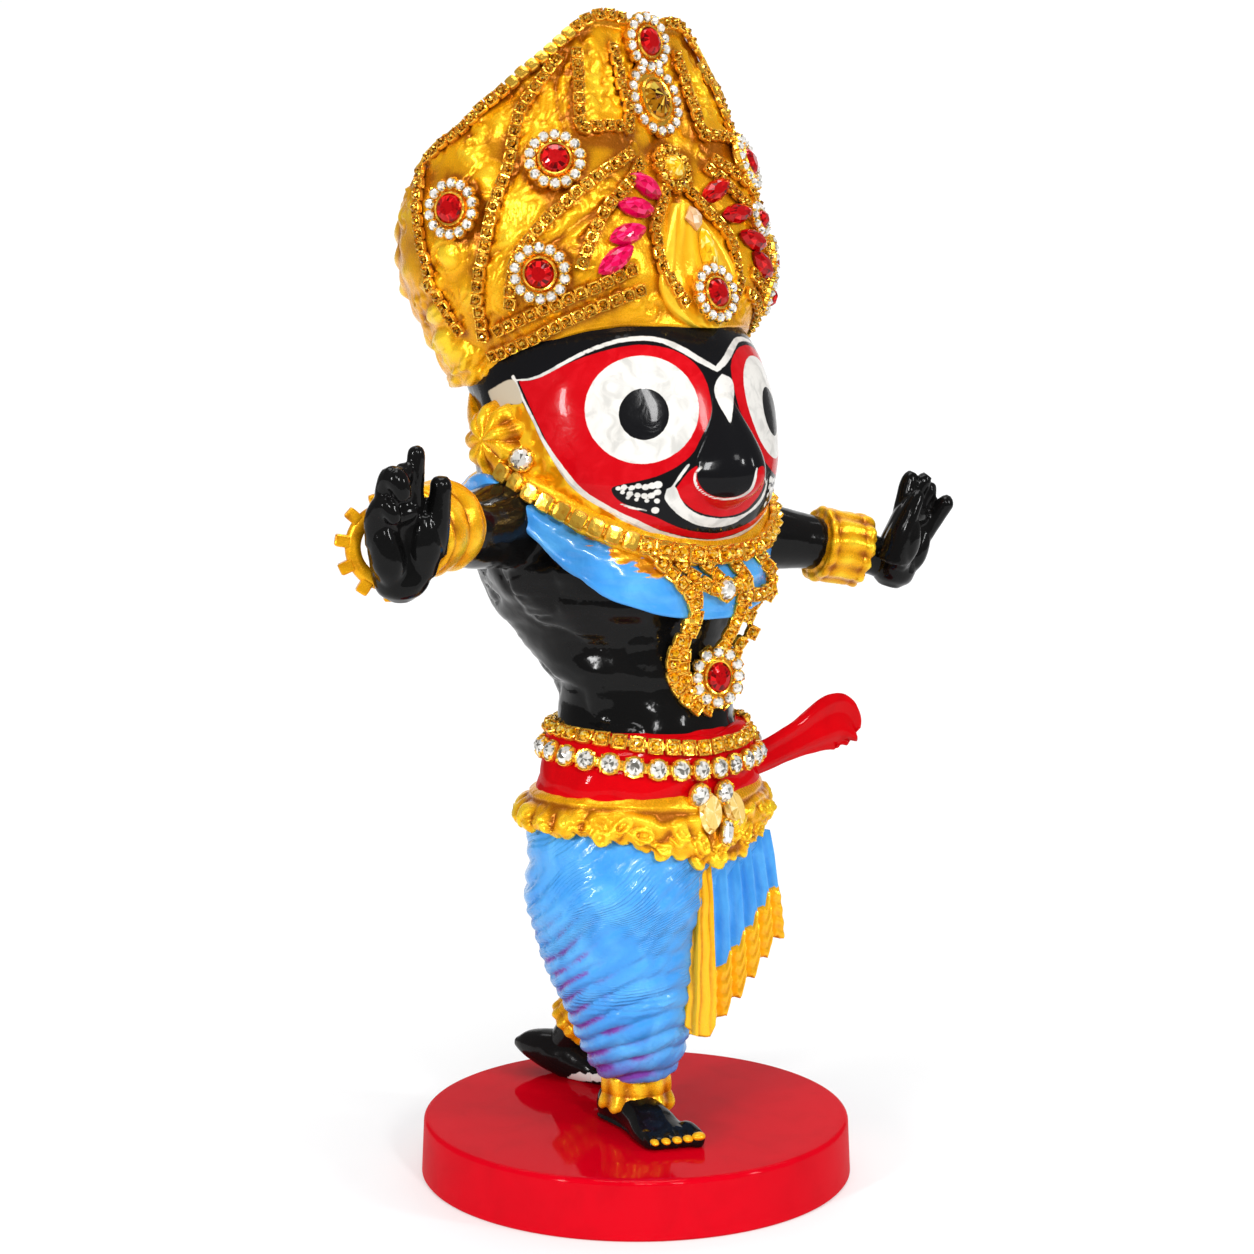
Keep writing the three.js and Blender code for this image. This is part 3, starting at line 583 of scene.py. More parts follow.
TORSO = RingSkin(
    Ring(70, -3.8, 24.6, 19), Ring(80, -3.6, 21.6, 17.3), Ring(88, -3, 19.2, 16.5), Ring(95, -0.5, 19.4, 19),
    Ring(103, 3, 23.6, 22.4), Ring(111, 5.4, 29, 26.4), Ring(119, 6, 32, 27.6), Ring(127, 6.5, 31, 26.5),
    Ring(133, 7, 24, 22),
)
COLLAR = RingSkin(
    Ring(122.6, 4.2, 31, 31, 27), Ring(124.6, 4.2, 33.6, 32.8, 27), Ring(128, 4.4, 33.8, 33, 26),
    Ring(131.5, 4.6, 33.2, 33.2, 25), Ring(134, 4.8, 31, 31, 24),
)
NECK_BAND = RingSkin(
    Ring(133.8, 4.4, 32, 31.6, 32), Ring(135.6, 4.4, 34, 33.6, 32), Ring(139.2, 4.6, 33.6, 33.2, 32),
    Ring(140.8, 4.8, 31.4, 31, 32),
)
PENDANT_HANG = RingSkin(
    Ring(88, -2, 20.4, 19.2), Ring(94, 1, 22.4, 21.4), Ring(104, 2.6, 27, 25.6), Ring(114, 4.2, 32.5, 30),
)
HEAD = RingSkin(
    Ring(120, 4, 24, 25), Ring(127, 4.2, 29, 30.4), Ring(135, 4.8, 32, 33), Ring(144, 5.2, 32.6, 33.2),
    Ring(153, 6, 32.2, 31.8), Ring(161, 7.6, 30.5, 29.4), Ring(168, 9.5, 27, 26),
)
SASH = RingSkin(
    Ring(69, -3.6, 25.6, 18.4), Ring(71.5, -3.8, 26.5, 19.1), Ring(78, -4, 24.8, 18.5),
    Ring(82.6, -3.4, 22.6, 17.9), Ring(84, -3.2, 20.4, 16.1),
)
HIPS = RingSkin(
    Ring(40, 0.5, 15, 12), Ring(47, -2, 21.5, 17.5), Ring(54, -2.8, 27.2, 19.6), Ring(61, -3, 28, 21),
    Ring(68, -3.4, 26, 19.4),
)
CROWN = CrownSkin()


# Node trees


class Tap:
    """A socket that gives one number a point, with arithmetic that adds Math nodes."""

    def __init__(self, board: "Board", socket: bpy.types.NodeSocket) -> None:
        """Keeps the socket and the tree that it is in.

        Args:
            board: the node tree's wrapper.
            socket: the output socket.
        """
        self.board = board
        self.socket = socket

    def _math(self, operation: str, first: object, second: object) -> "Tap":
        """A Math node on two values."""
        return self.board.node("ShaderNodeMath", {"operation": operation}, {0: first, 1: second})

    def __add__(self, other: object) -> "Tap":
        """This plus other."""
        return self._math("ADD", self, other)

    def __radd__(self, other: object) -> "Tap":
        """Other plus this."""
        return self._math("ADD", other, self)

    def __sub__(self, other: object) -> "Tap":
        """This less other."""
        return self._math("SUBTRACT", self, other)

    def __rsub__(self, other: object) -> "Tap":
        """Other less this."""
        return self._math("SUBTRACT", other, self)

    def __mul__(self, other: object) -> "Tap":
        """This times other."""
        return self._math("MULTIPLY", self, other)

    def __rmul__(self, other: object) -> "Tap":
        """Other times this."""
        return self._math("MULTIPLY", other, self)

    def wave(self) -> "Tap":
        """Its sine."""
        return self._math("SINE", self, 0.0)

    def above(self, low: float, high: float) -> "Tap":
        """A smooth step from 0 at low to 1 at high.

        Args:
            low: where the step starts.
            high: where it ends.

        Returns:
            The step.
        """
        settings = {"interpolation_type": "SMOOTHSTEP"}
        return self.board.node(
            "ShaderNodeMapRange", settings, {"Value": self, "From Min": low, "From Max": high},
        )


class Board:
    """A material's node tree, with one method that adds any node."""

    def __init__(self, name: str) -> None:
        """Makes the material with a shader and an output.

        Args:
            name: the material's name.
        """
        self.material = bpy.data.materials.new(name)
        self.material.use_nodes = True
        self.tree = self.material.node_tree
        self.tree.nodes.clear()
        self.shader = self.tree.nodes.new("ShaderNodeBsdfPrincipled")
        output = self.tree.nodes.new("ShaderNodeOutputMaterial")
        self.tree.links.new(self.shader.outputs[0], output.inputs[0])

    def feed(self, socket: bpy.types.NodeSocket, value: object) -> None:
        """Links or sets one input.

        Args:
            socket: the input.
            value: a tap, a number, or the parts of a colour or vector.
        """
        if isinstance(value, Tap):
            self.tree.links.new(value.socket, socket)
        elif isinstance(value, (tuple, list)) and len(value) == 3 and len(socket.default_value) == 4:
            socket.default_value = (*value, 1.0)
        else:
            socket.default_value = value

    def node(
        self, kind: str, settings: dict[str, object] | None = None,
        sockets: dict[object, object] | None = None, output: str | int = 0,
    ) -> Tap:
        """Adds a node.

        Args:
            kind: the node's type.
            settings: its properties, set first.
            sockets: the value or link of each input, by number, identifier or name.
            output: the output that is wanted, by number or name.

        Returns:
            The wanted output.
        """
        made = self.tree.nodes.new(kind)
        for label, value in (settings or {}).items():
            setattr(made, label, value)
        by_identifier = {socket.identifier: socket for socket in made.inputs}
        for label, value in (sockets or {}).items():
            self.feed(by_identifier.get(label) or made.inputs[label], value)
        found = {socket.identifier: socket for socket in made.outputs}
        return Tap(self, found.get(output) or made.outputs[output])

    def mark(self, label: str) -> Tap:
        """The mesh's own value of that name."""
        return self.node("ShaderNodeAttribute", {"attribute_name": label}, output="Fac")

    def place(self) -> Tap:
        """The point's place on the object."""
        return self.node("ShaderNodeTexCoord", output="Object")

    def grain(self, scale: float, detail: float = 3.0, distortion: float = 0.0) -> Tap:
        """Noise on the object from 0 to 1.

        Args:
            scale: how many grains a metre.
            detail: how fine it goes.
            distortion: how much it swirls.

        Returns:
            The noise.
        """
        values = {"Vector": self.place(), "Scale": scale, "Detail": detail, "Distortion": distortion}
        return self.node("ShaderNodeTexNoise", {}, values)

    def mix(self, factor: object, under: object, over: object) -> Tap:
        """A colour between two.

        Args:
            factor: 0 for the first colour and 1 for the second.
            under: the first colour.
            over: the second colour.

        Returns:
            The mixed colour.
        """
        values = {"Factor_Float": factor, "A_Color": under, "B_Color": over}
        return self.node("ShaderNodeMix", {"data_type": "RGBA"}, values, "Result_Color")

    def bump(self, height: Tap, distance: float, strength: float = 1.0) -> Tap:
        """A bumped normal.

        Args:
            height: the bump's height from 0 to 1.
            distance: how high one is, in metres.
            strength: how much of it shows.

        Returns:
            The normal.
        """
        return self.node(
            "ShaderNodeBump", {}, {"Height": height, "Distance": distance, "Strength": strength}, "Normal",
        )

    def finish(self, **values: object) -> bpy.types.Material:
        """Sets the shader's inputs, with spaces in their names written as underscores.

        Args:
            values: the value or link of each input.

        Returns:
            The material.
        """
        for label, value in values.items():
            self.feed(self.shader.inputs[label.replace("_", " ")], value)
        return self.material


# Finishes


@dataclass(frozen=True)
class Finish:
    """A finish that is made once and shared."""

    name: str

    def material(self) -> bpy.types.Material:
        """The finish's material."""
        return bpy.data.materials.get(self.name) or self.made(Board(self.name))

    def made(self, board: Board) -> bpy.types.Material:
        """Fills in the node tree."""
        raise NotImplementedError


@dataclass(frozen=True)
class GlossPaint(Finish):
    """Brushed gloss paint of one hue, a little uneven.

    Args:
        colour: its own colour.
        shade: the colour of its uneven patches.
        roughness: its least roughness.
        ripple: how high its ripples are, in metres.
        grain: how many ripples there are a metre.
        fine: how high its finest grain is, in metres.
        shine: how much its own surface reflects.
        varnish: how much varnish is on it.
        chipped: whether it has come off where the mesh says so.
        bare: the colour of the casting under it.
    """

    colour: Colour
    shade: Colour
    roughness: float = 0.12
    ripple: float = 0.00006
    grain: float = 260.0
    fine: float = 0.000012
    shine: float = 0.15
    varnish: float = 0.0
    chipped: bool = False
    bare: Colour = (0.80, 0.79, 0.75)

    def made(self, board: Board) -> bpy.types.Material:
        """Fills in the node tree."""
        patch = board.grain(self.grain * 0.25, 4.0, 0.6)
        ripple = board.grain(self.grain, 2.0)
        fine = board.grain(self.grain * 9, 3.0)
        normal = board.bump(
            ripple * (1.0 - self.fine / self.ripple) + fine * (self.fine / self.ripple), self.ripple,
        )
        colour = board.mix(patch.above(0.4, 0.75), self.colour, self.shade)
        if self.chipped:
            gone = (board.mark("bare") + (fine - 0.5) * 0.5).above(-0.1, 0.1)
            colour = board.mix(gone, colour, self.bare)
        return board.finish(
            Base_Color=colour, Roughness=self.roughness + patch * 0.08, Normal=normal,
            Specular_IOR_Level=self.shine, Coat_Weight=self.varnish, Coat_Roughness=0.06,
        )


@dataclass(frozen=True)
class GoldPaint(Finish):
    """Pearly gold paint over a carved surface, deeper in its hollows and brighter on its crests.

    Args:
        deep: the painted shade in the hollows.
        middle: the colour between them and the crests.
        crest_highlight: the painted highlight on the crests.
        metallic: how much it reflects as metal.
        roughness: its roughness.
        low: the relief below which it takes the painted shade.
        high: the relief above which it takes the painted highlight.
        high: the relief above which it is a crest.
    """

    deep: Colour = (0.36, 0.10, 0.0005)
    middle: Colour = (0.86, 0.39, 0.004)
    crest_highlight: Colour = (1.0, 0.64, 0.024)
    metallic: float = 0.42
    roughness: float = 0.27
    low: float = -0.65
    high: float = 0.85

    def made(self, board: Board) -> bpy.types.Material:
        """Fills in the node tree."""
        relief = board.mark("relief")
        cloud = board.grain(170.0, 4.0, 0.8)
        fine = board.grain(1500.0, 3.0, 0.4)
        # Painted shade in the hollows and painted highlights on the crests, set by the relief mark
        worked = relief + (cloud - 0.5) * 0.6
        body = board.mix(worked.above(self.low, 0.15), self.deep, self.middle)
        colour = board.mix(worked.above(0.1, self.high), body, self.crest_highlight)
        return board.finish(
            Base_Color=colour,
            Metallic=self.metallic,
            Roughness=self.roughness + (fine - 0.5) * 0.16,
            Normal=board.bump(fine * 0.6 + cloud * 0.4, 0.00016, 0.8),
            Specular_IOR_Level=0.22,
        )


@dataclass(frozen=True)
class DrapedPaint(Finish):
    """Gloss paint on a draped cloth, with purple painted shade in its folds and a gold trim.

    Args:
        colour: the cloth's colour.
        light: the colour of its lighter patches.
        fold: the purple painted shade in its folds.
        trim: the trim's colour, darkened as painted shade where its relief is low.
        trim_highlight: the trim's colour on its crests, a painted highlight.
    """

    colour: Colour = (0.046, 0.29, 0.74)
    light: Colour = (0.095, 0.41, 0.84)
    fold: Colour = (0.17, 0.05, 0.36)
    trim: Colour = (0.56, 0.17, 0.001)
    trim_highlight: Colour = (1.0, 0.53, 0.012)

    def made(self, board: Board) -> bpy.types.Material:
        """Fills in the node tree."""
        cloud = board.grain(120.0, 4.0, 0.5)
        fine = board.grain(1400.0, 3.0, 0.3)
        plain = board.mix(cloud.above(0.35, 0.75), self.colour, self.light)
        # Purple painted shade in the folds
        shaded_in_folds = board.mix((board.mark("fold") + (fine - 0.5) * 0.3).above(0.0, 1.1), plain, self.fold)
        # The trim's relief sets its painted shade and painted highlights
        worked = board.mark("relief") + cloud * 0.5 + fine * 0.3
        gold = board.mix(worked.above(-0.2, 0.75), self.trim, self.trim_highlight)
        colour = board.mix(board.mark("trim").above(-0.08, 0.08), shaded_in_folds, gold)
        brushed = (board.mark("slant") * 5.6 + cloud * 9.0).wave() * board.grain(90.0, 2.0).above(0.4, 0.6)
        return board.finish(
            Base_Color=colour,
            Metallic=board.mark("trim").above(-0.05, 0.05) * 0.4,
            Roughness=0.2 + cloud * 0.12,
            Normal=board.bump(fine * 0.4 + brushed * 0.5, 0.00022, 0.8),
            Specular_IOR_Level=0.2,
            Coat_Weight=0.3,
            Coat_Roughness=0.08,
        )


@dataclass(frozen=True)
class FacePaint(Finish):
    """The painted face: layers of gloss paint, each inside an outline that the mesh carries.

    Args:
        black: the colour of the skin.
        red: the colour round the eyes.
        red_light: that red where it is brushed thin.
        white: the colour of the eyes and lines.
        white_shade: that white where it is brushed thin.
        bare: the colour where the paint is gone.
        gilt: the colour of the gold beside the face, darkened as painted shade where its relief is low.
        gilt_highlight: that gold's colour on its crests, a painted highlight.
    """

    black: Colour = (0.006, 0.006, 0.007)
    red: Colour = (0.52, 0.002, 0.006)
    red_light: Colour = (0.60, 0.006, 0.012)
    white: Colour = (0.74, 0.72, 0.68)
    white_shade: Colour = (0.55, 0.54, 0.51)
    bare: Colour = (0.52, 0.45, 0.34)
    gilt: Colour = (0.74, 0.28, 0.003)
    gilt_highlight: Colour = (1.0, 0.58, 0.02)

    def made(self, board: Board) -> bpy.types.Material:
        """Fills in the node tree."""
        edge = board.grain(900.0, 3.0, 0.5)
        ragged = (edge - 0.5) * 0.22
        brushed = board.grain(240.0, 5.0, 1.2)
        red = board.mix(brushed.above(0.35, 0.8), self.red, self.red_light)
        white = board.mix(brushed.above(0.42, 0.72), self.white, self.white_shade)
        # The gilt's relief sets its painted shade and painted highlights
        worked = board.mark("relief") + (brushed - 0.5) * 1.4
        gold = board.mix(worked.above(-0.3, 0.4), self.gilt, self.gilt_highlight)
        gilded = (board.mark("gilt") + ragged).above(-0.1, 0.1)
        colour = board.mix(gilded, self.black, gold)
        colour = board.mix((board.mark("red") + ragged).above(-0.1, 0.1), colour, red)
        colour = board.mix((board.mark("dark") + ragged).above(-0.08, 0.08), colour, self.black)
        colour = board.mix((board.mark("white") + ragged).above(-0.08, 0.08), colour, white)
        colour = board.mix((board.mark("ink") + ragged).above(-0.06, 0.06), colour, self.black)
        colour = board.mix((board.mark("bare") + ragged).above(-0.15, 0.15), colour, self.bare)
        return board.finish(
            Base_Color=colour,
            Metallic=gilded * (1.0 - (board.mark("red") + ragged).above(-0.5, -0.3)) * 0.4,
            Roughness=0.1 + brushed * 0.12,
            Normal=board.bump(brushed * 0.8 + edge * 0.2, 0.00012, 0.7),
            Specular_IOR_Level=0.05,
            Coat_Weight=0.14,
            Coat_Roughness=0.05,
        )


@dataclass(frozen=True)
class CupMetal(Finish):
    """Plated stone cups and links.

    Args:
        colour: the plating's colour.
        dull: its colour where it is tarnished.
        roughness: its least roughness.
    """

    colour: Colour = (1.0, 0.60, 0.07)
    dull: Colour = (0.78, 0.33, 0.015)
    roughness: float = 0.13

    def made(self, board: Board) -> bpy.types.Material:
        """Fills in the node tree."""
        tarnish = board.grain(700.0, 4.0, 0.5)
        return board.finish(
            Base_Color=board.mix(tarnish.above(0.42, 0.75), self.colour, self.dull),
            Metallic=0.85,
            Roughness=self.roughness + tarnish * 0.15,
            Normal=board.bump(tarnish, 0.00008, 0.6),
        )


@dataclass(frozen=True)
class Stone(Finish):
    """A foil-backed cut stone, whose facets take turns in painted dark and light reflections.

    Args:
        dark: the colour of the facets that reflect nothing.
        body: the stone's own colour.
        light: the colour of the facets that glint.
        metallic: how much it reflects as foil.
        roughness: its least roughness.
        shine: how much its own surface reflects.
    """

    dark: Colour
    body: Colour
    light: Colour
    metallic: float = 0.25
    roughness: float = 0.05
    shine: float = 0.2

    def made(self, board: Board) -> bpy.types.Material:
        """Fills in the node tree."""
        glint = board.mark("glint")
        inner = board.grain(900.0, 2.0, 1.5)
        # Each facet's glint value paints a dark, plain or light reflection into its colour
        worked = glint + (inner - 0.5) * 0.5
        colour = board.mix(worked.above(0.05, 0.4), self.dark, self.body)
        colour = board.mix(worked.above(0.6, 0.95), colour, self.light)
        return board.finish(
            Base_Color=colour,
            Metallic=self.metallic,
            Roughness=self.roughness + inner * 0.05,
            Specular_IOR_Level=self.shine,
            Coat_Weight=0.25,
            Coat_Roughness=0.03,
        )


RED_PLINTH = GlossPaint(
    "plinth_red", (0.57, 0.0004, 0.008), (0.52, 0.0003, 0.007), 0.13, 0.00004, 420.0, 0.00001, 0.0, 0.14,
)
BLACK_SKIN = GlossPaint(
    "skin_black", (0.004, 0.004, 0.004), (0.007, 0.006, 0.006), 0.06, 0.0002, 150.0, 0.00002, 0.15,
)
WORN_BLACK = GlossPaint(
    "skin_black_worn", (0.004, 0.004, 0.004), (0.007, 0.006, 0.006), 0.1, 0.0002, 150.0, 0.00002, 0.15,
    chipped=True,
)
RED_CLOTH = GlossPaint(
    "sash_red", (0.58, 0.001, 0.004), (0.44, 0.0008, 0.003), 0.16, 0.00016, 300.0, 0.00003, 0.0, 0.17,
)
GOLD = GoldPaint("gold_paint")
BRIGHT_GOLD = GoldPaint(
    "bright_gold_paint", (0.62, 0.20, 0.003), (0.90, 0.44, 0.008), (1.0, 0.66, 0.035), 0.3, 0.24, -0.6, 0.7,
)
BLUE = DrapedPaint("dhoti_blue")
FACE = FacePaint("face_paint")
CUP = CupMetal("cup_gold")
AMBER = Stone("cut_amber", (0.30, 0.09, 0.001), (0.95, 0.46, 0.006), (1.0, 0.86, 0.26), 0.5, 0.06, 0.1)
BROWN = Stone("cut_brown", (0.05, 0.012, 0.001), (0.60, 0.22, 0.003), (1.0, 0.72, 0.10), 0.6, 0.05, 0.1)
RUBY = Stone("cut_ruby", (0.10, 0.0, 0.0005), (0.45, 0.0003, 0.002), (0.80, 0.01, 0.012), 0.2)
PINK = Stone("cut_pink", (0.40, 0.0, 0.030), (0.68, 0.001, 0.075), (0.86, 0.03, 0.17), 0.0)
CRYSTAL = Stone("cut_crystal", (0.16, 0.15, 0.13), (0.80, 0.78, 0.73), (1.0, 0.99, 0.97), 0.35, 0.05, 0.5)
YELLOW = Stone("cut_yellow", (0.60, 0.27, 0.004), (0.90, 0.56, 0.012), (1.0, 0.90, 0.30), 0.2)
CHAMPAGNE = Stone("cut_champagne", (0.55, 0.30, 0.04), (0.90, 0.62, 0.18), (1.0, 0.90, 0.52), 0.15)
PEACH = Stone("cut_peach", (0.50, 0.25, 0.10), (0.80, 0.50, 0.26), (0.95, 0.80, 0.62), 0.2)


# Reading the photograph


class Lens:
    """The photograph's camera in the figure's frame, for outlines read off the photo."""

    # The place in millimetres, the focus and middle in pixels, and a pixel's width on the figure
    PLACE = np.array([-354.9, -352.2, 159.8])
    AZIMUTH = math.radians(45)
    DIP = math.radians(6.47)
    FOCUS = 2418.0
    MIDDLE = 627.0
    PIXEL = 0.21

    def photo(self, points: Array) -> Array:
        """The photo pixels that points fall on.

        Args:
            points: one row of x, y, z a point.

        Returns:
            One row of across, down a point.
        """
        ahead = np.array([
            math.sin(self.AZIMUTH) * math.cos(self.DIP), math.cos(self.AZIMUTH) * math.cos(self.DIP),
            -math.sin(self.DIP),
        ])
        across = np.array([math.cos(self.AZIMUTH), -math.sin(self.AZIMUTH), 0.0])
        upward = np.cross(across, ahead)
        offset = points - self.PLACE
        depth = offset @ ahead
        flat = np.stack([offset @ across, -(offset @ upward)], -1)
        return self.MIDDLE + self.FOCUS * flat / depth[..., None]


@dataclass(frozen=True)
class Closeup:
    """An enlarged part of the photo, whose own pixels name the spots in it.

    Args:
        left: the part's left edge in the photo.
        top: its upper edge in the photo.
        zoom: how many of its own pixels one of the photo's has.
    """

    left: float
    top: float
    zoom: float

    def spots(self, photo: Array) -> Array:
        """The enlargement's pixels for photo pixels."""
        return (photo - np.array([self.left, self.top])) * self.zoom


def nearest(spots: Array, line: Array) -> tuple[Array, Array]:
    """How far spots are from a line of points, and where along it they are nearest.

    Args:
        spots: one row of across, down a spot.
        line: one row of across, down a point of the line.

    Returns:
        The distances, and the places along the line from 0 to 1.
    """
    best = np.full(len(spots), 1e9)
    where = np.zeros(len(spots))
    last = len(line) - 1
    for index in range(last):
        start, step = line[index], line[index + 1] - line[index]
        share = np.clip((spots - start) @ step / max(float(step @ step), 1e-9), 0, 1)
        away = np.linalg.norm(spots - start - share[:, None] * step, axis=1)
        closer = away < best
        best[closer] = away[closer]
        where[closer] = (index + share[closer]) / last
    return best, where


def stroke(spots: Array, *line: tuple[float, float, float]) -> Array:
    """How far spots are inside a brush stroke.

    Args:
        spots: one row of across, down a spot.
        line: the stroke's points, each with the stroke's width there.

    Returns:
        The distances, above zero inside.
    """
    rows = np.array(line, float)
    smooth = through(rows, np.linspace(0, 1, 6 * len(rows)))
    away, where = nearest(spots, smooth[:, :2])
    width = np.interp(where, np.linspace(0, 1, len(smooth)), smooth[:, 2])
    return width / 2 - away


def field_of(spots: Array, *outline: tuple[float, float]) -> Array:
    """How far spots are inside a smooth closed outline.

    Args:
        spots: one row of across, down a spot.
        outline: the outline's points.

    Returns:
        The distances, above zero inside.
    """
    rows = np.array([*outline, outline[0]], float)
    smooth = through(rows, np.linspace(0, 1, 5 * len(rows)))
    away, _ = nearest(spots, smooth)
    inside = np.zeros(len(spots), bool)
    for (x0, y0), (x1, y1) in zip(smooth[:-1], smooth[1:]):
        crosses = (y0 > spots[:, 1]) != (y1 > spots[:, 1])
        if y1 != y0:
            inside ^= crosses & (spots[:, 0] < (x1 - x0) * (spots[:, 1] - y0) / (y1 - y0) + x0)
    return np.where(inside, away, -away)


def spot_of(spots: Array, across: float, down: float, wide: float, tall: float) -> Array:
    """How far spots are inside an upright oval.

    Args:
        spots: one row of across, down a spot.
        across: the oval's centre across.
        down: the oval's centre down.
        wide: half its width.
        tall: half its height.

    Returns:
        The distances, above zero inside.
    """
    share = np.hypot((spots[:, 0] - across) / wide, (spots[:, 1] - down) / tall)
    return (1 - share) * min(wide, tall)


LENS = Lens()
FACE_VIEW = Closeup(470, 330, 4.75)
CROWN_VIEW = Closeup(430, 20, 4.127)


# The cast figure


@dataclass(frozen=True)
class Head:
    """The round head with its nose and painted face.

    Args:
        turn: how far the face is turned to the figure's right, in degrees.
        nose_top: the height where the nose starts.
        nose_tip: the height where the nose stands out most.
        nose_width: half the nose's greatest width.
        nose_out: how far the nose stands out.
        bridge: half the nose's width at its top.
        under: how far its tip reaches below its greatest height.
        nape_draw: how much slimmer the nape is than the skin.
        columns: points round the painted part.
        rows: rings from the chin to the crown.
    """

    turn: float = 3.5
    nose_top: float = 153.0
    nose_tip: float = 136.4
    nose_width: float = 8.4
    nose_out: float = 7.6
    bridge: float = 2.4
    under: float = 7.4
    nape_draw: float = 0.085
    columns: int = 276
    rows: int = 105

    AXIS = np.array([0.0, 5.0])
    FACE_REACH = 80
    CHEEK_REACH = 122
    FACE_PLACES = (0.08, 0.8)

    # Outlines of the paint, as pixels across and down the face view
    BARE_EDGE = ((85, 290), (200, 235), (246, 330), (232, 352), (170, 352), (130, 372), (100, 330))
    FIELD_EDGE = (
        (230, 240), (300, 237), (390, 195), (470, 158), (550, 126), (640, 98), (720, 80), (800, 70),
        (880, 75), (950, 90), (1020, 122), (1080, 172), (1118, 235), (1140, 310), (1148, 385),
        (1130, 445), (1098, 510), (1062, 580), (1010, 630), (940, 672), (870, 700), (780, 722),
        (690, 742), (672, 762), (700, 805), (790, 855), (880, 888), (960, 925), (1040, 952), (1150, 965),
        (1240, 962), (1330, 940), (1330, 975), (1240, 992), (1150, 994), (1070, 987), (1000, 976),
        (930, 958), (860, 935), (760, 895), (680, 855), (600, 808), (520, 750), (470, 705), (420, 630),
        (370, 540), (320, 440), (270, 330),
    )
    LIPS_EDGE = (
        (1085, 640), (1040, 672), (1002, 720), (976, 762), (1000, 800), (1050, 845), (1110, 873),
        (1200, 886), (1290, 866), (1350, 815), (1392, 745), (1400, 655), (1372, 655), (1358, 710),
        (1330, 755), (1280, 786), (1210, 797), (1150, 786), (1108, 758), (1082, 715), (1078, 675),
    )
    MOUTH_EDGE = (
        (1085, 612), (1035, 622), (1000, 650), (940, 680), (870, 705), (780, 727), (690, 745), (675, 765),
        (700, 800), (790, 850), (880, 885), (960, 920), (1040, 948), (1150, 960), (1240, 955),
        (1330, 930), (1330, 850), (1290, 875), (1200, 895), (1110, 882), (1050, 853), (1000, 808),
        (968, 765), (995, 718), (1035, 668),
    )
    CRESCENT_EDGE = (
        (935, 755), (975, 745), (1000, 800), (1030, 840), (1070, 868), (1120, 886), (1200, 895),
        (1290, 878), (1350, 835), (1392, 775), (1412, 705), (1405, 765), (1372, 832), (1310, 882),
        (1240, 924), (1160, 938), (1080, 926), (1010, 892), (960, 850), (925, 800),
    )
    TILAK_EDGE = (
        (1197, 208), (1172, 240), (1160, 290), (1180, 350), (1213, 405), (1237, 442), (1246, 400),
        (1252, 340), (1254, 280), (1240, 230),
    )
    GILT_EDGE = (
        (250, 345), (300, 440), (345, 535), (400, 625), (470, 715), (560, 800), (700, 880), (880, 970),
        (1000, 1010), (1150, 1020), (1330, 1000), (1330, 1200), (900, 1200), (600, 1100), (350, 900),
        (180, 720), (130, 560), (110, 440), (150, 370), (230, 350),
    )
    # The spots beside the mouth, as across, down and size
    SCROLL = (
        (704, 753, 13), (733, 746, 15), (768, 750, 15), (800, 741, 16), (834, 746, 18), (864, 740, 19),
        (894, 735, 21), (724, 771, 12), (759, 779, 16), (795, 785, 15), (830, 788, 17), (862, 786, 18),
        (891, 771, 17), (750, 797, 10), (790, 806, 10), (840, 811, 12), (888, 812, 15), (880, 857, 19),
    )

    def turned(self, points: Array, degrees: float) -> Array:
        """Points turned about the head's axis towards the figure's right."""
        cosine, sine = math.cos(math.radians(degrees)), math.sin(math.radians(degrees))
        level = (points[:, :2] - self.AXIS) @ np.array([[cosine, -sine], [sine, cosine]]) + self.AXIS
        return np.concatenate([level, points[:, 2:]], 1)

    def nose(self, points: Array) -> Array:
        """How far the nose lifts each point of a face that looks straight ahead.

        Args:
            points: one row of x, y, z a point.

        Returns:
            The lifts.
        """
        z = points[:, 2]
        share = 1 - eased(self.nose_tip, self.nose_top + 2.0, z)
        width = self.bridge + (self.nose_width - self.bridge) * share ** 1.5
        under = np.clip((self.nose_tip - z) / self.under, 0, 1)
        away = np.hypot(points[:, 0] / width, under)
        lift = self.nose_out * share * np.clip(1 - away ** 2, 0, 1) ** 0.85
        return lift * (points[:, 1] < self.AXIS[1])

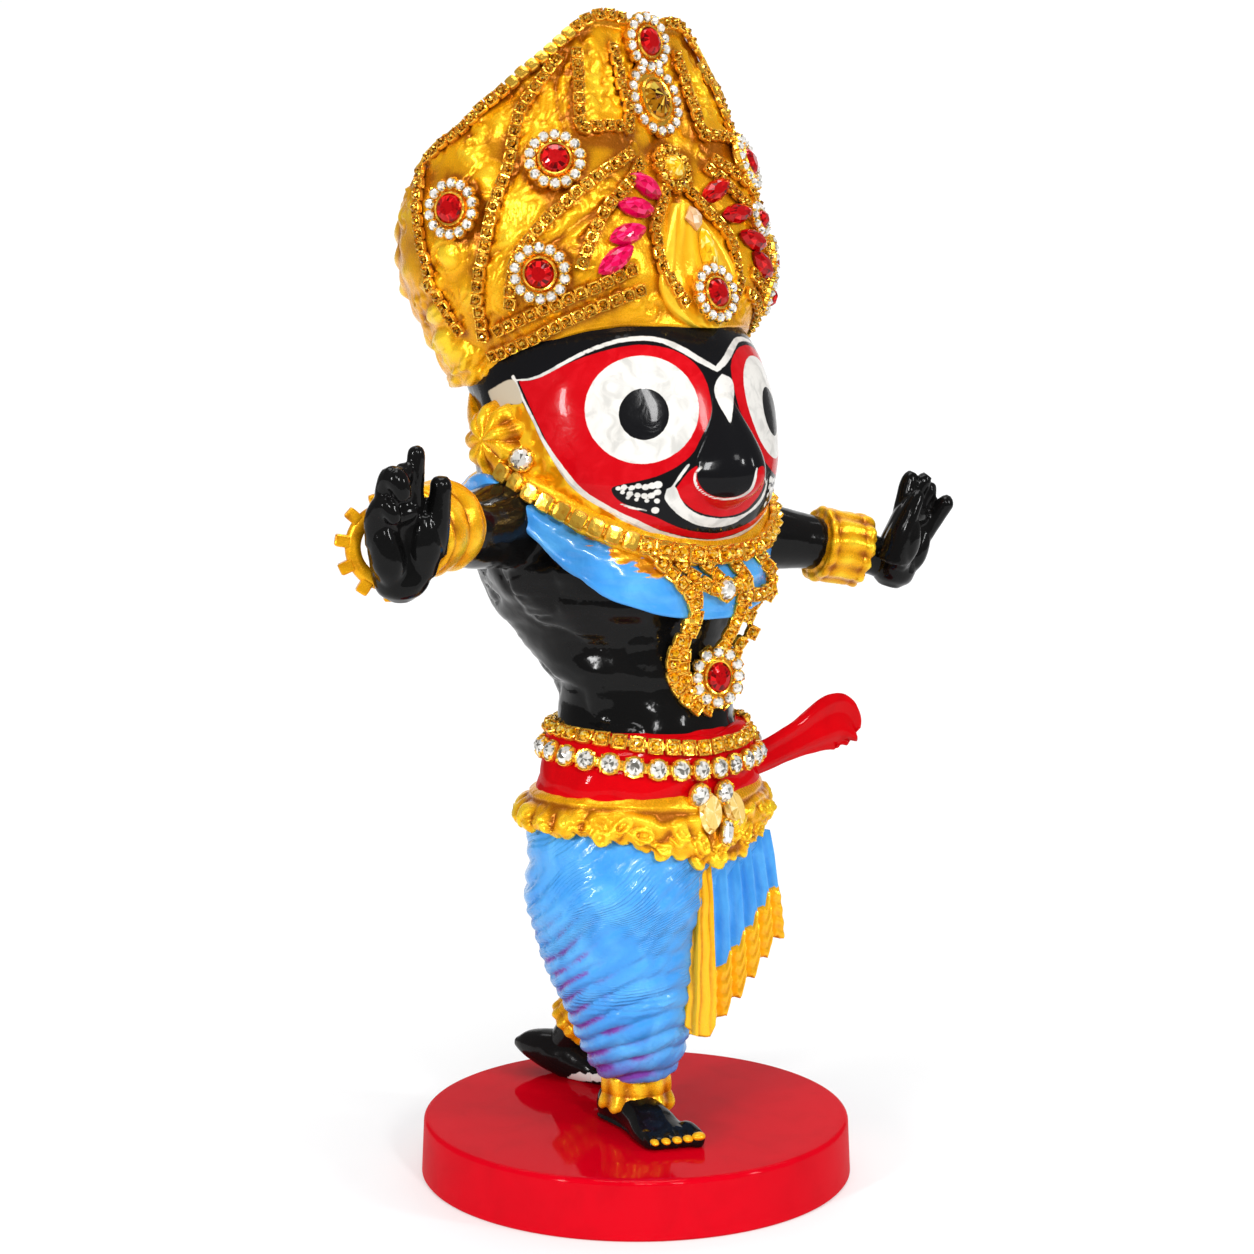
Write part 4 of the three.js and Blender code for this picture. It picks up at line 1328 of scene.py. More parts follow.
    def paint(self, shape: Shape) -> None:
        """Puts the paint's outlines on the face, folded about its middle.

        Args:
            shape: the head.
        """
        straight = self.turned(shape.points, -self.turn)
        folded = straight.copy()
        folded[:, 0] = -np.abs(folded[:, 0])
        own = FACE_VIEW.spots(LENS.photo(self.turned(folded, self.turn)))
        seen = FACE_VIEW.spots(LENS.photo(shape.points))
        near_temple = (shape.points[:, 0] < 0) & (shape.points[:, 1] < 16)
        bare = np.where(near_temple, field_of(seen, *self.BARE_EDGE), -99.0)
        seen = np.where((shape.points[:, 1] < -10)[:, None], seen, -999.0)
        white = [
            spot_of(own, 816, 379, 271, 257),
            stroke(
                own, (222, 238, 8), (290, 232, 11), (360, 205, 14), (450, 155, 16), (560, 100, 18),
                (690, 55, 20), (800, 40, 22), (900, 48, 23), (1000, 88, 27), (1090, 142, 26), (1180, 192, 18),
                (1207, 214, 5),
            ),
            stroke(
                own, (205, 222, 16), (225, 270, 14), (262, 350, 12), (305, 435, 13), (345, 520, 16),
                (395, 602, 22), (450, 682, 30), (500, 742, 28), (560, 792, 26), (640, 840, 26),
                (720, 885, 30), (800, 922, 32), (880, 958, 26), (950, 980, 26), (1030, 1000, 28),
                (1110, 1009, 28), (1200, 1009, 28), (1290, 1000, 26), (1340, 985, 24),
            ),
            stroke(own, (1038, 642, 12), (1002, 690, 15), (962, 748, 8)),
            stroke(
                seen, (1108, 646, 8), (1078, 672, 13), (1068, 712, 14), (1090, 757, 13), (1140, 791, 10),
                (1210, 804, 9), (1280, 793, 10), (1330, 762, 12), (1352, 716, 12), (1363, 655, 7),
            ),
            stroke(own, (712, 825, 5), (770, 845, 12), (838, 857, 7)),
            field_of(seen, *self.CRESCENT_EDGE),
            field_of(seen, *self.TILAK_EDGE),
        ]
        white += [spot_of(own, across, down, size, size * 0.8) for across, down, size in self.SCROLL]
        scale = LENS.PIXEL / FACE_VIEW.zoom
        front = shape.points[:, 1] < 26
        lips = field_of(seen, *self.LIPS_EDGE) * scale
        shape.marks["red"] = np.where(front, np.maximum(field_of(own, *self.FIELD_EDGE) * scale, lips), -1.0)
        shape.marks["dark"] = np.minimum(field_of(own, *self.MOUTH_EDGE) * scale, -lips)
        shape.marks["white"] = np.where(front, np.maximum.reduce(white) * scale, -1.0)
        shape.marks["ink"] = spot_of(own, 826, 400, 119.5, 122.5) * scale
        shape.marks["bare"] = bare * scale
        shape.marks["gilt"] = np.where(front, field_of(own, *self.GILT_EDGE) * scale, -1.0)

    def shape(self) -> Shape:
        """The head, from the neck to under the crown."""
        facing = np.linspace(-self.FACE_REACH, self.FACE_REACH, self.columns)
        beside = np.linspace(self.FACE_REACH, self.CHEEK_REACH, 48)[1:]
        behind = np.linspace(self.CHEEK_REACH, 360 - self.CHEEK_REACH, 32)[1:-1]
        angles = np.concatenate([facing, beside, behind, -beside[::-1]])
        chin, brow = self.FACE_PLACES
        seen = np.linspace(chin, brow, self.rows)
        places = np.concatenate([np.linspace(0, chin, 8)[:-1], seen, np.linspace(brow, 1, 14)[1:]])
        rows, _, _ = HEAD.grid(angles, places)
        made = closed_grid(rows)
        straight = self.turned(made.points, -self.turn)
        straight[:, 1] -= self.nose(straight)
        made.points = self.turned(straight, self.turn)
        made.raised(0.12 * lumps(made.points, 5.0) * (made.points[:, 1] < 20))
        nape = eased(7, 22, made.points[:, 1]) * (1 - eased(148, 157, made.points[:, 2]))
        made.points[:, :2] -= self.nape_draw * nape[:, None] * (made.points[:, :2] - self.AXIS)
        self.paint(made)
        # These lumps also set the gilt's painted shade and painted highlights
        worked = lumps(made.points, 2.2, 61) + 0.6 * lumps(made.points, 1.1, 62)
        made.marks["relief"] = worked
        gilded = eased(0.1, 0.8, made.marks["gilt"]) * eased(0.3, 0.9, -made.marks["red"])
        return made.raised(0.26 * worked * gilded)

    def build(self) -> Shape:
        """Puts the head in the scene and returns its shape."""
        made = self.shape()
        put(made, "head", [FACE])
        return made


@dataclass(frozen=True)
class Ear:
    """A lumpy scalloped gold ear ornament.

    Args:
        side: -1 for the figure's right and 1 for its left.
        radius: half its width.
        scallops: how many lobes its edge has.
        root: how far from the figure's middle it starts, inside the head.
        foot: how far from there its edge is.
        dome: how far its middle stands out from its edge.
        y: how far back its middle is.
        z: its middle's height.
    """

    side: int
    radius: float = 7.2
    scallops: int = 9
    root: float = 25.0
    foot: float = 31.0
    dome: float = 5.6
    y: float = 6.6
    z: float = 142.6

    def shape(self) -> Shape:
        """A domed ornament with scalloped lobes and swirling folds."""
        turn = np.radians(np.arange(0, 360, 2.5))
        levels = np.linspace(0, 1, 44)
        rows, lifts = [], []
        waves = np.abs(np.cos(turn * self.scallops / 2))
        flutes = waves ** 0.6 - 0.6
        drop = 1 + 0.12 * np.clip(-np.sin(turn), 0, 1)
        for level in levels:
            reach = math.cos(level * math.pi / 2) ** 0.62 if level < 1 else 0.01
            size = self.radius * reach * (1 + (0.2 * waves - 0.09) * reach ** 2)
            out = self.foot + self.dome * math.sin(level * math.pi / 2)
            swirl = 0.5 * np.sin(turn * 3 + level * 6) * math.sin(level * math.pi) ** 0.7
            swirl += 0.4 * math.cos(level * 8.0) * (0.3 + 0.7 * np.cos(turn * 2 + 1))
            swirl += 1.1 * flutes * math.sin(level * math.pi) ** 0.6
            lifts.append(swirl)
            x = self.side * (out + swirl * 0.8)
            rows.append(np.stack([x, self.y + size * np.cos(turn), self.z + size * drop * np.sin(turn)], -1))
        base = rows[0].copy()
        base[:, 0] = self.side * self.root
        made = closed_grid(np.array([base, *rows]))
        grain = lumps(made.points, 3.4, 3)
        made.marks["relief"] = 0.3 * grain + 0.8 * np.concatenate([0 * turn, *lifts, [0, 0]])
        return made.raised(0.3 * grain + 0.24 * lumps(made.points, 1.8, 4))

    def build(self) -> None:
        """Puts the ornament in the scene."""
        put(self.shape(), "ear_" + ("right" if self.side < 0 else "left"), [GOLD])


@dataclass(frozen=True)
class Crown:
    """The tall gold crown, carved with bosses, shells and folds, with a leaf on its front.

    Args:
        columns: points round its front.
        rows: rings from its rim to its ridge.
        leaf_half_width: half the leaf's width, in degrees.
        leaf_foot: the leaf's lowest place on the crown.
        leaf_tip: the leaf's highest place on the crown.
        leaf_stand: how far the leaf stands out.
    """

    columns: int = 340
    rows: int = 130
    leaf_half_width: float = 19.0
    leaf_foot: float = -0.005
    leaf_tip: float = 0.42
    leaf_stand: float = 2.6

    FRONT_REACH = 128
    FLOWER_SHADOW = 5.4
    SHADOW_WIDTH = 1.8

    # Carved shapes in the pixels of the crown view, as across, down, size and how high they stand
    BOSSES = (
        (180, 555, 50, 1.1), (75, 975, 58, 1.2), (300, 425, 34, 0.7), (238, 655, 66, 1.0),
        (205, 470, 30, 0.5), (395, 250, 26, 0.4), (75, 900, 40, 0.6), (330, 900, 44, 0.7),
        (130, 800, 40, 0.5),
    )
    # The same with the number of their folds before the height
    SHELLS = (
        (450, 440, 150, 15, 0.8), (385, 900, 170, 17, 0.9), (330, 740, 120, 13, 0.7),
        (525, 905, 110, 13, 0.6), (700, 1010, 120, 15, 0.5), (250, 1120, 130, 13, 0.7),
        (120, 1180, 110, 11, 0.7), (560, 300, 90, 11, 0.5), (820, 260, 90, 11, 0.5),
        (1120, 420, 110, 9, 0.5), (60, 760, 90, 11, 0.5),
    )
    # Brush strokes with their width
    CREASES = (
        ((620, 900, 10), (700, 830, 14), (800, 740, 10)),
        ((470, 960, 12), (580, 860, 16), (720, 760, 12)),
        ((560, 150, 10), (520, 300, 16), (560, 480, 12)),
        ((860, 160, 12), (830, 300, 16), (860, 460, 10)),
    )
    # Knobs at the rear edge, as the bosses
    KNOBS = (
        (125, 1385, 62, 2.0), (165, 1455, 55, 1.8), (222, 1470, 48, 1.6), (105, 1490, 45, 1.6),
        (262, 1425, 36, 1.2), (62, 1320, 48, 1.6), (300, 1380, 34, 0.9), (30, 1210, 46, 1.2),
        (10, 1090, 50, 1.0), (190, 1390, 40, 1.2),
    )

    def relief(self, points: Array, angle: Array, place: Array) -> Array:
        """How far the carving lifts each point.

        Args:
            points: the crown's points.
            angle: each point's angle.
            place: each point's place.

        Returns:
            The lifts.
        """
        folded = points.copy()
        folded[:, 0] = -np.abs(folded[:, 0])
        spots = CROWN_VIEW.spots(LENS.photo(folded))
        pixel = LENS.PIXEL / CROWN_VIEW.zoom
        side = 1 - eased(104, 122, np.abs(angle))
        height = 0.45 * lumps(folded, 6.0, 1) + 0.2 * lumps(folded, 2.8, 2)
        for across, down, size, lift in self.BOSSES:
            away = np.hypot(spots[:, 0] - across, spots[:, 1] - down) / size
            height += side * lift * (np.clip(1 - away ** 2, 0, 1) + 0.4 * bell(away, 1.12, 0.14))
        for across, down, size, folds, lift in self.SHELLS:
            offset = spots - np.array([across, down])
            away = np.hypot(offset[:, 0], offset[:, 1]) / size
            turn = np.arctan2(offset[:, 1], offset[:, 0])
            ridges = np.abs(np.cos(turn * folds / 2 + 1.6 * away)) ** 0.7 - 0.6
            height += side * lift * ridges * np.clip(away * 3, 0, 1) * np.clip(1 - away, 0, 1) ** 0.5
            height += side * 0.5 * lift * np.clip(1 - away ** 2, 0, 1)
        chance = np.random.default_rng(9)
        for _ in range(110):
            middle = CROWN.spot(112 * chance.random(), 0.06 + 0.88 * chance.random())
            middle[0] = -abs(middle[0])
            size = 2.2 + 2.2 * chance.random()
            offset = folded - middle
            away = np.linalg.norm(offset, axis=1) / size
            turn = np.arctan2(offset[:, 2], offset[:, 0] - offset[:, 1])
            swirl = np.cos(2 * turn + 6.5 * away + 6 * chance.random())
            height += 0.3 * swirl * np.clip(1 - away ** 2, 0, 1) * np.clip(3 * away, 0, 1)
        for crease in self.CREASES:
            depth = stroke(spots, *crease) * pixel
            height -= side * 0.7 * eased(-0.8, 0.6, depth)
        back = eased(100, 125, np.abs(angle))
        ribs = np.abs(np.sin(np.radians(7.5 * angle)))
        knuckles = np.cos(place * 52 + 2 * ribs) * ribs
        height += back * (1.1 * (ribs - 0.5) + 0.5 * lumps(points, 4.0, 5) + 0.55 * knuckles)
        for across, down, size, lift in self.KNOBS:
            away = np.hypot(spots[:, 0] - across, spots[:, 1] - down) / size
            height += lift * np.sqrt(np.clip(1 - away ** 2, 0, 1)) * (np.abs(angle) < 125)
        lobes = eased(112, 122, np.abs(angle)) * (1 - eased(0.13, 0.2, place))
        height += lobes * (1.8 * np.abs(np.sin(np.radians(11 * angle))) ** 0.6 - 0.5)
        height -= 2.2 * (1 - np.clip(place / 0.035, 0, 1)) ** 2 * eased(60, 80, np.abs(angle))
        height += 0.9 * eased(0.945, 0.965, place) * (1 - eased(0.985, 1.0, place)) * (1 - 0.4 * back)
        return height

    def lid(self, edge: Array) -> Array:
        """The rings of the dished top inside the crown's edge.

        Args:
            edge: the crown's uppermost ring.

        Returns:
            The rings, as rings by points by three.
        """
        middle = edge.mean(axis=0)
        fall = np.polynomial.Polynomial.fit(edge[:, 1], edge[:, 2], 2)
        rings = []
        for share in (0.93, 0.84, 0.7, 0.52, 0.34, 0.16):
            ring = middle + (edge - middle) * share
            blend = ((share - 0.16) / 0.84) ** 2
            ring[:, 2] = blend * edge[:, 2] + (1 - blend) * fall(ring[:, 1]) - 1.2 * (1 - share ** 4)
            rings.append(ring)
        return np.array(rings)

    def shape(self) -> Shape:
        """The crown's body."""
        facing = np.linspace(-self.FRONT_REACH, self.FRONT_REACH, self.columns)
        behind = np.linspace(self.FRONT_REACH, 360 - self.FRONT_REACH, 82)[1:-1]
        rows, angle, place = CROWN.grid(np.concatenate([facing, behind]), np.linspace(0, 1, self.rows))
        inner = rows[0] * np.array([0.9, 0.9, 1]) + np.array([0, 1.5, -1.5])
        lid = self.lid(rows[-1])
        made = closed_grid(np.concatenate([inner[None], rows, lid]))
        turned = (np.concatenate([angle[:1], angle, angle[-len(lid):]]).ravel() + 180) % 360 - 180
        spread = np.concatenate([place[:1], place, np.ones_like(place[-len(lid):])]).ravel()
        body = made.points[:-2]
        height = np.concatenate([self.relief(body, turned, spread), np.zeros(2)])
        lid_points = np.arange(len(height)) >= len(height) - 2 - lid.shape[0] * lid.shape[1]
        height = np.where(lid_points, 0.3 * lumps(made.points, 5.0, 54), height)
        # The relief mark sets the gold's painted shade and highlights: lighter in the panel, flatter low on
        # the sides, and darkened by painted shadow beside the chains and flowers
        panel = bell(np.abs(turned), 36, 9, 6) * bell(spread, 0.73, 0.12, 6)
        rim = eased(60, 84, np.abs(turned)) * (1 - eased(0.08, 0.26, spread))
        rim, panel = (np.append(share, [0, 0]) for share in (rim, panel))
        shadows = self.shadows(made.points)
        made.marks["relief"] = 0.95 * height * (1 - 0.8 * rim) + 0.5 * panel - 0.95 * shadows
        return made.raised(height)

    def shadows(self, points: Array) -> Array:
        """How much painted shadow darkens the gold beside the glued chains and flowers.

        Args:
            points: the crown's points.

        Returns:
            Each point's share, from 0 to 1.
        """
        lines = []
        for sign in (1, -1):
            for _, route in CrownTrims.CHAINS:
                turns, places = np.array(route, float).T
                share = np.linspace(0, 1, 90)
                lines.append(CROWN.at(sign * through(turns, share), through(places, share)))
            for angle, place in CrownTrims.FLOWERS:
                middle = CROWN.spot(sign * angle, place)
                lines.append(points[np.linalg.norm(points - middle, axis=1) < self.FLOWER_SHADOW])
        spots = np.concatenate(lines)
        tree = KDTree(len(spots))
        for index, spot in enumerate(spots):
            tree.insert(spot, index)
        tree.balance()
        away = np.array([tree.find(point)[2] for point in points])
        return bell(away, 0.0, self.SHADOW_WIDTH)

    def leaf_point(self, across: Array, along: Array, stand: Array) -> Array:
        """The points of the leaf, from side to side and from foot to tip, that far off the crown."""
        width = np.sin(math.pi * (0.06 + 0.9 * along ** 0.8)) ** 0.75
        place = self.leaf_foot + (self.leaf_tip - self.leaf_foot) * along
        points = CROWN.at(across * self.leaf_half_width * width, np.maximum(place, 0))
        below = np.minimum(place, 0)
        points[..., 2] += below * 60
        points[..., 1] -= stand * (1 - 0.35 * across ** 2)
        return points

    def leaf(self) -> Shape:
        """The leaf on the crown's front."""
        turns, alongs = np.meshgrid(full_turn(110), np.linspace(0, 1, 90))
        across = np.cos(turns)
        proud = np.sin(turns) > 0
        stand = np.where(proud, self.leaf_stand * np.clip(np.sin(turns), 0, 1) ** 0.4, -2.0)
        veins = np.sin(across * 15 + 8 * alongs + 2 * np.sin(alongs * 7)) * bell(np.abs(across), 0.45, 0.3)
        rim = eased(0.76, 0.86, np.abs(across))
        lift = np.where(proud, 0.16 * veins * (1 - rim) + 0.5 * rim + 0.35 * (1 - across ** 2), 0.0)
        rows = self.leaf_point(across, alongs, stand + lift)
        made = closed_grid(rows)
        made.marks["relief"] = np.append(lift * 1.1, [0, 0])
        return made

    def build(self) -> tuple[Shape, Shape]:
        """Puts the crown in the scene.

        Returns:
            The crown's body and leaf, to seat the stones on.
        """
        body, leaf = self.shape(), self.leaf()
        put(body, "crown", [GOLD])
        put(leaf, "crown_leaf", [BRIGHT_GOLD])
        return body, leaf


@dataclass(frozen=True)
class Hand:
    """A raised hand with curled fingers.

    Args:
        side: -1 for the figure's right and 1 for its left.
        wrist: where it starts.
        digits: each digit's stations, as how far towards the thumb, the palm and the tips, and a radius.
    """

    side: int
    wrist: tuple[float, float, float]
    digits: tuple[tuple[tuple[float, ...], ...], ...]

    # The flat of the hand and the ridges round its hollow, as the digits, with how flat they are
    PAD = (
        (-2, -1, -3.8, 2.2, 0), (-1.6, -0.9, -1.5, 4.8, -0.05), (-0.6, -0.4, 3, 6.2, -0.2),
        (0, 0, 8, 6.8, -0.36), (0, 0, 12.5, 6.3, -0.5), (0, 0, 15.5, 4.6, -0.6),
    )
    PALM = (
        ((2.4, 1.0, 0.5, 2.4), (3.3, 2.0, 5.5, 3.3), (3.9, 2.2, 9.5, 2.6), (4.4, 2.0, 12, 1.6)),
        ((-3.2, 0.6, 0.5, 2.4), (-3.9, 1.7, 5, 3.1), (-4.1, 1.6, 9.5, 2.7), (-3.8, 1.4, 12.5, 1.6)),
        ((-3.4, 1.4, 12.4, 1.6), (-1, 1.7, 13.3, 1.9), (1.6, 1.5, 13.2, 1.9), (3, 1.2, 12.8, 1.4)),
    )

    def shapes(self) -> list[Shape]:
        """The palm and the digits, which overlap."""
        along = unit(np.array([self.side * 0.3, -0.12, 0.95]))
        palm = unit(np.array([self.side * 0.35, -1, 0.1]))
        thumbwards = unit(np.cross(palm, along))
        if thumbwards[0] * self.side > 0:
            thumbwards = -thumbwards
        out = unit(np.cross(thumbwards, along))
        if out[1] > 0:
            out = -out

        def station(to_thumb: float, to_palm: float, up: float, radius: float, flat: float = 0.0) -> Station:
            """The station at a place in the hand's own directions."""
            x, y, z = np.array(self.wrist) + to_thumb * thumbwards + to_palm * out + up * along
            return Station(x, y, z, radius, flat)

        rows = [self.PAD, *self.PALM, *self.digits]
        parts = [limb([station(*row) for row in part], out, 28, 20) for part in rows]
        bowl = np.array(self.wrist) + 0.4 * thumbwards + 4.6 * out + 7.2 * along
        away = np.linalg.norm((parts[0].points - bowl) * np.array([1, 1, 0.85]), axis=1)
        parts[0].points -= out * (1.8 * np.clip(1 - (away / 6.4) ** 2, 0, 1))[:, None]
        return parts

    def build(self) -> None:
        """Puts the hand in the scene."""
        made = fused(self.shapes(), 0.42, 2)
        made = made.raised(0.09 * lumps(made.points, 2.2, 51))
        put(made, "hand_" + ("right" if self.side < 0 else "left"), [BLACK_SKIN])


@dataclass(frozen=True)
class Body:
    """The black chest, belly and arms, with the two hands."""

    RIGHT_ARM = stations(
        (-22, 6, 126, 9), (-33, 4.4, 126, 8.8), (-44, 1.2, 125.6, 7.6), (-56, -2.4, 127, 6.4),
        (-67.5, -7, 124.6, 5), (-71, -9, 119.5, 4.2),
    )
    LEFT_ARM = stations(
        (22, 6, 122, 9), (33, 4.4, 121, 8.4), (44, 1, 119.4, 7), (55, -2.6, 117.6, 6), (66, -8, 115, 4.8),
        (69.6, -10.6, 112.4, 4),
    )
    right_hand: Hand = Hand(-1, (-70.4, -11, 118.5), (
        (
            (5.0, 1, 4, 2.8), (6.4, 1.9, 9, 2.5), (7.8, 2.2, 14, 2.1), (8.5, 2.2, 17, 1.9),
            (8.7, 2.2, 18.2, 1.1),
        ),
        (
            (2.4, 0, 9, 2.3), (3.7, 0.5, 16, 1.9), (4.9, 0.6, 21, 1.7), (5.5, 0.5, 23.6, 1.5),
            (5.6, 0.5, 24.6, 0.8),
        ),
        ((0.4, 0, 10, 2.3), (1.1, 0.7, 17, 2), (2, 1.4, 20.6, 1.8), (2.1, 2, 22, 1.3)),
        (
            (-2.2, 0.2, 9, 2.5), (-1.9, 1.0, 16.5, 2.3), (-0.9, 2.8, 21, 2.3), (-0.4, 4.4, 20, 2.1),
            (-0.2, 5, 17, 1.5),
        ),
        (
            (-4.7, 0.2, 8.5, 2.5), (-4.4, 1, 13.6, 2.3), (-3.3, 2.8, 16.4, 2.1), (-2.6, 4.2, 15, 1.7),
            (-2.4, 4.4, 13, 1.1),
        ),
    ))
    left_hand: Hand = Hand(1, (69.6, -12.4, 111.5), (
        ((4, 0.6, 1.5, 3.8), (5.4, 1.2, 7, 3), (5.2, 1.6, 12, 2.3), (4.4, 1.8, 16, 1.9), (4, 2, 18, 1.2)),
        ((2.4, -0.6, 10, 2.4), (2.4, -1.6, 16, 2), (2.2, -1.9, 20, 1.8), (2, -1.6, 22, 1.1)),
        ((-0.2, -0.4, 10, 2.4), (-0.4, -0.6, 17, 2), (-0.6, 0.2, 21, 1.8), (-0.6, 0.9, 22.6, 1.1)),
        ((-2.6, 0, 10, 2.4), (-3, 0.4, 16, 2), (-3, 1.6, 19.6, 1.8), (-3, 2.6, 20, 1.2)),
        (
            (-4.6, 1.4, 8, 2.6), (-5, 3, 12.6, 2.3), (-4.8, 4.6, 16.4, 2), (-4.4, 5.8, 18.4, 1.7),
            (-4.2, 6.4, 19, 0.9),
        ),
    ))

    def shape(self) -> Shape:
        """One skin over the trunk and the arms, with folds at the belly."""
        rows, _, _ = TORSO.grid(np.arange(0, 360, 3.0), np.linspace(0, 1, 60))
        arms = [limb(arm, sides=40, rows=40) for arm in (self.RIGHT_ARM, self.LEFT_ARM)]
        made = fused([closed_grid(rows), *arms], 0.86, 3)
        x, y, z = made.points.T
        trunk = (1 - eased(30, 38, np.abs(x))) * (1 - eased(116, 124, z)) * eased(80, 87, z)
        folds = lumps(made.points, 9.0, 8, (0.8, 0.8, 2.1))
        wrinkles = lumps(made.points, 5.0, 17, (0.7, 0.7, 2.6))
        side = eased(8, 20, -x)
        creases = (1 - np.abs(lumps(made.points, 8.0, 27, (0.8, 0.8, 2.2)))) ** 7
        chest = bell(z + 0.12 * x, 109, 5.0) * (y < 4)
        height = 0.2 * lumps(made.points, 6.0, 18) + trunk * (0.75 * chest + (0.45 + 0.8 * side) * folds)
        return made.raised(height + trunk * (0.28 * np.abs(wrinkles) - 0.7 * (0.3 + 0.7 * side) * creases))

    def build(self) -> Shape:
        """Puts the body in the scene and returns its shape."""
        made = self.shape()
        put(made, "body", [BLACK_SKIN])
        self.right_hand.build()
        self.left_hand.build()
        return made


@dataclass(frozen=True)
class Band:
    """A painted band that follows a skin all the way round.

    Args:
        name: the piece's name.
        skin: the skin that it follows.
        finish: its finish.
        carve: its relief in millimetres at points, angles and places.
        marks: extra marks at points, angles and places.
        columns: points round it.
        rows: rings up it.
        shade: how much lighter than its relief its gold is.
    """

    name: str
    skin: Skin
    finish: Finish
    carve: Callable[[Array, Array, Array], Array]
    marks: dict[str, Callable[[Array, Array, Array], Array]] = field(default_factory=dict)
    columns: int = 360
    rows: int = 28
    shade: float = 0.0

    def shape(self) -> Shape:
        """The band."""
        rows, angle, place = self.skin.grid(
            np.linspace(-180, 180, self.columns, endpoint=False), np.linspace(0, 1, self.rows),
        )
        made = closed_grid(rows)
        points, angles, places = made.points[:-2], angle.ravel(), place.ravel()
        height = np.append(self.carve(points, angles, places), [0, 0])
        made.marks["relief"] = height * 1.2 + self.shade
        for label, values in self.marks.items():
            made.marks[label] = np.append(values(points, angles, places), [0, 0])
        return made.raised(height)

    def build(self) -> Shape:
        """Puts the band in the scene and returns its shape."""
        made = self.shape()
        put(made, self.name, [self.finish])
        return made


class DrapedSkin(RingSkin):
    """The collar's skin, which rises over both shoulders."""

    def at(self, angle: Array, place: Array) -> Array:
        """The points at those angles and places."""
        angle, place = matched(angle, place)
        points = super().at(angle, place)
        shoulder = bell(np.abs(angle), 84, 24)
        points[..., 2] += shoulder * (9.0 * (1 - place) + 1.6)
        points[..., 0] *= 1 + 0.17 * shoulder * (1 - 0.7 * place)
        back = eased(92, 140, np.abs((angle + 180) % 360 - 180))
        points[..., 1] += 4.6 * back
        points[..., 2] -= 12.0 * back
        return points


DRAPED_COLLAR = DrapedSkin(
    Ring(122.6, 4.2, 31, 31, 30), Ring(124.6, 4.2, 33.6, 32.8, 31), Ring(128, 4.4, 33.8, 33, 30),
    Ring(131.5, 4.6, 33.2, 33.2, 29), Ring(134, 4.8, 31, 31, 27),
)


def collar_band() -> Band:
    """The blue cloth round the shoulders, with a gold piped lower edge."""
    def carve(points: Array, angle: Array, place: Array) -> Array:
        """Long soft folds and a rolled lower edge."""
        folds = 0.22 * np.sin(place * 13 + 0.8 * np.sin(np.radians(angle * 3)))
        roll = 0.5 * bell(place, 0.16, 0.06)
        creases = lumps(points, 2.4, 63, (0.6, 0.6, 1.8))
        return folds + roll + 0.2 * lumps(points, 4.0, 6) + 0.22 * creases

    def trim(points: Array, angle: Array, place: Array) -> Array:
        """Gold along the upper edge, and a smear of brushed gold."""
        smear = 0.7 - np.hypot((angle - 36) / 26, (place - 0.86 - 0.005 * (angle - 38)) / 0.17)
        streaks = 0.4 * lumps(points, 1.1, 10, (0.5, 0.5, 2.6)) + 0.3 * lumps(points, 2.6, 11)
        return np.maximum(smear * 0.6 + streaks, (place - 0.93) * 4)

    return Band("collar_cloth", DRAPED_COLLAR, BLUE, carve, {"trim": trim}, 360, 42)


def neck_trim() -> Band:
    """The gold band under the chin, a little uneven."""
    def carve(points: Array, angle: Array, place: Array) -> Array:
        """Worked lumps."""
        return 0.3 * lumps(points, 3.2, 12) + 0.14 * lumps(points, 1.4, 13)

    return Band("neck_band", NECK_BAND, GOLD, carve, columns=300, rows=24, shade=0.3)


def waist_sash() -> Band:
    """The red sash round the waist, in long folds."""
    def carve(points: Array, angle: Array, place: Array) -> Array:
        """Folds that run round the waist."""
        wave = np.sin(place * 11 + 0.9 * np.sin(np.radians(angle * 2)) + 0.9 * lumps(points, 8.0, 14))
        return 0.55 * np.abs(wave) ** 0.7 - 0.3 + 0.16 * lumps(points, 4.0, 15)

    return Band("sash", SASH, RED_CLOTH, carve, columns=280, rows=44)


class HipSkin(RingSkin):
    """The hip cloth's skin, with its front flap."""

    def at(self, angle: Array, place: Array) -> Array:
        """The points at those angles and places."""
        angle, place = matched(angle, place)
        points = super().at(angle, place)
        front = bell((angle + 180) % 360, 182, 38)
        points[..., 2] += (6.2 - 8.4 * front) * (1 - place)
        points[..., 1] -= 0.8 * front * (1 - place)
        scallops = 0.7 * np.cos(np.radians(angle * 16)) + 0.5 * np.cos(np.radians(angle * 41))
        points[..., 2] += (1 - place) ** 2 * (scallops + 0.3 * np.sin(angle))
        return points


HIP_SKIN = HipSkin(
    Ring(59, -2.6, 27.6, 20.7), Ring(60.4, -2.6, 30, 22.4), Ring(64, -2.6, 29.8, 22.2),
    Ring(69, -3.2, 27.4, 20.7), Ring(72, -3.6, 25.4, 18.6),
)


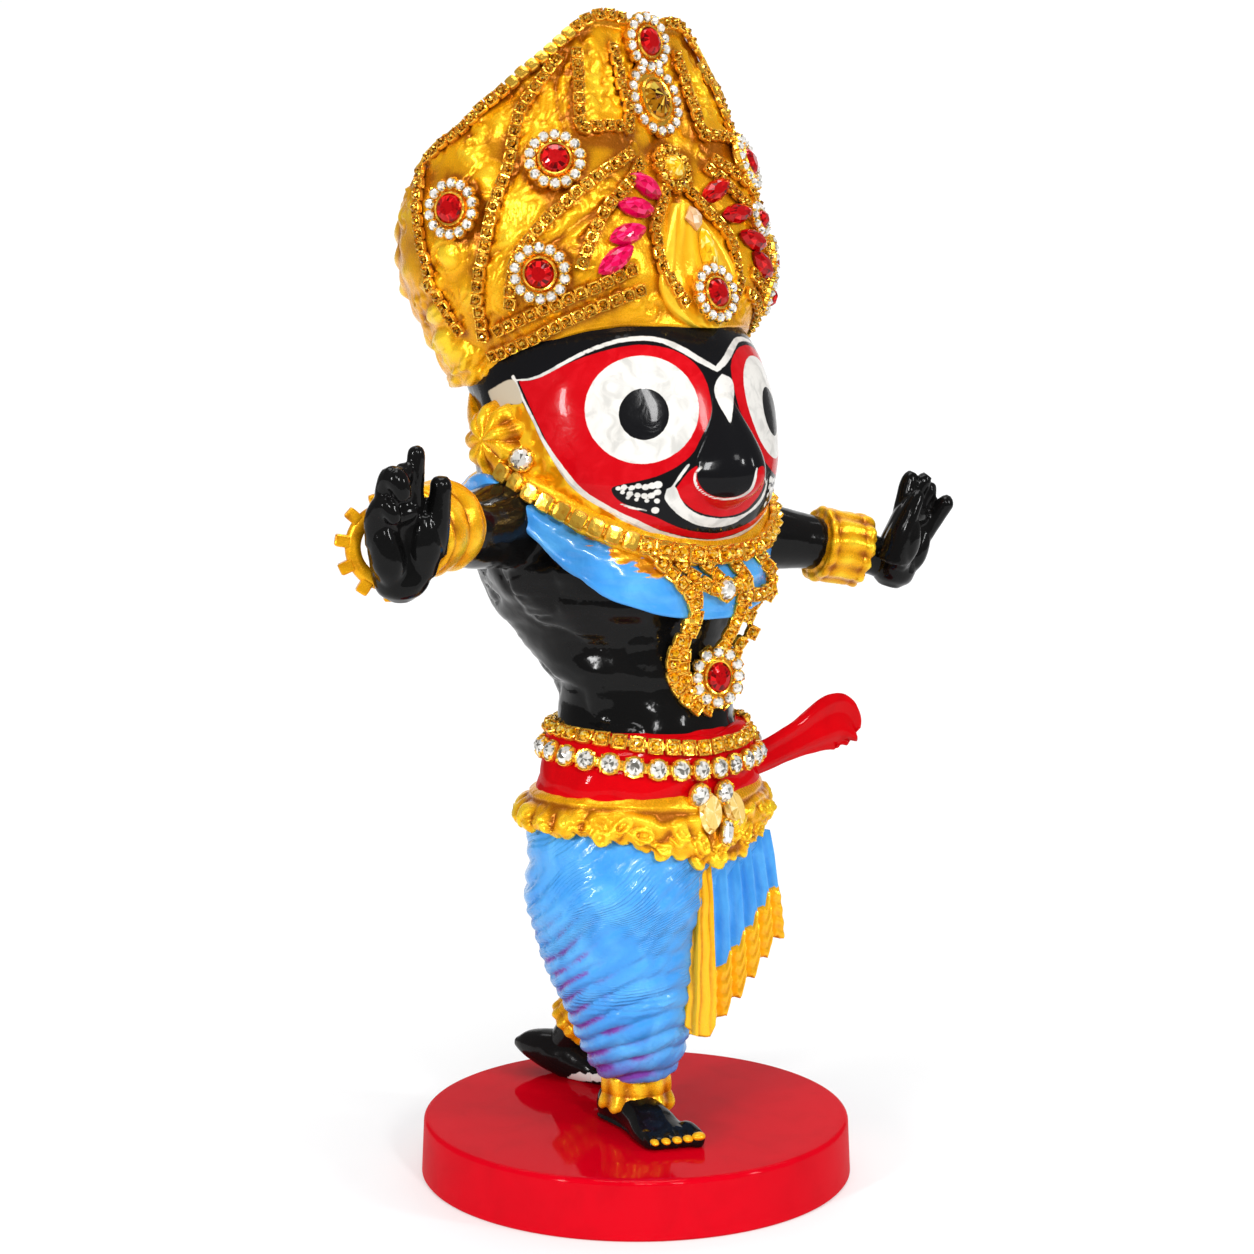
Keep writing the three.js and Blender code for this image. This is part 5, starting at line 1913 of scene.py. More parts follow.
def hip_cloth() -> Band:
    """The gold hip cloth, embossed with swirls over a beaded hem."""
    def carve(points: Array, angle: Array, place: Array) -> Array:
        """A plain upper band, ruffles at the sides, scrolls in front and a ragged beaded hem."""
        chance = np.random.default_rng(5)
        scrolls = 40
        wobble = 6 * lumps(points, 6.0, 16)
        front = bell(angle, 4, 52, 4)
        ledge = 0.55 * eased(0.7, 0.76, place + wobble / 300)
        band = bell(place, 0.36, 0.24, 4)
        ruffle = np.abs(np.sin(np.radians(angle * 11 + wobble * 3))) ** 0.6 - 0.45
        height = 1.5 * ruffle * band * (1 - front)
        height += 0.7 * bell(place, 0.62 + 0.05 * np.sin(np.radians(angle * 9)), 0.045) * front
        for index in range(scrolls):
            middle = -178 + 360 * index / scrolls + 2 * chance.random()
            level = 0.42 + 0.12 * math.sin(index * 2.1)
            across = (angle - middle) * 0.47
            rise = (place - level) * 17
            size = 1.1 + 0.5 * chance.random()
            away = np.hypot(across, rise) + 0.25 * np.sin(2 * np.arctan2(rise, across) + index)
            ring = bell(away, size, 0.4) + 0.9 * bell(away, 0.0, 0.5)
            tail = 0.8 * bell(rise + 0.6 * np.sin(across * 1.9), -2.1, 0.45)
            height += ring * (0.3 + 0.7 * front) + tail * (np.abs(across) < 2.2) * front
        beads = np.abs(np.sin(np.radians(angle * 21 + wobble))) ** 0.7 * bell(place, 0.12, 0.08)
        nodules = np.abs(lumps(points, 3.4, 20)) * (1 - eased(0.6, 0.72, place))
        return height + beads + ledge + 1.2 * nodules + 0.12 * lumps(points, 2.0, 19) - 0.5

    return Band("hip_cloth", HIP_SKIN, GOLD, carve, columns=480, rows=54, shade=-0.05)


@dataclass(frozen=True)
class Dhoti:
    """The wrapped blue lower cloth, wrinkled round both legs, with purple painted shade in its folds.

    Args:
        swag_pitch: from swag to swag round the lower legs.
        swag_depth: how deep the swags are.
        crease_pitch: from fine crease to fine crease.
        crease_depth: how deep the fine creases are.
        fold_pitch: from soft fold to soft fold.
        fold_depth: how deep the soft folds are.
    """

    swag_pitch: float = 4.3
    swag_depth: float = 1.05
    crease_pitch: float = 1.25
    crease_depth: float = 0.12
    fold_pitch: float = 3.6
    fold_depth: float = 0.16

    DIAGONAL = 0.7071
    RIGHT_LEG = stations(
        (-9, -3, 62, 17.5), (-9.6, -4, 50, 19), (-9.6, -4.6, 40, 16.8), (-8, -5.8, 30, 14.4),
        (-6.6, -5.8, 21, 12.2), (-5.6, -5.4, 14, 9.8), (-5.3, -5.2, 11.4, 8.4),
    )
    LEFT_LEG = stations(
        (8, -4, 60, 17), (10.5, -1, 48, 15.6), (11, 6, 37, 12.6), (10.4, 12.5, 29, 10.4), (10, 17, 23.5, 8.6),
    )

    def shape(self) -> Shape:
        """One skin over the hips and the legs, with swags and fine wrinkles."""
        rows, _, _ = HIPS.grid(np.arange(0, 360, 4.0), np.linspace(0, 1, 40))
        legs = [limb(self.RIGHT_LEG, sides=48, rows=48), limb(self.LEFT_LEG, sides=48, rows=40)]
        made = fused([closed_grid(rows), *legs], 0.68, 3)
        x, y, z = made.points.T
        sideways = (x - y) * self.DIAGONAL
        low = 1 - eased(24, 52, z)
        sag = z + 0.028 * (sideways - 4) ** 2 - 0.1 * sideways + 0.9 * lumps(made.points, 9.0, 21)
        swag = np.abs(np.sin(sag * math.pi / self.swag_pitch)) ** 0.55
        right_side = 1 - eased(2, 8, x)
        pointing = made.normals()
        aside = (pointing[:, 1] - pointing[:, 0]) * self.DIAGONAL
        rear = np.clip(1.4 * aside - 0.1, 0, 1) * (1 - eased(50, 60, z)) * right_side
        strength = (0.2 + 0.8 * np.maximum(low, 0.8 * rear)) * (0.35 + 0.65 * right_side) * (1 + 0.45 * rear)
        slant = z - 0.85 * sideways + 1.6 * lumps(made.points, 8.0, 22)
        fine = np.sin(slant * 2 * math.pi / self.crease_pitch + 1.5 * lumps(made.points, 3.0, 23))
        patches = np.clip(0.3 + 1.2 * lumps(made.points, 9.0, 24), 0, 1)
        soft = np.sin(slant * 2 * math.pi / self.fold_pitch) * (1 - 0.6 * low)
        height = self.swag_depth * strength * (swag - 0.7) + self.crease_depth * fine * patches
        height += self.fold_depth * soft
        height += 0.35 * lumps(made.points, 7.0, 26, (0.7, 0.7, 1.6)) * (1 - low)
        # Purple painted shade: in the swags' hollows, on faces turned towards the left of the view, and more
        # towards the foot
        outward = np.clip((aside + 0.12 + 0.5 * (1 - eased(15, 34, z))) * 1.5, 0, 1)
        hollow = eased(0.0, 0.6, 0.95 - swag)
        brush = np.clip(0.7 + 1.1 * lumps(made.points, 4.4, 25, (1, 1, 2.2)), 0, 1)
        purple_shade = hollow * (1 - eased(36, 52, z)) * (0.05 + 1.15 * outward ** 1.3) * brush
        made.marks["fold"] = purple_shade * (x < 6) + 0.65 * (1 - eased(11.8, 20, z)) * (0.3 + 0.7 * outward)
        made.marks["trim"] = np.full(len(x), -1.0)
        made.marks["slant"] = slant * (1 - low)
        return made.raised(height)

    def build(self) -> None:
        """Puts the cloth in the scene."""
        put(self.shape(), "dhoti", [BLUE])


def slab(front: Array, back: Array) -> Shape:
    """A closed sheet between two grids of points.

    Args:
        front: one side, as rows by columns by three.
        back: the other side, the same size.

    Returns:
        The sheet.
    """
    rows, columns = front.shape[:2]
    points = np.concatenate([front.reshape(-1, 3), back.reshape(-1, 3)])
    layer = rows * columns
    faces: list[tuple[int, ...]] = []
    for row in range(rows - 1):
        for column in range(columns - 1):
            here = row * columns + column
            above = here + columns
            faces.append((here, here + 1, above + 1, above))
            faces.append((layer + here, layer + above, layer + above + 1, layer + here + 1))
    for row in range(rows - 1):
        left = row * columns
        right = left + columns - 1
        faces.append((left, left + columns, layer + left + columns, layer + left))
        faces.append((right, layer + right, layer + right + columns, right + columns))
    for column in range(columns - 1):
        top = (rows - 1) * columns + column
        faces.append((column, layer + column, layer + column + 1, column + 1))
        faces.append((top, top + 1, layer + top + 1, layer + top))
    return Shape(points, faces).outwards()


@dataclass(frozen=True)
class FrontPleats:
    """The fan of front pleats, with a ribbed gold leading edge and a stepped gold hem.

    Args:
        count: how many pleats it has.
        right: its edge on the figure's right.
        left: its edge on the figure's left.
        top: the height of its upper edge.
        foot: the height of its first pleat's foot.
        foot_rise: how much higher the last pleat's foot is.
        depth: how deep the pleats are.
        sheet: how thick the cloth is.
        front: how far in front of the figure's middle it hangs.
        flare: how far its foot swings out.
        turn: how far it curves back on the figure's left.
        draw: how much narrower it is at its top.
        lead: the share of its width that is gold along its right edge.
        bend: the share of its width that curls back there.
        curl_depth: how far that part goes back.
        hem: how wide the gold hem is.
    """

    count: int = 6
    right: float = -4.2
    left: float = 23.0
    top: float = 60.0
    foot: float = 21.0
    foot_rise: float = 16.0
    depth: float = 1.5
    sheet: float = 2.0
    front: float = -21.8
    flare: float = 1.2
    turn: float = 3.4
    draw: float = 0.1
    lead: float = 0.165
    bend: float = 0.085
    curl_depth: float = 5.0
    hem: float = 10.5

    def shape(self) -> Shape:
        """The pleats."""
        columns, rows = 120, 84
        v, u = np.meshgrid(np.linspace(0, 1, rows), np.linspace(0, 1, columns), indexing="ij")
        pleat = u * self.count
        step = np.floor(np.minimum(pleat, self.count - 0.001))
        within = pleat - step
        rise = step + eased(0.82, 1.0, within)
        foot = self.foot + self.foot_rise * np.minimum(rise, self.count - 1) / (self.count - 1)
        foot = foot + 1.5 * (2 * within - 1) ** 2 * (within < 0.82) - 0.4
        foot += 3.4 * np.clip(1 - u / (0.8 * self.lead), 0, 1) ** 2
        height = foot + (self.top - foot) * v
        zig = np.cos(np.maximum(pleat, self.bend * self.count) * 2 * math.pi) * self.depth
        curl = np.clip(1 - u / self.bend, 0, 1)
        aside = eased(0.0, 0.4, curl)
        fall = self.front - self.flare * (1 - v) * (1 + 2 * v) + self.turn * u * u
        sideways = self.right + (self.left - self.right) * np.maximum(u - self.bend, 0) / (1 - self.bend)
        lead = 1 - eased(self.lead - 0.012, self.lead + 0.012, u)
        ribs = 0.42 * np.cos(u / self.lead * 4 * 2 * math.pi + 0.4 * np.sin(v * 23)) * lead
        threads = 0.13 * np.sin(pleat * 2 * math.pi * 3 + 0.8 * np.sin(v * 9)) * (1 - lead)
        above_foot = height - foot
        hem_edge = self.hem * (1 + 0.16 * (within - 0.5))
        hem = 1 - eased(hem_edge - 0.25, hem_edge + 0.25, above_foot)
        relief = ribs + threads + 0.25 * np.maximum(hem, lead)
        relief += 0.15 * np.sin(above_foot * 2.2) * hem * (1 - lead)
        across = sideways * (1 - self.draw * v)
        behind = fall - zig * (1 - v / 2) + self.curl_depth * curl
        front = np.stack([across - relief * aside, behind - relief * (1 - aside), height], -1)
        back = np.stack([
            across + self.sheet * aside, behind + self.sheet * (1 - aside) + 0.6 * aside, height,
        ], -1)
        made = slab(front, back)
        trim = (np.maximum((self.lead - u) * 27.0, hem_edge - above_foot) * 0.6).ravel()
        made.marks["trim"] = np.concatenate([trim, trim])
        made.marks["relief"] = np.concatenate([relief.ravel(), np.zeros(relief.size)]) * 0.8
        # A little purple painted shade in the grooves between the pleats
        groove = np.clip(-np.cos(pleat * 2 * math.pi), 0, 1) ** 3
        made.marks["fold"] = np.concatenate([(0.12 * groove).ravel(), np.zeros(groove.size)])
        made.points += 0.1 * lumps(made.points, 3.0, 31)[:, None] * np.array([0.0, 1.0, 0.4])
        return made

    def build(self) -> None:
        """Puts the pleats in the scene."""
        put(self.shape(), "front_pleats", [BLUE])


@dataclass(frozen=True)
class Foot:
    """A bare black foot with a thin sole, five toes and gold nails.

    Args:
        name: the piece's name.
        path: the foot's own stations from its heel to its toes.
        big_toe: 1 where the big toe is on the figure's left of the foot, -1 on its right.
        nails: whether its nails are painted.
        chipped: whether its paint has come off beside the cloth.
        toe_pitch: from toe to toe.
        toe_radius: half the second toe's width.
        big_toe_radius: half the big toe's width.
    """

    name: str
    path: tuple[Station, ...]
    big_toe: int
    nails: bool
    chipped: bool = False
    toe_pitch: float = 2.15
    toe_radius: float = 1.32
    big_toe_radius: float = 1.75

    # The chip in the photo's pixels
    CHIP_MIDDLE = np.array([589.0, 1077.0])
    CHIP_SIZE = np.array([21.0, 4.2])

    def toes(self) -> tuple[list[Shape], list[Shape]]:
        """The toes and their nails."""
        end = self.path[-2]
        start = self.path[-4]
        ahead = unit(np.array([end.x - start.x, end.y - start.y, 0.0]))
        across = np.array([-ahead[1], ahead[0], 0.0])
        if across[0] * self.big_toe < 0:
            across = -across
        toes, nails = [], []
        for index in range(5):
            offset = (2 - index) * self.toe_pitch
            radius = self.toe_radius - 0.08 * (index - 1) if index else self.big_toe_radius
            reach = 2.6 - 0.22 * index - 0.05 * index ** 2
            root = np.array([end.x, end.y, 1.6]) + across * offset - ahead * 4.0
            tip = np.array([end.x, end.y, 1.15]) + across * offset * 1.06 + ahead * reach
            middle = (root + tip) / 2 + np.array([0, 0, 0.75])
            toes.append(limb(stations(
                (*root, radius * 0.95), (*middle, radius * 1.05), (*tip, radius * 1.05),
                (*(tip + ahead * radius * 0.8), radius * 0.45),
            ), (0, 0, 1), 20, 14))
            nail = tip + ahead * radius * 0.35 + np.array([0, 0, radius * 0.62])
            nails.append(limb(stations(
                (*(nail - ahead * 0.9), radius * 0.45, -0.5), (*nail, radius * 0.82, -0.45),
                (*(nail + ahead * 0.8 - np.array([0, 0, 0.35])), radius * 0.7, -0.4),
                (*(nail + ahead * 1.05 - np.array([0, 0, 0.6])), radius * 0.35, -0.4),
            ), (0, 0, 1), 16, 10))
        return toes, nails

    def build(self) -> None:
        """Puts the foot in the scene."""
        toes, nails = self.toes()
        sole = limb([
            Station(s.x, s.y, 0.35, s.radius * 1.01, 0.55 / max(s.radius, 0.1) - 1) for s in self.path
        ], (0, 0, 1), 40, 30)
        made = fused([limb(self.path, (0, 0, 1), 40, 36), *([sole] if self.nails else []), *toes], 0.38, 2)
        made = made.raised(0.16 * lumps(made.points, 3.0, 52))
        made.points[:, 2] = np.maximum(made.points[:, 2], -0.18)
        seen = (LENS.photo(made.points) - self.CHIP_MIDDLE) / self.CHIP_SIZE
        worn = 1 - np.hypot(*seen.T) + 0.5 * lumps(made.points, 1.2, 53)
        made.marks["bare"] = worn if self.chipped else np.full(len(made.points), -1.0)
        finish = WORN_BLACK if self.chipped else BLACK_SKIN
        put(made, self.name, [finish])
        if self.nails:
            put(gathered(nails), self.name + "_nails", [BRIGHT_GOLD])


@dataclass(frozen=True)
class Ruffle:
    """A gold band round a wrist or an ankle, with ribs along it and waves round it.

    Args:
        name: the piece's name.
        path: the places that it passes.
        ribs: how many ribs it has.
        rib_height: how high they are.
        waves: how many waves go round it.
        wave_height: how high they are.
    """

    name: str
    path: tuple[Station, ...]
    ribs: float = 4.0
    rib_height: float = 0.45
    waves: int = 10
    wave_height: float = 0.15

    def build(self) -> None:
        """Puts the band in the scene."""
        sides, rows = 110, 66
        made = limb(self.path, sides=sides, rows=rows)
        v, turn = limb_grid(sides, rows)
        middle = np.sin(v * math.pi) ** 0.4
        height = self.rib_height * (np.abs(np.sin(v * math.pi * self.ribs)) ** 0.7 - 0.5) * middle
        height += self.wave_height * np.sin(turn * self.waves + 3 * np.sin(v * 3)) * (0.3 + v)
        height = np.append(height, [0, 0])
        height += 0.16 * lumps(made.points, 2.2, 33)
        made.marks["relief"] = height * 1.6
        put(made.raised(height), self.name, [GOLD])


@dataclass(frozen=True)
class SashEnd:
    """The free end of the red sash, which blows out and ends in a rounded hook."""

    PATH = stations(
        (12, -14, 74, 4, -0.6), (20, -15.4, 74.6, 3.4, -0.6), (31, -16.4, 77.4, 4, -0.7),
        (40, -17, 80.0, 5.8, -0.76), (45, -17, 80.2, 6.2, -0.8), (48, -17.2, 78.6, 5.4, -0.78),
        (49.8, -17.4, 76.6, 3.0, -0.7),
    )

    def build(self) -> None:
        """Puts the sash's end in the scene."""
        sides, rows = 120, 66
        made = limb(self.PATH, (0, 1, 0), sides, rows)
        v, turn = limb_grid(sides, rows)
        across = np.cos(turn)
        folds = 0.85 * np.cos(across * 5.4 + 1.6 * v + 0.6) * np.sin(turn) + 0.12 * np.cos(across * 9 + 3 * v)
        height = np.append(folds * (0.3 + 0.7 * v) * (1 - across ** 4), [0, 0])
        put(made.raised(height + 0.1 * lumps(made.points, 3.0, 35)), "sash_end", [RED_CLOTH])


@dataclass(frozen=True)
class StudRing:
    """A ring of square gold studs behind a hand.

    Args:
        name: the piece's name.
        centre: the ring's middle.
        facing: the direction that the ring faces.
        radius: from the ring's middle to the studs.
        studs: how many studs it has.
        size: how wide a stud is.
        first: the turn of the first stud, in degrees.
        band_share: the radius of the band that holds the studs, as a share of theirs.
        band_wide: half the band's width.
        band_thick: half its thickness.
    """

    name: str
    centre: tuple[float, float, float]
    facing: tuple[float, float, float]
    radius: float = 8.2
    studs: int = 11
    size: float = 2.3
    first: float = 8.0
    band_share: float = 0.82
    band_wide: float = 1.5
    band_thick: float = 1.2

    # A stud's outline, and its levels as a share of its size and how far out they are
    SQUARE = ((1, 0.75), (0.75, 1), (-0.75, 1), (-1, 0.75), (-1, -0.75), (-0.75, -1), (0.75, -1), (1, -0.75))
    LEVELS = ((1.0, -0.66), (1.0, 1.1), (0.96, 1.595), (0.8, 1.87), (0.62, 1.782))

    def build(self) -> None:
        """Puts the ring in the scene."""
        out = unit(np.array(self.facing, float))
        right = unit(np.cross(np.array([0, 0, 1.0]), out))
        up = np.cross(out, right)
        middle = np.array(self.centre, float)
        profile = full_turn(14)
        rows = []
        for turn in full_turn(48):
            outward = right * math.cos(turn) + up * math.sin(turn)
            spot = middle + self.radius * self.band_share * outward
            wide, thick = self.band_wide * outward, self.band_thick * out
            rows.append([spot + math.cos(p) * wide + math.sin(p) * thick for p in profile])
        parts = [looped(np.array(rows))]
        for index in range(self.studs):
            turn = math.radians(self.first) + 2 * math.pi * index / self.studs
            outward = right * math.cos(turn) + up * math.sin(turn)
            around = np.cross(out, outward)
            rings = []
            for share, rise in self.LEVELS:
                spot = middle + outward * (self.radius + rise)
                half = share * self.size / 2
                rings.append([spot + around * a * half + out * b * half for a, b in self.SQUARE])
            parts.append(closed_grid(np.array(rings)))
        made = gathered(parts)
        made.marks["relief"] = 0.5 * lumps(made.points, 1.6, 37)
        put(made, self.name, [GOLD], shading=Shading.CREASED)


def looped(rows: Array) -> Shape:
    """A closed ring through profiles, the last joined to the first.

    Args:
        rows: the profiles, as profiles by points by three.

    Returns:
        The ring.
    """
    count, around = rows.shape[:2]
    faces: list[tuple[int, ...]] = []
    for row in range(count):
        here = row * around
        ahead = (row + 1) % count * around
        for column in range(around):
            beside = (column + 1) % around
            faces.append((here + column, here + beside, ahead + beside, ahead + column))
    return Shape(rows.reshape(-1, 3), faces).outwards()


@dataclass(frozen=True)
class Plinth:
    """The round red plinth, with a rolled upper edge and a slight draft.

    Args:
        top_diameter: its width at its top.
        foot_diameter: its width at its foot.
        foot_edge: the height of the worn edge at its foot.
        edge: the radius of its upper edge.
        unevenness: how far its top rises and falls.
    """

    top_diameter: float = 90.0
    foot_diameter: float = 91.0
    foot_edge: float = 0.5
    edge: float = 1.1
    unevenness: float = 0.025

    def build(self) -> None:
        """Puts the plinth in the scene."""
        top, foot, high = self.top_diameter / 2, self.foot_diameter / 2, PLINTH_THICKNESS
        shoulder, inner = high - self.edge, top - self.edge
        profile = [(foot - 1.2, 0.0), (foot - 0.3, 0.12), (foot, self.foot_edge)]
        for share in np.linspace(0.05, 0.95, 9):
            profile.append(
                (foot + (top - foot) * share, self.foot_edge + (shoulder - self.foot_edge) * share),
            )
        for bend in np.radians(np.linspace(0, 90, 9)):
            profile.append((inner + self.edge * math.cos(bend), shoulder + self.edge * math.sin(bend)))
        profile += [(inner - (top - 2) * share, high) for share in (0.02, 0.1, 0.3, 0.55, 0.8, 0.95)]
        turn = full_turn(256)
        radii, heights = (np.array(column)[:, None] for column in zip(*profile))
        rows = np.stack([radii * np.cos(turn), radii * np.sin(turn), heights + 0 * turn], -1)
        made = closed_grid(rows)
        outer = made.points[:-2]
        outer[:, 2] += self.unevenness * lumps(outer, 14.0, 41) * (outer[:, 2] >= shoulder)
        put(made, "plinth_disc", [RED_PLINTH], "red_gloss", ["plinth"], Shading.CREASED, 0.0)


# Glued stones


@dataclass
class Seat:
    """Where a stone sits: a spot on the figure with its own directions.

    Args:
        point: the spot.
        out: away from the figure.
        up: along the stone.
    """

    point: Array
    out: Array
    up: Array

    def place(self, shape: Shape, turn: float = 0.0) -> Shape:
        """A copy of a shape made flat at the origin, moved to this seat.

        Args:
            shape: the shape, whose height is its z.
            turn: how far it turns about its height, in degrees.

        Returns:
            The copy.
        """
        across = unit(np.cross(self.up, self.out))
        along = np.cross(self.out, across)
        cosine, sine = math.cos(math.radians(turn)), math.sin(math.radians(turn))
        x = shape.points[:, 0] * cosine - shape.points[:, 1] * sine
        y = shape.points[:, 0] * sine + shape.points[:, 1] * cosine
        points = self.point + x[:, None] * across + y[:, None] * along + shape.points[:, 2:] * self.out
        return Shape(points, shape.faces, dict(shape.marks), shape.dress, shape.glints)


class Seats:
    """Finds seats on the figure's painted surface, from so far above a skin to so far below it."""

    REACH = 7.0
    DEPTH = 2.5

    def __init__(self, *shapes: Shape) -> None:
        """Keeps the shapes that stones are glued to.

        Args:
            shapes: the shapes.
        """
        self.tree = gathered(shapes).tree()

    def on(self, skin: Skin, angle: float, place: float, along: Sequence[float] = (0, 0, 1)) -> Seat:
        """A seat at an angle and place of a skin, on whatever stands highest there.

        Args:
            skin: the skin that names the spot.
            angle: the spot's angle.
            place: the spot's place.
            along: the direction that the stone points in.

        Returns:
            The seat.
        """
        point = skin.spot(angle, place)
        out = skin.normal(np.array([angle]), np.array([place]))[0]
        start = Vector(point + out * self.REACH)
        hit, _, _, _ = self.tree.ray_cast(start, Vector(-out), self.REACH + self.DEPTH)
        top = np.array(hit) if hit is not None else point
        return Seat(top + out * CLEAR, out, np.asarray(along, float))

    def walk(self, skin: Skin, route: Sequence[tuple[float, float]], pitch: float) -> list[Seat]:
        """Seats in equal steps along a route.

        Args:
            skin: the skin that the route is on.
            route: its turning points, as angle and place.
            pitch: the wanted step.

        Returns:
            The seats, each pointing along the route.
        """
        rows = np.array(route, float)
        parts = np.linspace(0, len(rows) - 1, 40 * (len(rows) - 1) + 1)
        angle = np.interp(parts, np.arange(len(rows)), rows[:, 0])
        place = np.interp(parts, np.arange(len(rows)), rows[:, 1])
        points = skin.at(angle, place)
        length = np.concatenate([[0], np.cumsum(np.linalg.norm(np.diff(points, axis=0), axis=1))])
        count = max(2, round(length[-1] / pitch))
        wanted = np.linspace(0, length[-1], count + 1)
        seats = [
            self.on(skin, float(a), float(p))
            for a, p in zip(np.interp(wanted, length, angle), np.interp(wanted, length, place))
        ]
        spots = np.array([seat.point for seat in seats])
        smooth = spots.copy()
        smooth[1:-1] = 0.5 * spots[1:-1] + 0.25 * (spots[:-2] + spots[2:])
        for index, seat in enumerate(seats):
            if np.dot(smooth[index] - spots[index], seat.out) > 0:
                seat.point = smooth[index]
            seat.up = smooth[min(index + 1, count)] - smooth[max(index - 1, 0)]
        return seats


def round_outline(turn: Array) -> Array:
    """A circle of radius one."""
    return np.stack([np.cos(turn), np.sin(turn)], -1)


def square_outline(turn: Array) -> Array:
    """A square with rounded corners, one wide to each side."""
    size = (np.abs(np.cos(turn)) ** 5 + np.abs(np.sin(turn)) ** 5) ** -0.2
    return np.stack([np.cos(turn) * size, np.sin(turn) * size], -1)


def pointed_outline(turn: Array) -> Array:
    """An outline with a point at each end of its length."""
    return np.stack([np.cos(turn) * np.abs(np.cos(turn)) ** 0.45, np.sin(turn)], -1)


def leaf_outline(turn: Array) -> Array:
    """A broad outline that narrows to a point at both ends."""
    return np.stack([np.cos(turn) * np.abs(np.cos(turn)) ** 0.25, np.sin(turn)], -1)


def drop_outline(turn: Array) -> Array:
    """An outline that is round below and pointed above."""
    return np.stack([np.cos(turn) * (0.72 - 0.34 * np.sin(turn)), np.sin(turn)], -1)


Outline = Callable[[Array], Array]


def level_ring(edge: Array, share: float, rise: float) -> Array:
    """A flat outline made smaller by a share and lifted to a height."""
    return np.concatenate([edge * share, np.full((len(edge), 1), rise)], 1)


def cut_stone(
    outline: Outline, wide: float, long: float, low: float, high: float, sides: int, dress: int, seed: int,
    table: float = 0.56, core: float = 0.5, star: float = 0.5,
) -> Shape:
    """A cut stone with a girdle, two rows of facets and a table.

    Args:
        outline: its outline.
        wide: its width.
        long: its length.
        low: the height of its foot.
        high: the height of its table.
        sides: how many facets go round it.
        dress: the place of its finish in the piece's list.
        seed: which facets glint.
        table: the table's share of the width.
        core: how much painted glint its table has.
        star: how much its table's facets differ.

    Returns:
        The stone.
    """
    chance = np.random.default_rng(seed)
    half, deep = math.pi / sides, high - low
    turns = np.arange(sides) * 2 * half
    size = np.array([wide / 2, long / 2])
    levels = (
        (0.97, low, 0.0), (1.0, low + 0.25 * deep, 0.0), (0.82, low + 0.7 * deep, half), (table, high, 0.0),
    )
    rings = [level_ring(outline(turns + shift) * size, share, rise) for share, rise, shift in levels]
    peak = high + 0.8 * deep * max(star - 0.5, 0)
    points = np.concatenate([*rings, [[0, 0, low]], [[0, 0, peak]]])
    faces: list[tuple[int, ...]] = []
    glints: list[float] = []
    for index in range(sides):
        after = (index + 1) % sides
        lower, girdle, middle, top = (index + level * sides for level in range(4))
        lower_after, girdle_after, middle_after, top_after = (after + level * sides for level in range(4))
        faces += [
            (lower, lower_after, girdle_after, girdle), (girdle, girdle_after, middle),
            (girdle_after, middle_after, middle), (middle, top_after, top), (middle, middle_after, top_after),
            (4 * sides, lower_after, lower), (4 * sides + 1, top, top_after),
        ]
        # Each face's glint value, which the stone's finish paints as a dark or light reflection
        bright = chance.random(5)
        glints += [
            0.2, bright[0], bright[1] * 0.7, bright[2], bright[3], 0.2, core + star * (bright[4] - 0.5),
        ]
    return Shape(points, faces, {}, [dress] * len(faces), glints).outwards()


def cup_ring(
    outline: Outline, wide: float, long: float, high: float, lip: float, prongs: int, sides: int = 16,
    foot: float = 0.0,
) -> Shape:
    """A metal cup that holds a stone, with prongs over its edge.

    Args:
        outline: its outline.
        wide: its width.
        long: its length.
        high: its height.
        lip: how thick its wall is.
        prongs: how many prongs it has.
        sides: points round it.
        foot: the height of its foot.

    Returns:
        The cup.
    """
    size = np.array([wide / 2, long / 2])
    inner = 1 - 2 * lip / min(wide, long)
    levels = (
        (0.9, foot), (1.0, foot + 0.25 * (high - foot)), (1.0, 0.86 * high), (0.94, high),
        (inner, 0.96 * high), (0.9 * inner, 0.6 * high),
    )
    edge = outline(full_turn(sides)) * size
    parts = [closed_grid(np.array([level_ring(edge, *level) for level in levels]))]
    claw = lip * 0.75
    for index in range(prongs):
        spot = (outline(np.array([2 * math.pi * (index + 0.5) / prongs])) * size)[0]
        prong = stations(
            (*(spot * 0.95), high * 0.55, claw), (*(spot * 0.93), high * 1.12, claw),
            (*(spot * (inner - 0.12)), high * 1.18, claw * 0.7),
        )
        parts.append(limb(prong, (0.31, 0.52, 0.1), 4, 3))
    return gathered(parts)


@dataclass(frozen=True)
class CupLink:
    """One cup of a chain, with its stone and the link to the next cup.

    Args:
        width: how wide it is.
        height: how high it stands.
        outline: its outline.
        stone: the place of its stone's finish.
        share: the stone's share of the cup.
        core: how much painted glint the stone's table has.
        gem: the stone's own outline.
        facets: how many facets go round the stone.
    """

    width: float
    height: float
    outline: Outline = square_outline
    stone: int = 1
    share: float = 0.76
    core: float = 0.45
    gem: Outline = round_outline
    facets: int = 8

    def shape(self, seed: int) -> Shape:
        """The cup with its stone."""
        cup = cup_ring(self.outline, self.width, self.width, self.height * 0.62, self.width * 0.11, 4)
        size = self.width * self.share
        stone = cut_stone(
            self.gem, size, size, self.height * 0.3, self.height, self.facets, self.stone, seed, 0.5,
            self.core, 0.8,
        )
        return gathered([cup, stone])

    def plain(self, pitch: float) -> Shape:
        """A plain rectangular link in place of a cup."""
        edge = square_outline(np.arange(16) * math.pi / 8) * np.array([self.width * 0.5, pitch * 0.46])
        high = self.height
        levels = ((0.92, 0.0), (1.0, 0.2), (1.0, 0.55 * high), (0.86, 0.72 * high), (0.4, 0.76 * high))
        return closed_grid(np.array([level_ring(edge, *level) for level in levels]))


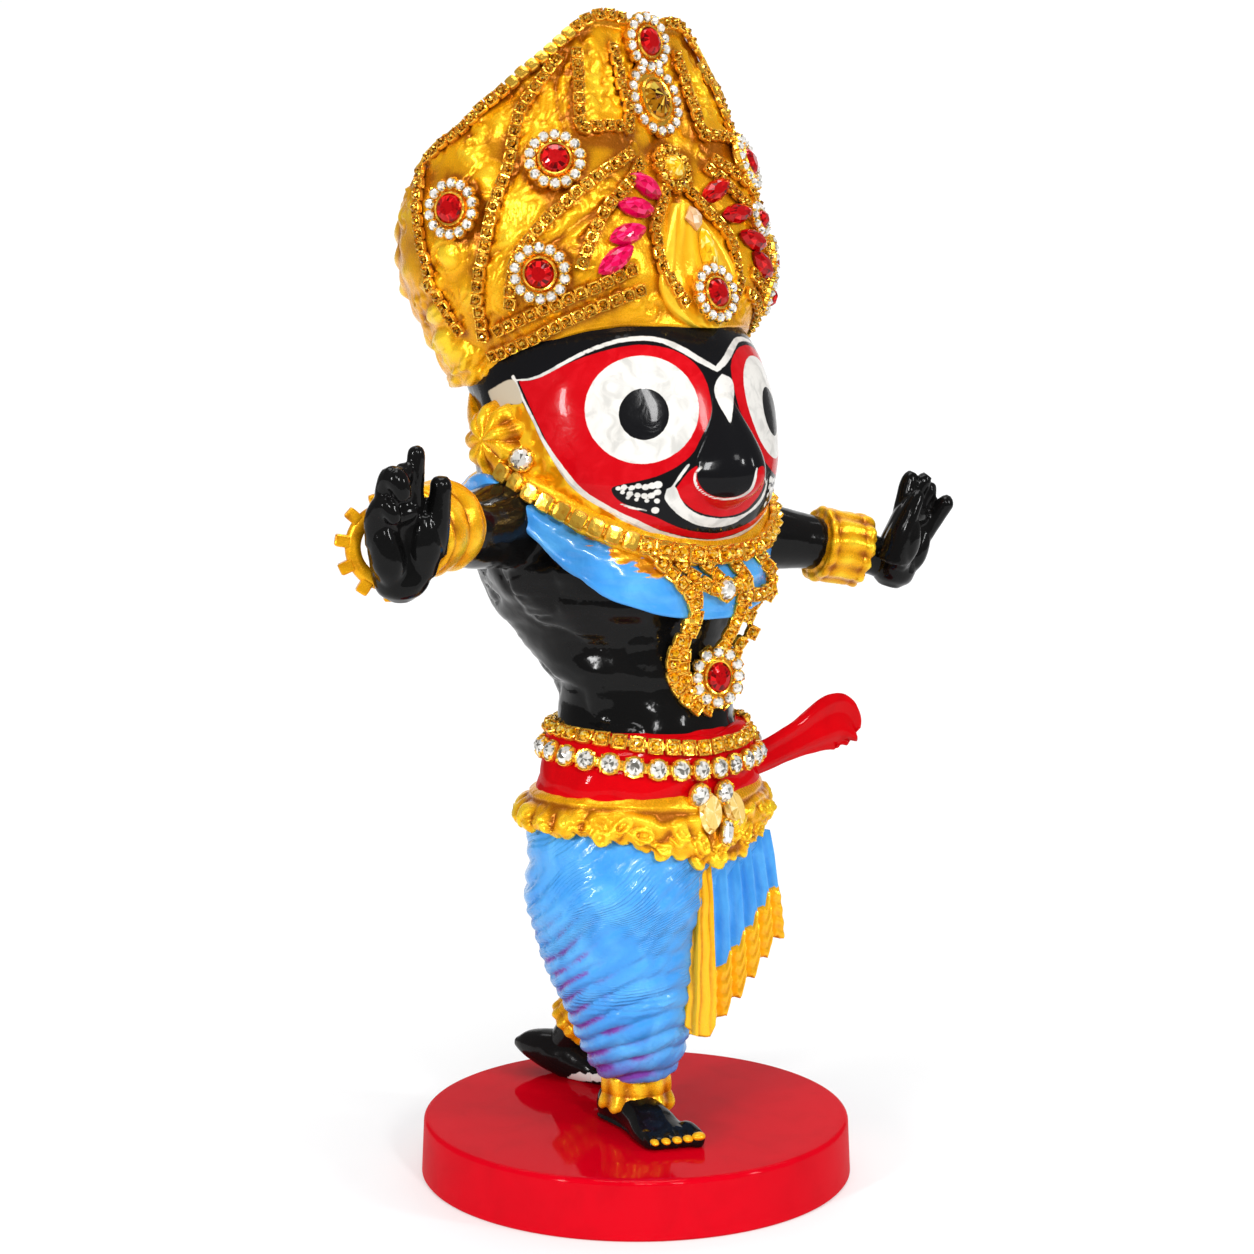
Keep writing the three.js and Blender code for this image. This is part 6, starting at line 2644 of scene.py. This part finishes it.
def joining_link(start: Array, end: Array, out: Array, width: float, height: float) -> Shape:
    """The narrow metal link between two cups.

    Args:
        start: the first cup's seat.
        end: the second cup's seat.
        out: away from the figure.
        width: the link's width.
        height: how high it stands.

    Returns:
        The link.
    """
    ahead = unit(end - start)
    side = unit(np.cross(ahead, out))
    ring = ((-1, 0.1), (1, 0.1), (1, 0.8), (0.5, 1), (-0.5, 1), (-1, 0.8))
    rows = [
        np.array([spot + side * a * width / 2 + out * b * height for a, b in ring])
        for spot in (start, (start + end) / 2 + out * height * 0.2, end)
    ]
    return closed_grid(np.array(rows))


# A part of a chain that no cup of it is in
NOWHERE = (2.0, 2.0)


@dataclass(frozen=True)
class Jeweller:
    """Glues cups, flowers and stones to the figure, each in place of its CAD node.

    Args:
        seats: where they go.
    """

    seats: Seats

    # The widths of a flower's small stones together, over its own width
    HALO_SHARE = 2.62

    def piece(self, shapes: Sequence[Shape], node: str, finishes: Sequence[Finish], slot: str) -> None:
        """Puts one glued piece in the scene.

        Args:
            shapes: what it is made of.
            node: the CAD node that it stands for.
            finishes: its finishes.
            slot: a slot name, which it passes on to put.
        """
        put(gathered(shapes), node + "_piece", finishes, slot, [node], Shading.FACETED)

    def chain(
        self, node: str, skin: Skin, route: Sequence[tuple[float, float]], link: CupLink, pitch: float,
        finishes: Sequence[Finish], slot: str = "gold_cups", plain: tuple[float, float] = NOWHERE,
        turned: float = 0.0,
    ) -> None:
        """Glues a chain of cups along a route.

        Args:
            node: the CAD node that it stands for.
            skin: the skin that the route is on.
            route: its turning points, as angle and place.
            link: the cup.
            pitch: from cup to cup.
            finishes: the chain's finishes.
            slot: a slot name, which it passes on.
            plain: the part of the route whose links hold no stone.
            turned: how far its cups turn to the figure's right front.
        """
        seats = self.seats.walk(skin, route, pitch)
        for seat in seats:
            seat.out = unit(seat.out + turned * np.array([-0.9, -0.6, 0.0]))
        chance = np.random.default_rng(len(node) * 31 + len(seats))
        shapes = []
        for index, seat in enumerate(seats):
            share = index / (len(seats) - 1)
            if plain[0] < share < plain[1]:
                shapes.append(seat.place(link.plain(pitch)))
                continue
            tipped = Seat(seat.point, unit(seat.out + 0.1 * (chance.random(3) - 0.5)), seat.up)
            shapes.append(tipped.place(link.shape(index + 100 * len(node)), float(chance.normal(0, 4))))
        for before, after in zip(seats[:-1], seats[1:]):
            shapes.append(
                joining_link(before.point, after.point, before.out, link.width * 0.42, link.height * 0.4),
            )
        self.piece(shapes, node, finishes, slot)

    def flower(
        self, node: str, skin: Skin, angle: float, place: float, diameter: float, height: float,
        stone: Finish, slot: str, halo: Finish = CRYSTAL, petals: int = 14, tall: float = 1.0,
        share: float = 0.5, star: float = 0.3, turned: float = 0.0,
    ) -> None:
        """Glues a stone in a bezel with a ring of small stones round it.

        Args:
            node: the CAD node that it stands for.
            skin: the skin that it sits on.
            angle: its angle there.
            place: its place there.
            diameter: its width.
            height: how high its stone stands.
            stone: the stone's finish.
            slot: a slot name, which it passes on.
            halo: the small stones' finish.
            petals: how many small stones it has.
            tall: the middle stone's length over its width.
            share: the middle stone's share of the diameter.
            star: how much the facets of its table differ.
            turned: how far it turns to the figure's right.
        """
        seat = self.seats.on(skin, angle, place)
        seat.point = seat.point + seat.out * 3.0 * turned
        seat.out = unit(seat.out - turned * np.array([1.0, 0.0, 0.0]))
        small = diameter * self.HALO_SHARE / petals
        reach = diameter / 2 - small * 0.5
        middle = diameter * share
        base = cup_ring(
            round_outline, diameter * 0.86, diameter * 0.86, height * 0.42, diameter * 0.12, 0, 40,
        )
        bezel = cup_ring(
            round_outline, middle * 1.12, middle * 1.12 * tall, height * 0.74, middle * 0.08, 0, 40,
        )
        gem = cut_stone(
            round_outline, middle * 0.98, middle * 0.98 * tall, height * 0.45, height, 16, 1,
            len(node) * 7, 0.46, 0.42, star,
        )
        shapes = [seat.place(part) for part in (base, bezel, gem)]
        for index in range(petals):
            turn = 360.0 * index / petals
            cup = cup_ring(
                round_outline, small * 1.1, small * 1.1, height * 0.55, small * 0.12, 3, 10, height * 0.2,
            )
            bead = cut_stone(
                round_outline, small * 0.98, small * 0.98, height * 0.4, height * 0.74, 8, 2, index, 0.5,
                0.7, 0.9,
            )
            petal = gathered([cup, bead])
            petal.points[:, 1] += reach * (1 + (tall - 1) * 0.6 * abs(math.cos(math.radians(turn))))
            shapes.append(seat.place(petal, turn))
        self.piece(shapes, node, [CUP, stone, halo], slot)

    def stone(
        self, node: str, seat: Seat, outline: Outline, wide: float, long: float, height: float,
        finish: Finish, slot: str, sides: int = 12, cup: bool = True, table: float = 0.56,
        core: float = 0.5,
    ) -> None:
        """Glues one stone, in a cup or bare.

        Args:
            node: the CAD node that it stands for.
            seat: where it sits.
            outline: its outline.
            wide: its width.
            long: its length.
            height: how high it stands.
            finish: its finish.
            slot: a slot name, which it passes on.
            sides: how many facets go round it.
            cup: whether a metal cup holds it.
            table: the table's share of the width.
            core: how much painted glint its table has.
        """
        shapes = []
        if cup:
            shapes.append(
                seat.place(cup_ring(outline, wide, long, height * 0.6, min(wide, long) * 0.09, 6, 24)),
            )
        size = 0.86 if cup else 1.0
        low = height * 0.3 if cup else 0.0
        shapes.append(seat.place(
            cut_stone(outline, wide * size, long * size, low, height, sides, 1, len(node), table, core, 0.6),
        ))
        self.piece(shapes, node, [CUP, finish], slot)


Route = tuple[tuple[float, float], ...]


@dataclass(frozen=True)
class CrownTrims:
    """The crown's chains, flowers and stones.

    Args:
        cup: the chains' cup.
        pitch: from cup to cup.
        diameter: the large flowers' width.
        height: how high their stones stand.
    """

    CHAINS: tuple[tuple[str, Route], ...] = (
        ("ridge_chain", ((99, 0.91), (80, 0.955), (65, 0.965), (48, 0.97), (22, 0.975))),
        ("rear_chain", ((100, 0.83), (97, 0.61), (96, 0.475), (93, 0.33), (88, 0.19))),
        ("side_chain", ((57, 0.9), (67, 0.8), (68, 0.58), (72, 0.45), (77, 0.25), (79, 0.14))),
        ("rim_chain_lower", ((78, 0.07), (60, 0.045), (47, 0.06), (36, 0.095), (27, 0.13))),
        ("rim_chain_upper", ((73, 0.13), (54, 0.125), (42, 0.15), (30, 0.2))),
        ("outer_arch_chain", ((67, 0.19), (64, 0.31), (55, 0.375), (40, 0.45), (27, 0.52))),
        ("inner_arch_chain", ((45, 0.235), (42, 0.31), (38, 0.37), (31, 0.42), (22, 0.5))),
        ("panel_chain", ((28, 0.86), (24, 0.6), (46, 0.585), (48, 0.86))),
        ("leaf_chain", ((9, 0.44), (20, 0.33), (19, 0.2), (12, 0.09))),
    )
    FLOWERS: tuple[tuple[float, float], ...] = ((54, 0.52), (83, 0.545), (57, 0.24), (0, 0.735), (0, 0.515))
    POINTED = ((21, 0.44), (27, 0.375), (31, 0.305), (35, 0.235))
    BARE_RIDGE = (0.42, 0.8)
    cup: CupLink = CupLink(2.55, 1.7, share=0.66)
    pitch: float = 2.6
    diameter: float = 12.2
    height: float = 3.4

    def build(self, jeweller: Jeweller) -> None:
        """Glues the trims to the crown.

        Args:
            jeweller: who glues them.
        """
        for side, sign in (("right", 1), ("left", -1)):
            for label, route in self.CHAINS:
                mirrored = [(sign * angle, place) for angle, place in route]
                plain = self.BARE_RIDGE if label == "ridge_chain" else NOWHERE
                jeweller.chain(
                    f"{label}_{side}", CROWN, mirrored, self.cup, self.pitch, [CUP, BROWN], plain=plain,
                )
            self.flower(jeweller, f"upper_{side}", sign * (54 if sign > 0 else 44), 0.52)
            self.flower(jeweller, f"rear_{side}", sign * 83, 0.545)
            self.flower(jeweller, f"lower_{side}", sign * 57, 0.24 if sign > 0 else 0.29)
            finish, slot = (PINK, "pink_stone") if sign > 0 else (RUBY, "red_stone")
            for index, (angle, place) in enumerate(self.POINTED):
                seat = jeweller.seats.on(CROWN, sign * angle, place, (-sign, 0, 0.55 - 0.4 * index))
                name = f"crown_pointed_stone_{side}_{index + 1}"
                jeweller.stone(name, seat, pointed_outline, 4.3, 9.4, 2.4, finish, slot, 12, False, 0.5)
        self.flower(jeweller, "top", 0, 0.93)
        jeweller.flower(
            "crown_flower_amber", CROWN, 0, 0.735, 14.5, self.height, BROWN, "amber_stone", petals=16,
            tall=1.15, star=1.2,
        )
        jeweller.flower(
            "crown_flower_yellow", CROWN, 0, 0.515, 10.4, self.height, YELLOW, "yellow_stone", BROWN, 12,
            star=1.0,
        )
        self.flower(jeweller, "leaf", 0, 0.115)
        for label, angle, place in (("upper", -38, 0.36), ("lower", -46, 0.15)):
            jeweller.flower(
                f"crown_flower_small_{label}", CROWN, angle, place, 8.0, self.height, RUBY, "red_stone",
                petals=10,
            )
        drop = jeweller.seats.on(CROWN, -2, 0.265)
        jeweller.stone(
            "leaf_drop_stone", drop, drop_outline, 4.6, 9.6, 2.4, YELLOW, "yellow_stone", 12, False, 0.45,
        )
        diamond = jeweller.seats.on(CROWN, 0, 0.36)
        jeweller.stone(
            "leaf_diamond_stone", diamond, pointed_outline, 4.6, 5.4, 1.6, PEACH, "white_stone", 4, False,
        )

    def flower(self, jeweller: Jeweller, label: str, angle: float, place: float) -> None:
        """Glues one of the large red flowers."""
        jeweller.flower(
            f"crown_flower_{label}", CROWN, angle, place, self.diameter, self.height, RUBY, "red_stone",
        )


@dataclass(frozen=True)
class BodyTrims:
    """The neck chain, ear stones, pendant and belt.

    Args:
        neck: the neck chain's cup.
        pendant: the pendant strands' cup.
        belt: the upper belt's cup.
        belt_stone: the lower belt's cup.
    """

    neck: CupLink = CupLink(3.8, 2.3, share=0.6, core=0.6)
    pendant: CupLink = CupLink(3.0, 1.9, share=0.68, core=0.4)
    belt: CupLink = CupLink(3.3, 1.7, share=0.7, core=0.6)
    belt_stone: CupLink = CupLink(4.6, 2.1, round_outline, share=0.86, core=0.2, facets=12)

    def build(self, jeweller: Jeweller) -> None:
        """Glues the trims to the body.

        Args:
            jeweller: who glues them.
        """
        on = jeweller.seats.on
        around = tuple((float(angle), 0.5) for angle in range(86, -87, -43))
        jeweller.chain("neck_chain", NECK_BAND, around, self.neck, 3.6, [CUP, AMBER], plain=(-1.0, 0.3))
        for side, angle in (("right", 81), ("left", -81)):
            seat = on(HEAD, angle, 0.41)
            seat.out = unit(seat.out + np.array([0.0, -0.7, 0.0]))
            jeweller.stone(
                f"ear_stone_{side}", seat, round_outline, 5.2, 5.2, 2.4, CRYSTAL, "white_stone", core=0.3,
            )
        jeweller.stone(
            "collar_stone", on(COLLAR, 0, 0.45), round_outline, 5.2, 5.2, 2.2, CRYSTAL, "white_stone",
        )
        jeweller.flower(
            "pendant_flower", TORSO, -4, 0.37, 11.4, 3.4, RUBY, "red_stone", petals=12, tall=1.25,
            share=0.46, turned=0.55,
        )
        strands = {
            "right": (
                (PENDANT_HANG, 0.0, ((14, 0.98), (14, 0.74), (19, 0.62), (17, 0.44), (13, 0.25), (0, 0.02))),
                (PENDANT_HANG, 0.0, ((17, 0.72), (23, 0.58), (22, 0.4), (18, 0.2), (9, 0.05))),
                (DRAPED_COLLAR, 0.0, ((30, 0.9), (21, 0.7), (13, 0.45), (14, 0.15))),
                (DRAPED_COLLAR, 0.0, ((22, 0.95), (15, 0.75), (6, 0.6), (-6, 0.62))),
                (DRAPED_COLLAR, 0.0, ((12, 0.95), (4, 0.75), (0, 0.62))),
            ),
            "left": (
                (PENDANT_HANG, 0.5, ((-12, 0.98), (-11, 0.8), (-6, 0.6), (-2, 0.5))),
                (
                    PENDANT_HANG, 1.0,
                    ((-40, 0.97), (-39, 0.8), (-37, 0.6), (-34, 0.4), (-28, 0.18), (-18, 0.06)),
                ),
                (DRAPED_COLLAR, 0.5, ((-6, 0.62), (-14, 0.45), (-24, 0.35), (-36, 0.3))),
                (DRAPED_COLLAR, 0.4, ((-4, 0.95), (-10, 0.72), (-14, 0.5), (-12, 0.2))),
                (DRAPED_COLLAR, 1.0, ((-22, 0.95), (-28, 0.7), (-36, 0.5), (-40, 0.2))),
            ),
        }
        for side, rows in strands.items():
            for skin, turned, route in rows:
                jeweller.chain(
                    f"pendant_strand_{side}", skin, route, self.pendant, 2.9, [CUP, AMBER], turned=turned,
                )
        route = (
            (-45, 0.66), (-20, 0.63), (10, 0.62), (36, 0.67), (60, 0.75), (100, 0.84), (180, 0.8),
            (293, 0.72),
        )
        jeweller.chain("belt_chain", SASH, route, self.belt, 3.5, [CUP, AMBER])
        route = ((-45, 0.45), (8, 0.43), (33, 0.46), (65, 0.53), (103, 0.58), (180, 0.54), (293, 0.5))
        jeweller.chain("belt_stone_row", SASH, route, self.belt_stone, 4.8, [CUP, CRYSTAL], "white_stone")
        for side, sign in (("right", 1), ("left", -1)):
            drop = on(SASH, 4.5 + sign * 7, 0.24)
            jeweller.stone(
                f"belt_drop_{side}", drop, round_outline, 5.2, 5.2, 2.2, CRYSTAL, "white_stone", core=0.2,
            )
            leaf = on(HIP_SKIN, sign * 7.5, 0.7, (sign * 0.2, 0, 1))
            jeweller.stone(
                f"belt_leaf_{side}", leaf, leaf_outline, 5.4, 8.6, 1.6, CHAMPAGNE, "yellow_stone", 20, False,
                0.8,
            )
        tip = on(HIP_SKIN, 0, 0.5)
        tip.up = np.array([0.35, 0.0, 1.0])
        jeweller.stone(
            "belt_diamond", tip, square_outline, 3.4, 5.8, 1.8, CRYSTAL, "white_stone", 8, True, 0.5,
        )


# Studio


@dataclass(frozen=True)
class Softbox:
    """A large soft light that points at the figure.

    Args:
        name: the light's name.
        place: where it is, in metres.
        size: its width and height.
        power: its power.
        aim: what it points at.
    """

    name: str
    place: tuple[float, float, float]
    size: tuple[float, float]
    power: float
    aim: tuple[float, float, float] = (0.0, 0.0, 0.12)

    def build(self) -> None:
        """Puts the light in the scene."""
        data = bpy.data.lights.new(self.name, "AREA")
        data.shape = "RECTANGLE"
        data.size, data.size_y = self.size
        data.energy = self.power
        lamp = linked(self.name, data)
        lamp.location = self.place
        lamp.rotation_euler = (Vector(self.aim) - Vector(self.place)).to_track_quat("-Z", "Y").to_euler()


@dataclass(frozen=True)
class Paper(Finish):
    """White studio paper.

    Args:
        tone: its own brightness.
        glow: how much it is lit from behind.
    """

    tone: float = 0.55
    glow: float = 0.38

    def made(self, board: Board) -> bpy.types.Material:
        """Fills in the node tree."""
        fibre = board.grain(90.0, 4.0)
        return board.finish(
            Base_Color=board.mix(fibre, (self.tone,) * 3, (self.tone * 0.985,) * 3),
            Roughness=0.85 + fibre * 0.08,
            Emission_Color=(1.0, 1.0, 1.0), Emission_Strength=self.glow,
        )


@dataclass(frozen=True)
class Studio:
    """The white sweep, the lights and the camera.

    Args:
        front: how far the paper reaches in front of the figure.
        width: half its width.
        reach: how high it goes.
        bend: the radius of its bend.
        flat: where its bend starts behind the figure.
        world: the brightness of the light from all sides.
        sensor: the width of the camera's sensor, in millimetres.
    """

    front: float = 0.32
    width: float = 0.95
    reach: float = 2.4
    bend: float = 0.8
    flat: float = 1.2
    world: float = 0.24
    sensor: float = 36.0

    def sweep(self) -> None:
        """A sheet of paper that runs under the figure and up behind it."""
        cosine, sine = math.cos(Lens.AZIMUTH), math.sin(Lens.AZIMUTH)
        profile = [(-self.front, 0.0), (self.flat / 2, 0.0), (self.flat, 0.0)]
        for bend in np.radians(np.arange(10, 91, 10)):
            profile.append((self.flat + self.bend * math.sin(bend), self.bend * (1 - math.cos(bend))))
        profile.append((self.flat + self.bend, self.reach))
        points = [
            (side * cosine + ahead * sine, ahead * cosine - side * sine, rise)
            for ahead, rise in profile for side in (-self.width, self.width)
        ]
        faces = [(2 * i, 2 * i + 1, 2 * i + 3, 2 * i + 2) for i in range(len(profile) - 1)]
        mesh = bpy.data.meshes.new("paper_sweep")
        mesh.from_pydata(points, [], faces)
        mesh.materials.append(Paper("studio_paper").material())
        mesh.shade_smooth()
        linked("paper_sweep", mesh)

    def camera(self) -> None:
        """The camera at the photograph's place."""
        data = bpy.data.cameras.new("camera")
        data.sensor_width = self.sensor
        data.lens = self.sensor * Lens.FOCUS / (2 * Lens.MIDDLE)
        holder = linked("camera", data)
        holder.location = (Lens.PLACE + np.array([0, 0, FIGURE_FLOOR])) * MM
        holder.rotation_euler = (math.pi / 2 - Lens.DIP, 0.0, -Lens.AZIMUTH)
        bpy.context.scene.camera = holder

    def build(self) -> None:
        """Sets the studio up."""
        self.sweep()
        self.camera()
        lights = (
            Softbox("window_left", (-1.15, -0.12, 0.42), (0.1, 0.34), 7.5),
            Softbox("key", (-0.85, -1.05, 1.0), (0.3, 0.3), 3.6),
            Softbox("sparkle", (-0.5, -1.2, 0.66), (0.12, 0.28), 7.0),
            Softbox("right", (0.5, -1.3, 0.62), (0.12, 0.4), 6.5),
            Softbox("top", (-0.1, -0.1, 1.5), (0.7, 0.7), 9.2),
            Softbox("backdrop", (0.55, 0.45, 1.3), (1.6, 0.8), 18.0, (1.2, 1.2, 0.5)),
        )
        for light in lights:
            light.build()
        world = bpy.data.worlds.new("studio_world")
        world.use_nodes = True
        background = world.node_tree.nodes["Background"]
        background.inputs["Color"].default_value = (1.0, 1.0, 1.0, 1.0)
        background.inputs["Strength"].default_value = self.world
        bpy.context.scene.world = world
        bpy.context.scene.view_settings.view_transform = "Standard"


def main() -> None:
    """Builds the studio, then the figure from the plinth up, then its stones."""
    logging.basicConfig(level=logging.INFO, format="%(name)s %(message)s")
    Studio().build()
    Plinth().build()
    Foot("foot_right", stations(
        (-5.4, 3.2, 2.6, 2), (-6, 0.6, 3, 4.2), (-7, -4.5, 3.4, 4.6), (-8.6, -11, 2.6, 4.6, -0.1),
        (-10.8, -17.6, 1.4, 5.6, -0.45), (-12.1, -22, 0.9, 5.7, -0.6), (-12.4, -23.2, 0.7, 3.8, -0.62),
    ), 1, True).build()
    Foot("foot_left", stations(
        (3.4, 41.4, 5.6, 1.0), (4.2, 38.2, 5.5, 2.9), (6, 33, 5, 4.6), (8, 26.5, 3.6, 5),
        (10, 20.5, 1.8, 5.4, -0.4), (11.2, 16.4, 1, 5, -0.55), (11.8, 14.4, 0.8, 3.8, -0.55),
    ), -1, False, True).build()
    Ruffle("anklet_right", stations(
        (-5, -5, 12.2, 6.4), (-5, -5, 10, 6.9), (-5.2, -5.2, 6.4, 7.2), (-5.2, -5.3, 3.6, 7.4),
        (-5.2, -5.3, 3.0, 5.6),
    ), 2.0, 0.4, 9, 0.4).build()
    Ruffle("anklet_left", stations(
        (9, 22.4, 16.2, 5.2), (8.8, 23.2, 15.2, 6.5), (8.3, 25.8, 12, 6.9), (8.1, 26.6, 11, 5.4),
    ), 2.0, 0.35, 14, 0.2).build()
    shin = limb(stations((10, 13, 28, 5), (9, 21, 18, 4.8), (7.6, 30, 5.4, 4.4)), sides=48, rows=40)
    put(shin, "shin_left", [BLACK_SKIN])
    Dhoti().build()
    FrontPleats().build()
    body = Body().build()
    Ruffle("cuff_right", stations(
        (-52.2, -1.4, 127.4, 6.8), (-53.4, -1.8, 127.3, 8.7), (-58, -3.2, 126.9, 8.3),
        (-63.8, -5.4, 126.2, 8.4), (-65.4, -6, 126, 6.6),
    ), 4.0, 0.6, 7, 0.12).build()
    Ruffle("cuff_left", stations(
        (54, -2.2, 117.8, 6.4), (55, -2.6, 117.6, 8.2), (59, -4.3, 116.8, 7.8), (63.6, -6.6, 115.8, 8),
        (65, -7.4, 115.4, 6.2),
    ), 3.0, 0.5, 12, 0.3).build()
    StudRing("studs_right", (-72.6, -8.2, 124.4), (-0.55, -0.83, 0.0)).build()
    sash = waist_sash().build()
    SashEnd().build()
    hip = hip_cloth().build()
    collar = collar_band().build()
    neck = neck_trim().build()
    head = Head().build()
    ears = [Ear(-1), Ear(1)]
    for ear in ears:
        ear.build()
    crown, leaf = Crown().build()
    seats = Seats(crown, leaf, head, *[ear.shape() for ear in ears], collar, neck, body, sash, hip)
    jeweller = Jeweller(seats)
    CrownTrims().build(jeweller)
    BodyTrims().build(jeweller)


if __name__ == "__main__":
    main()
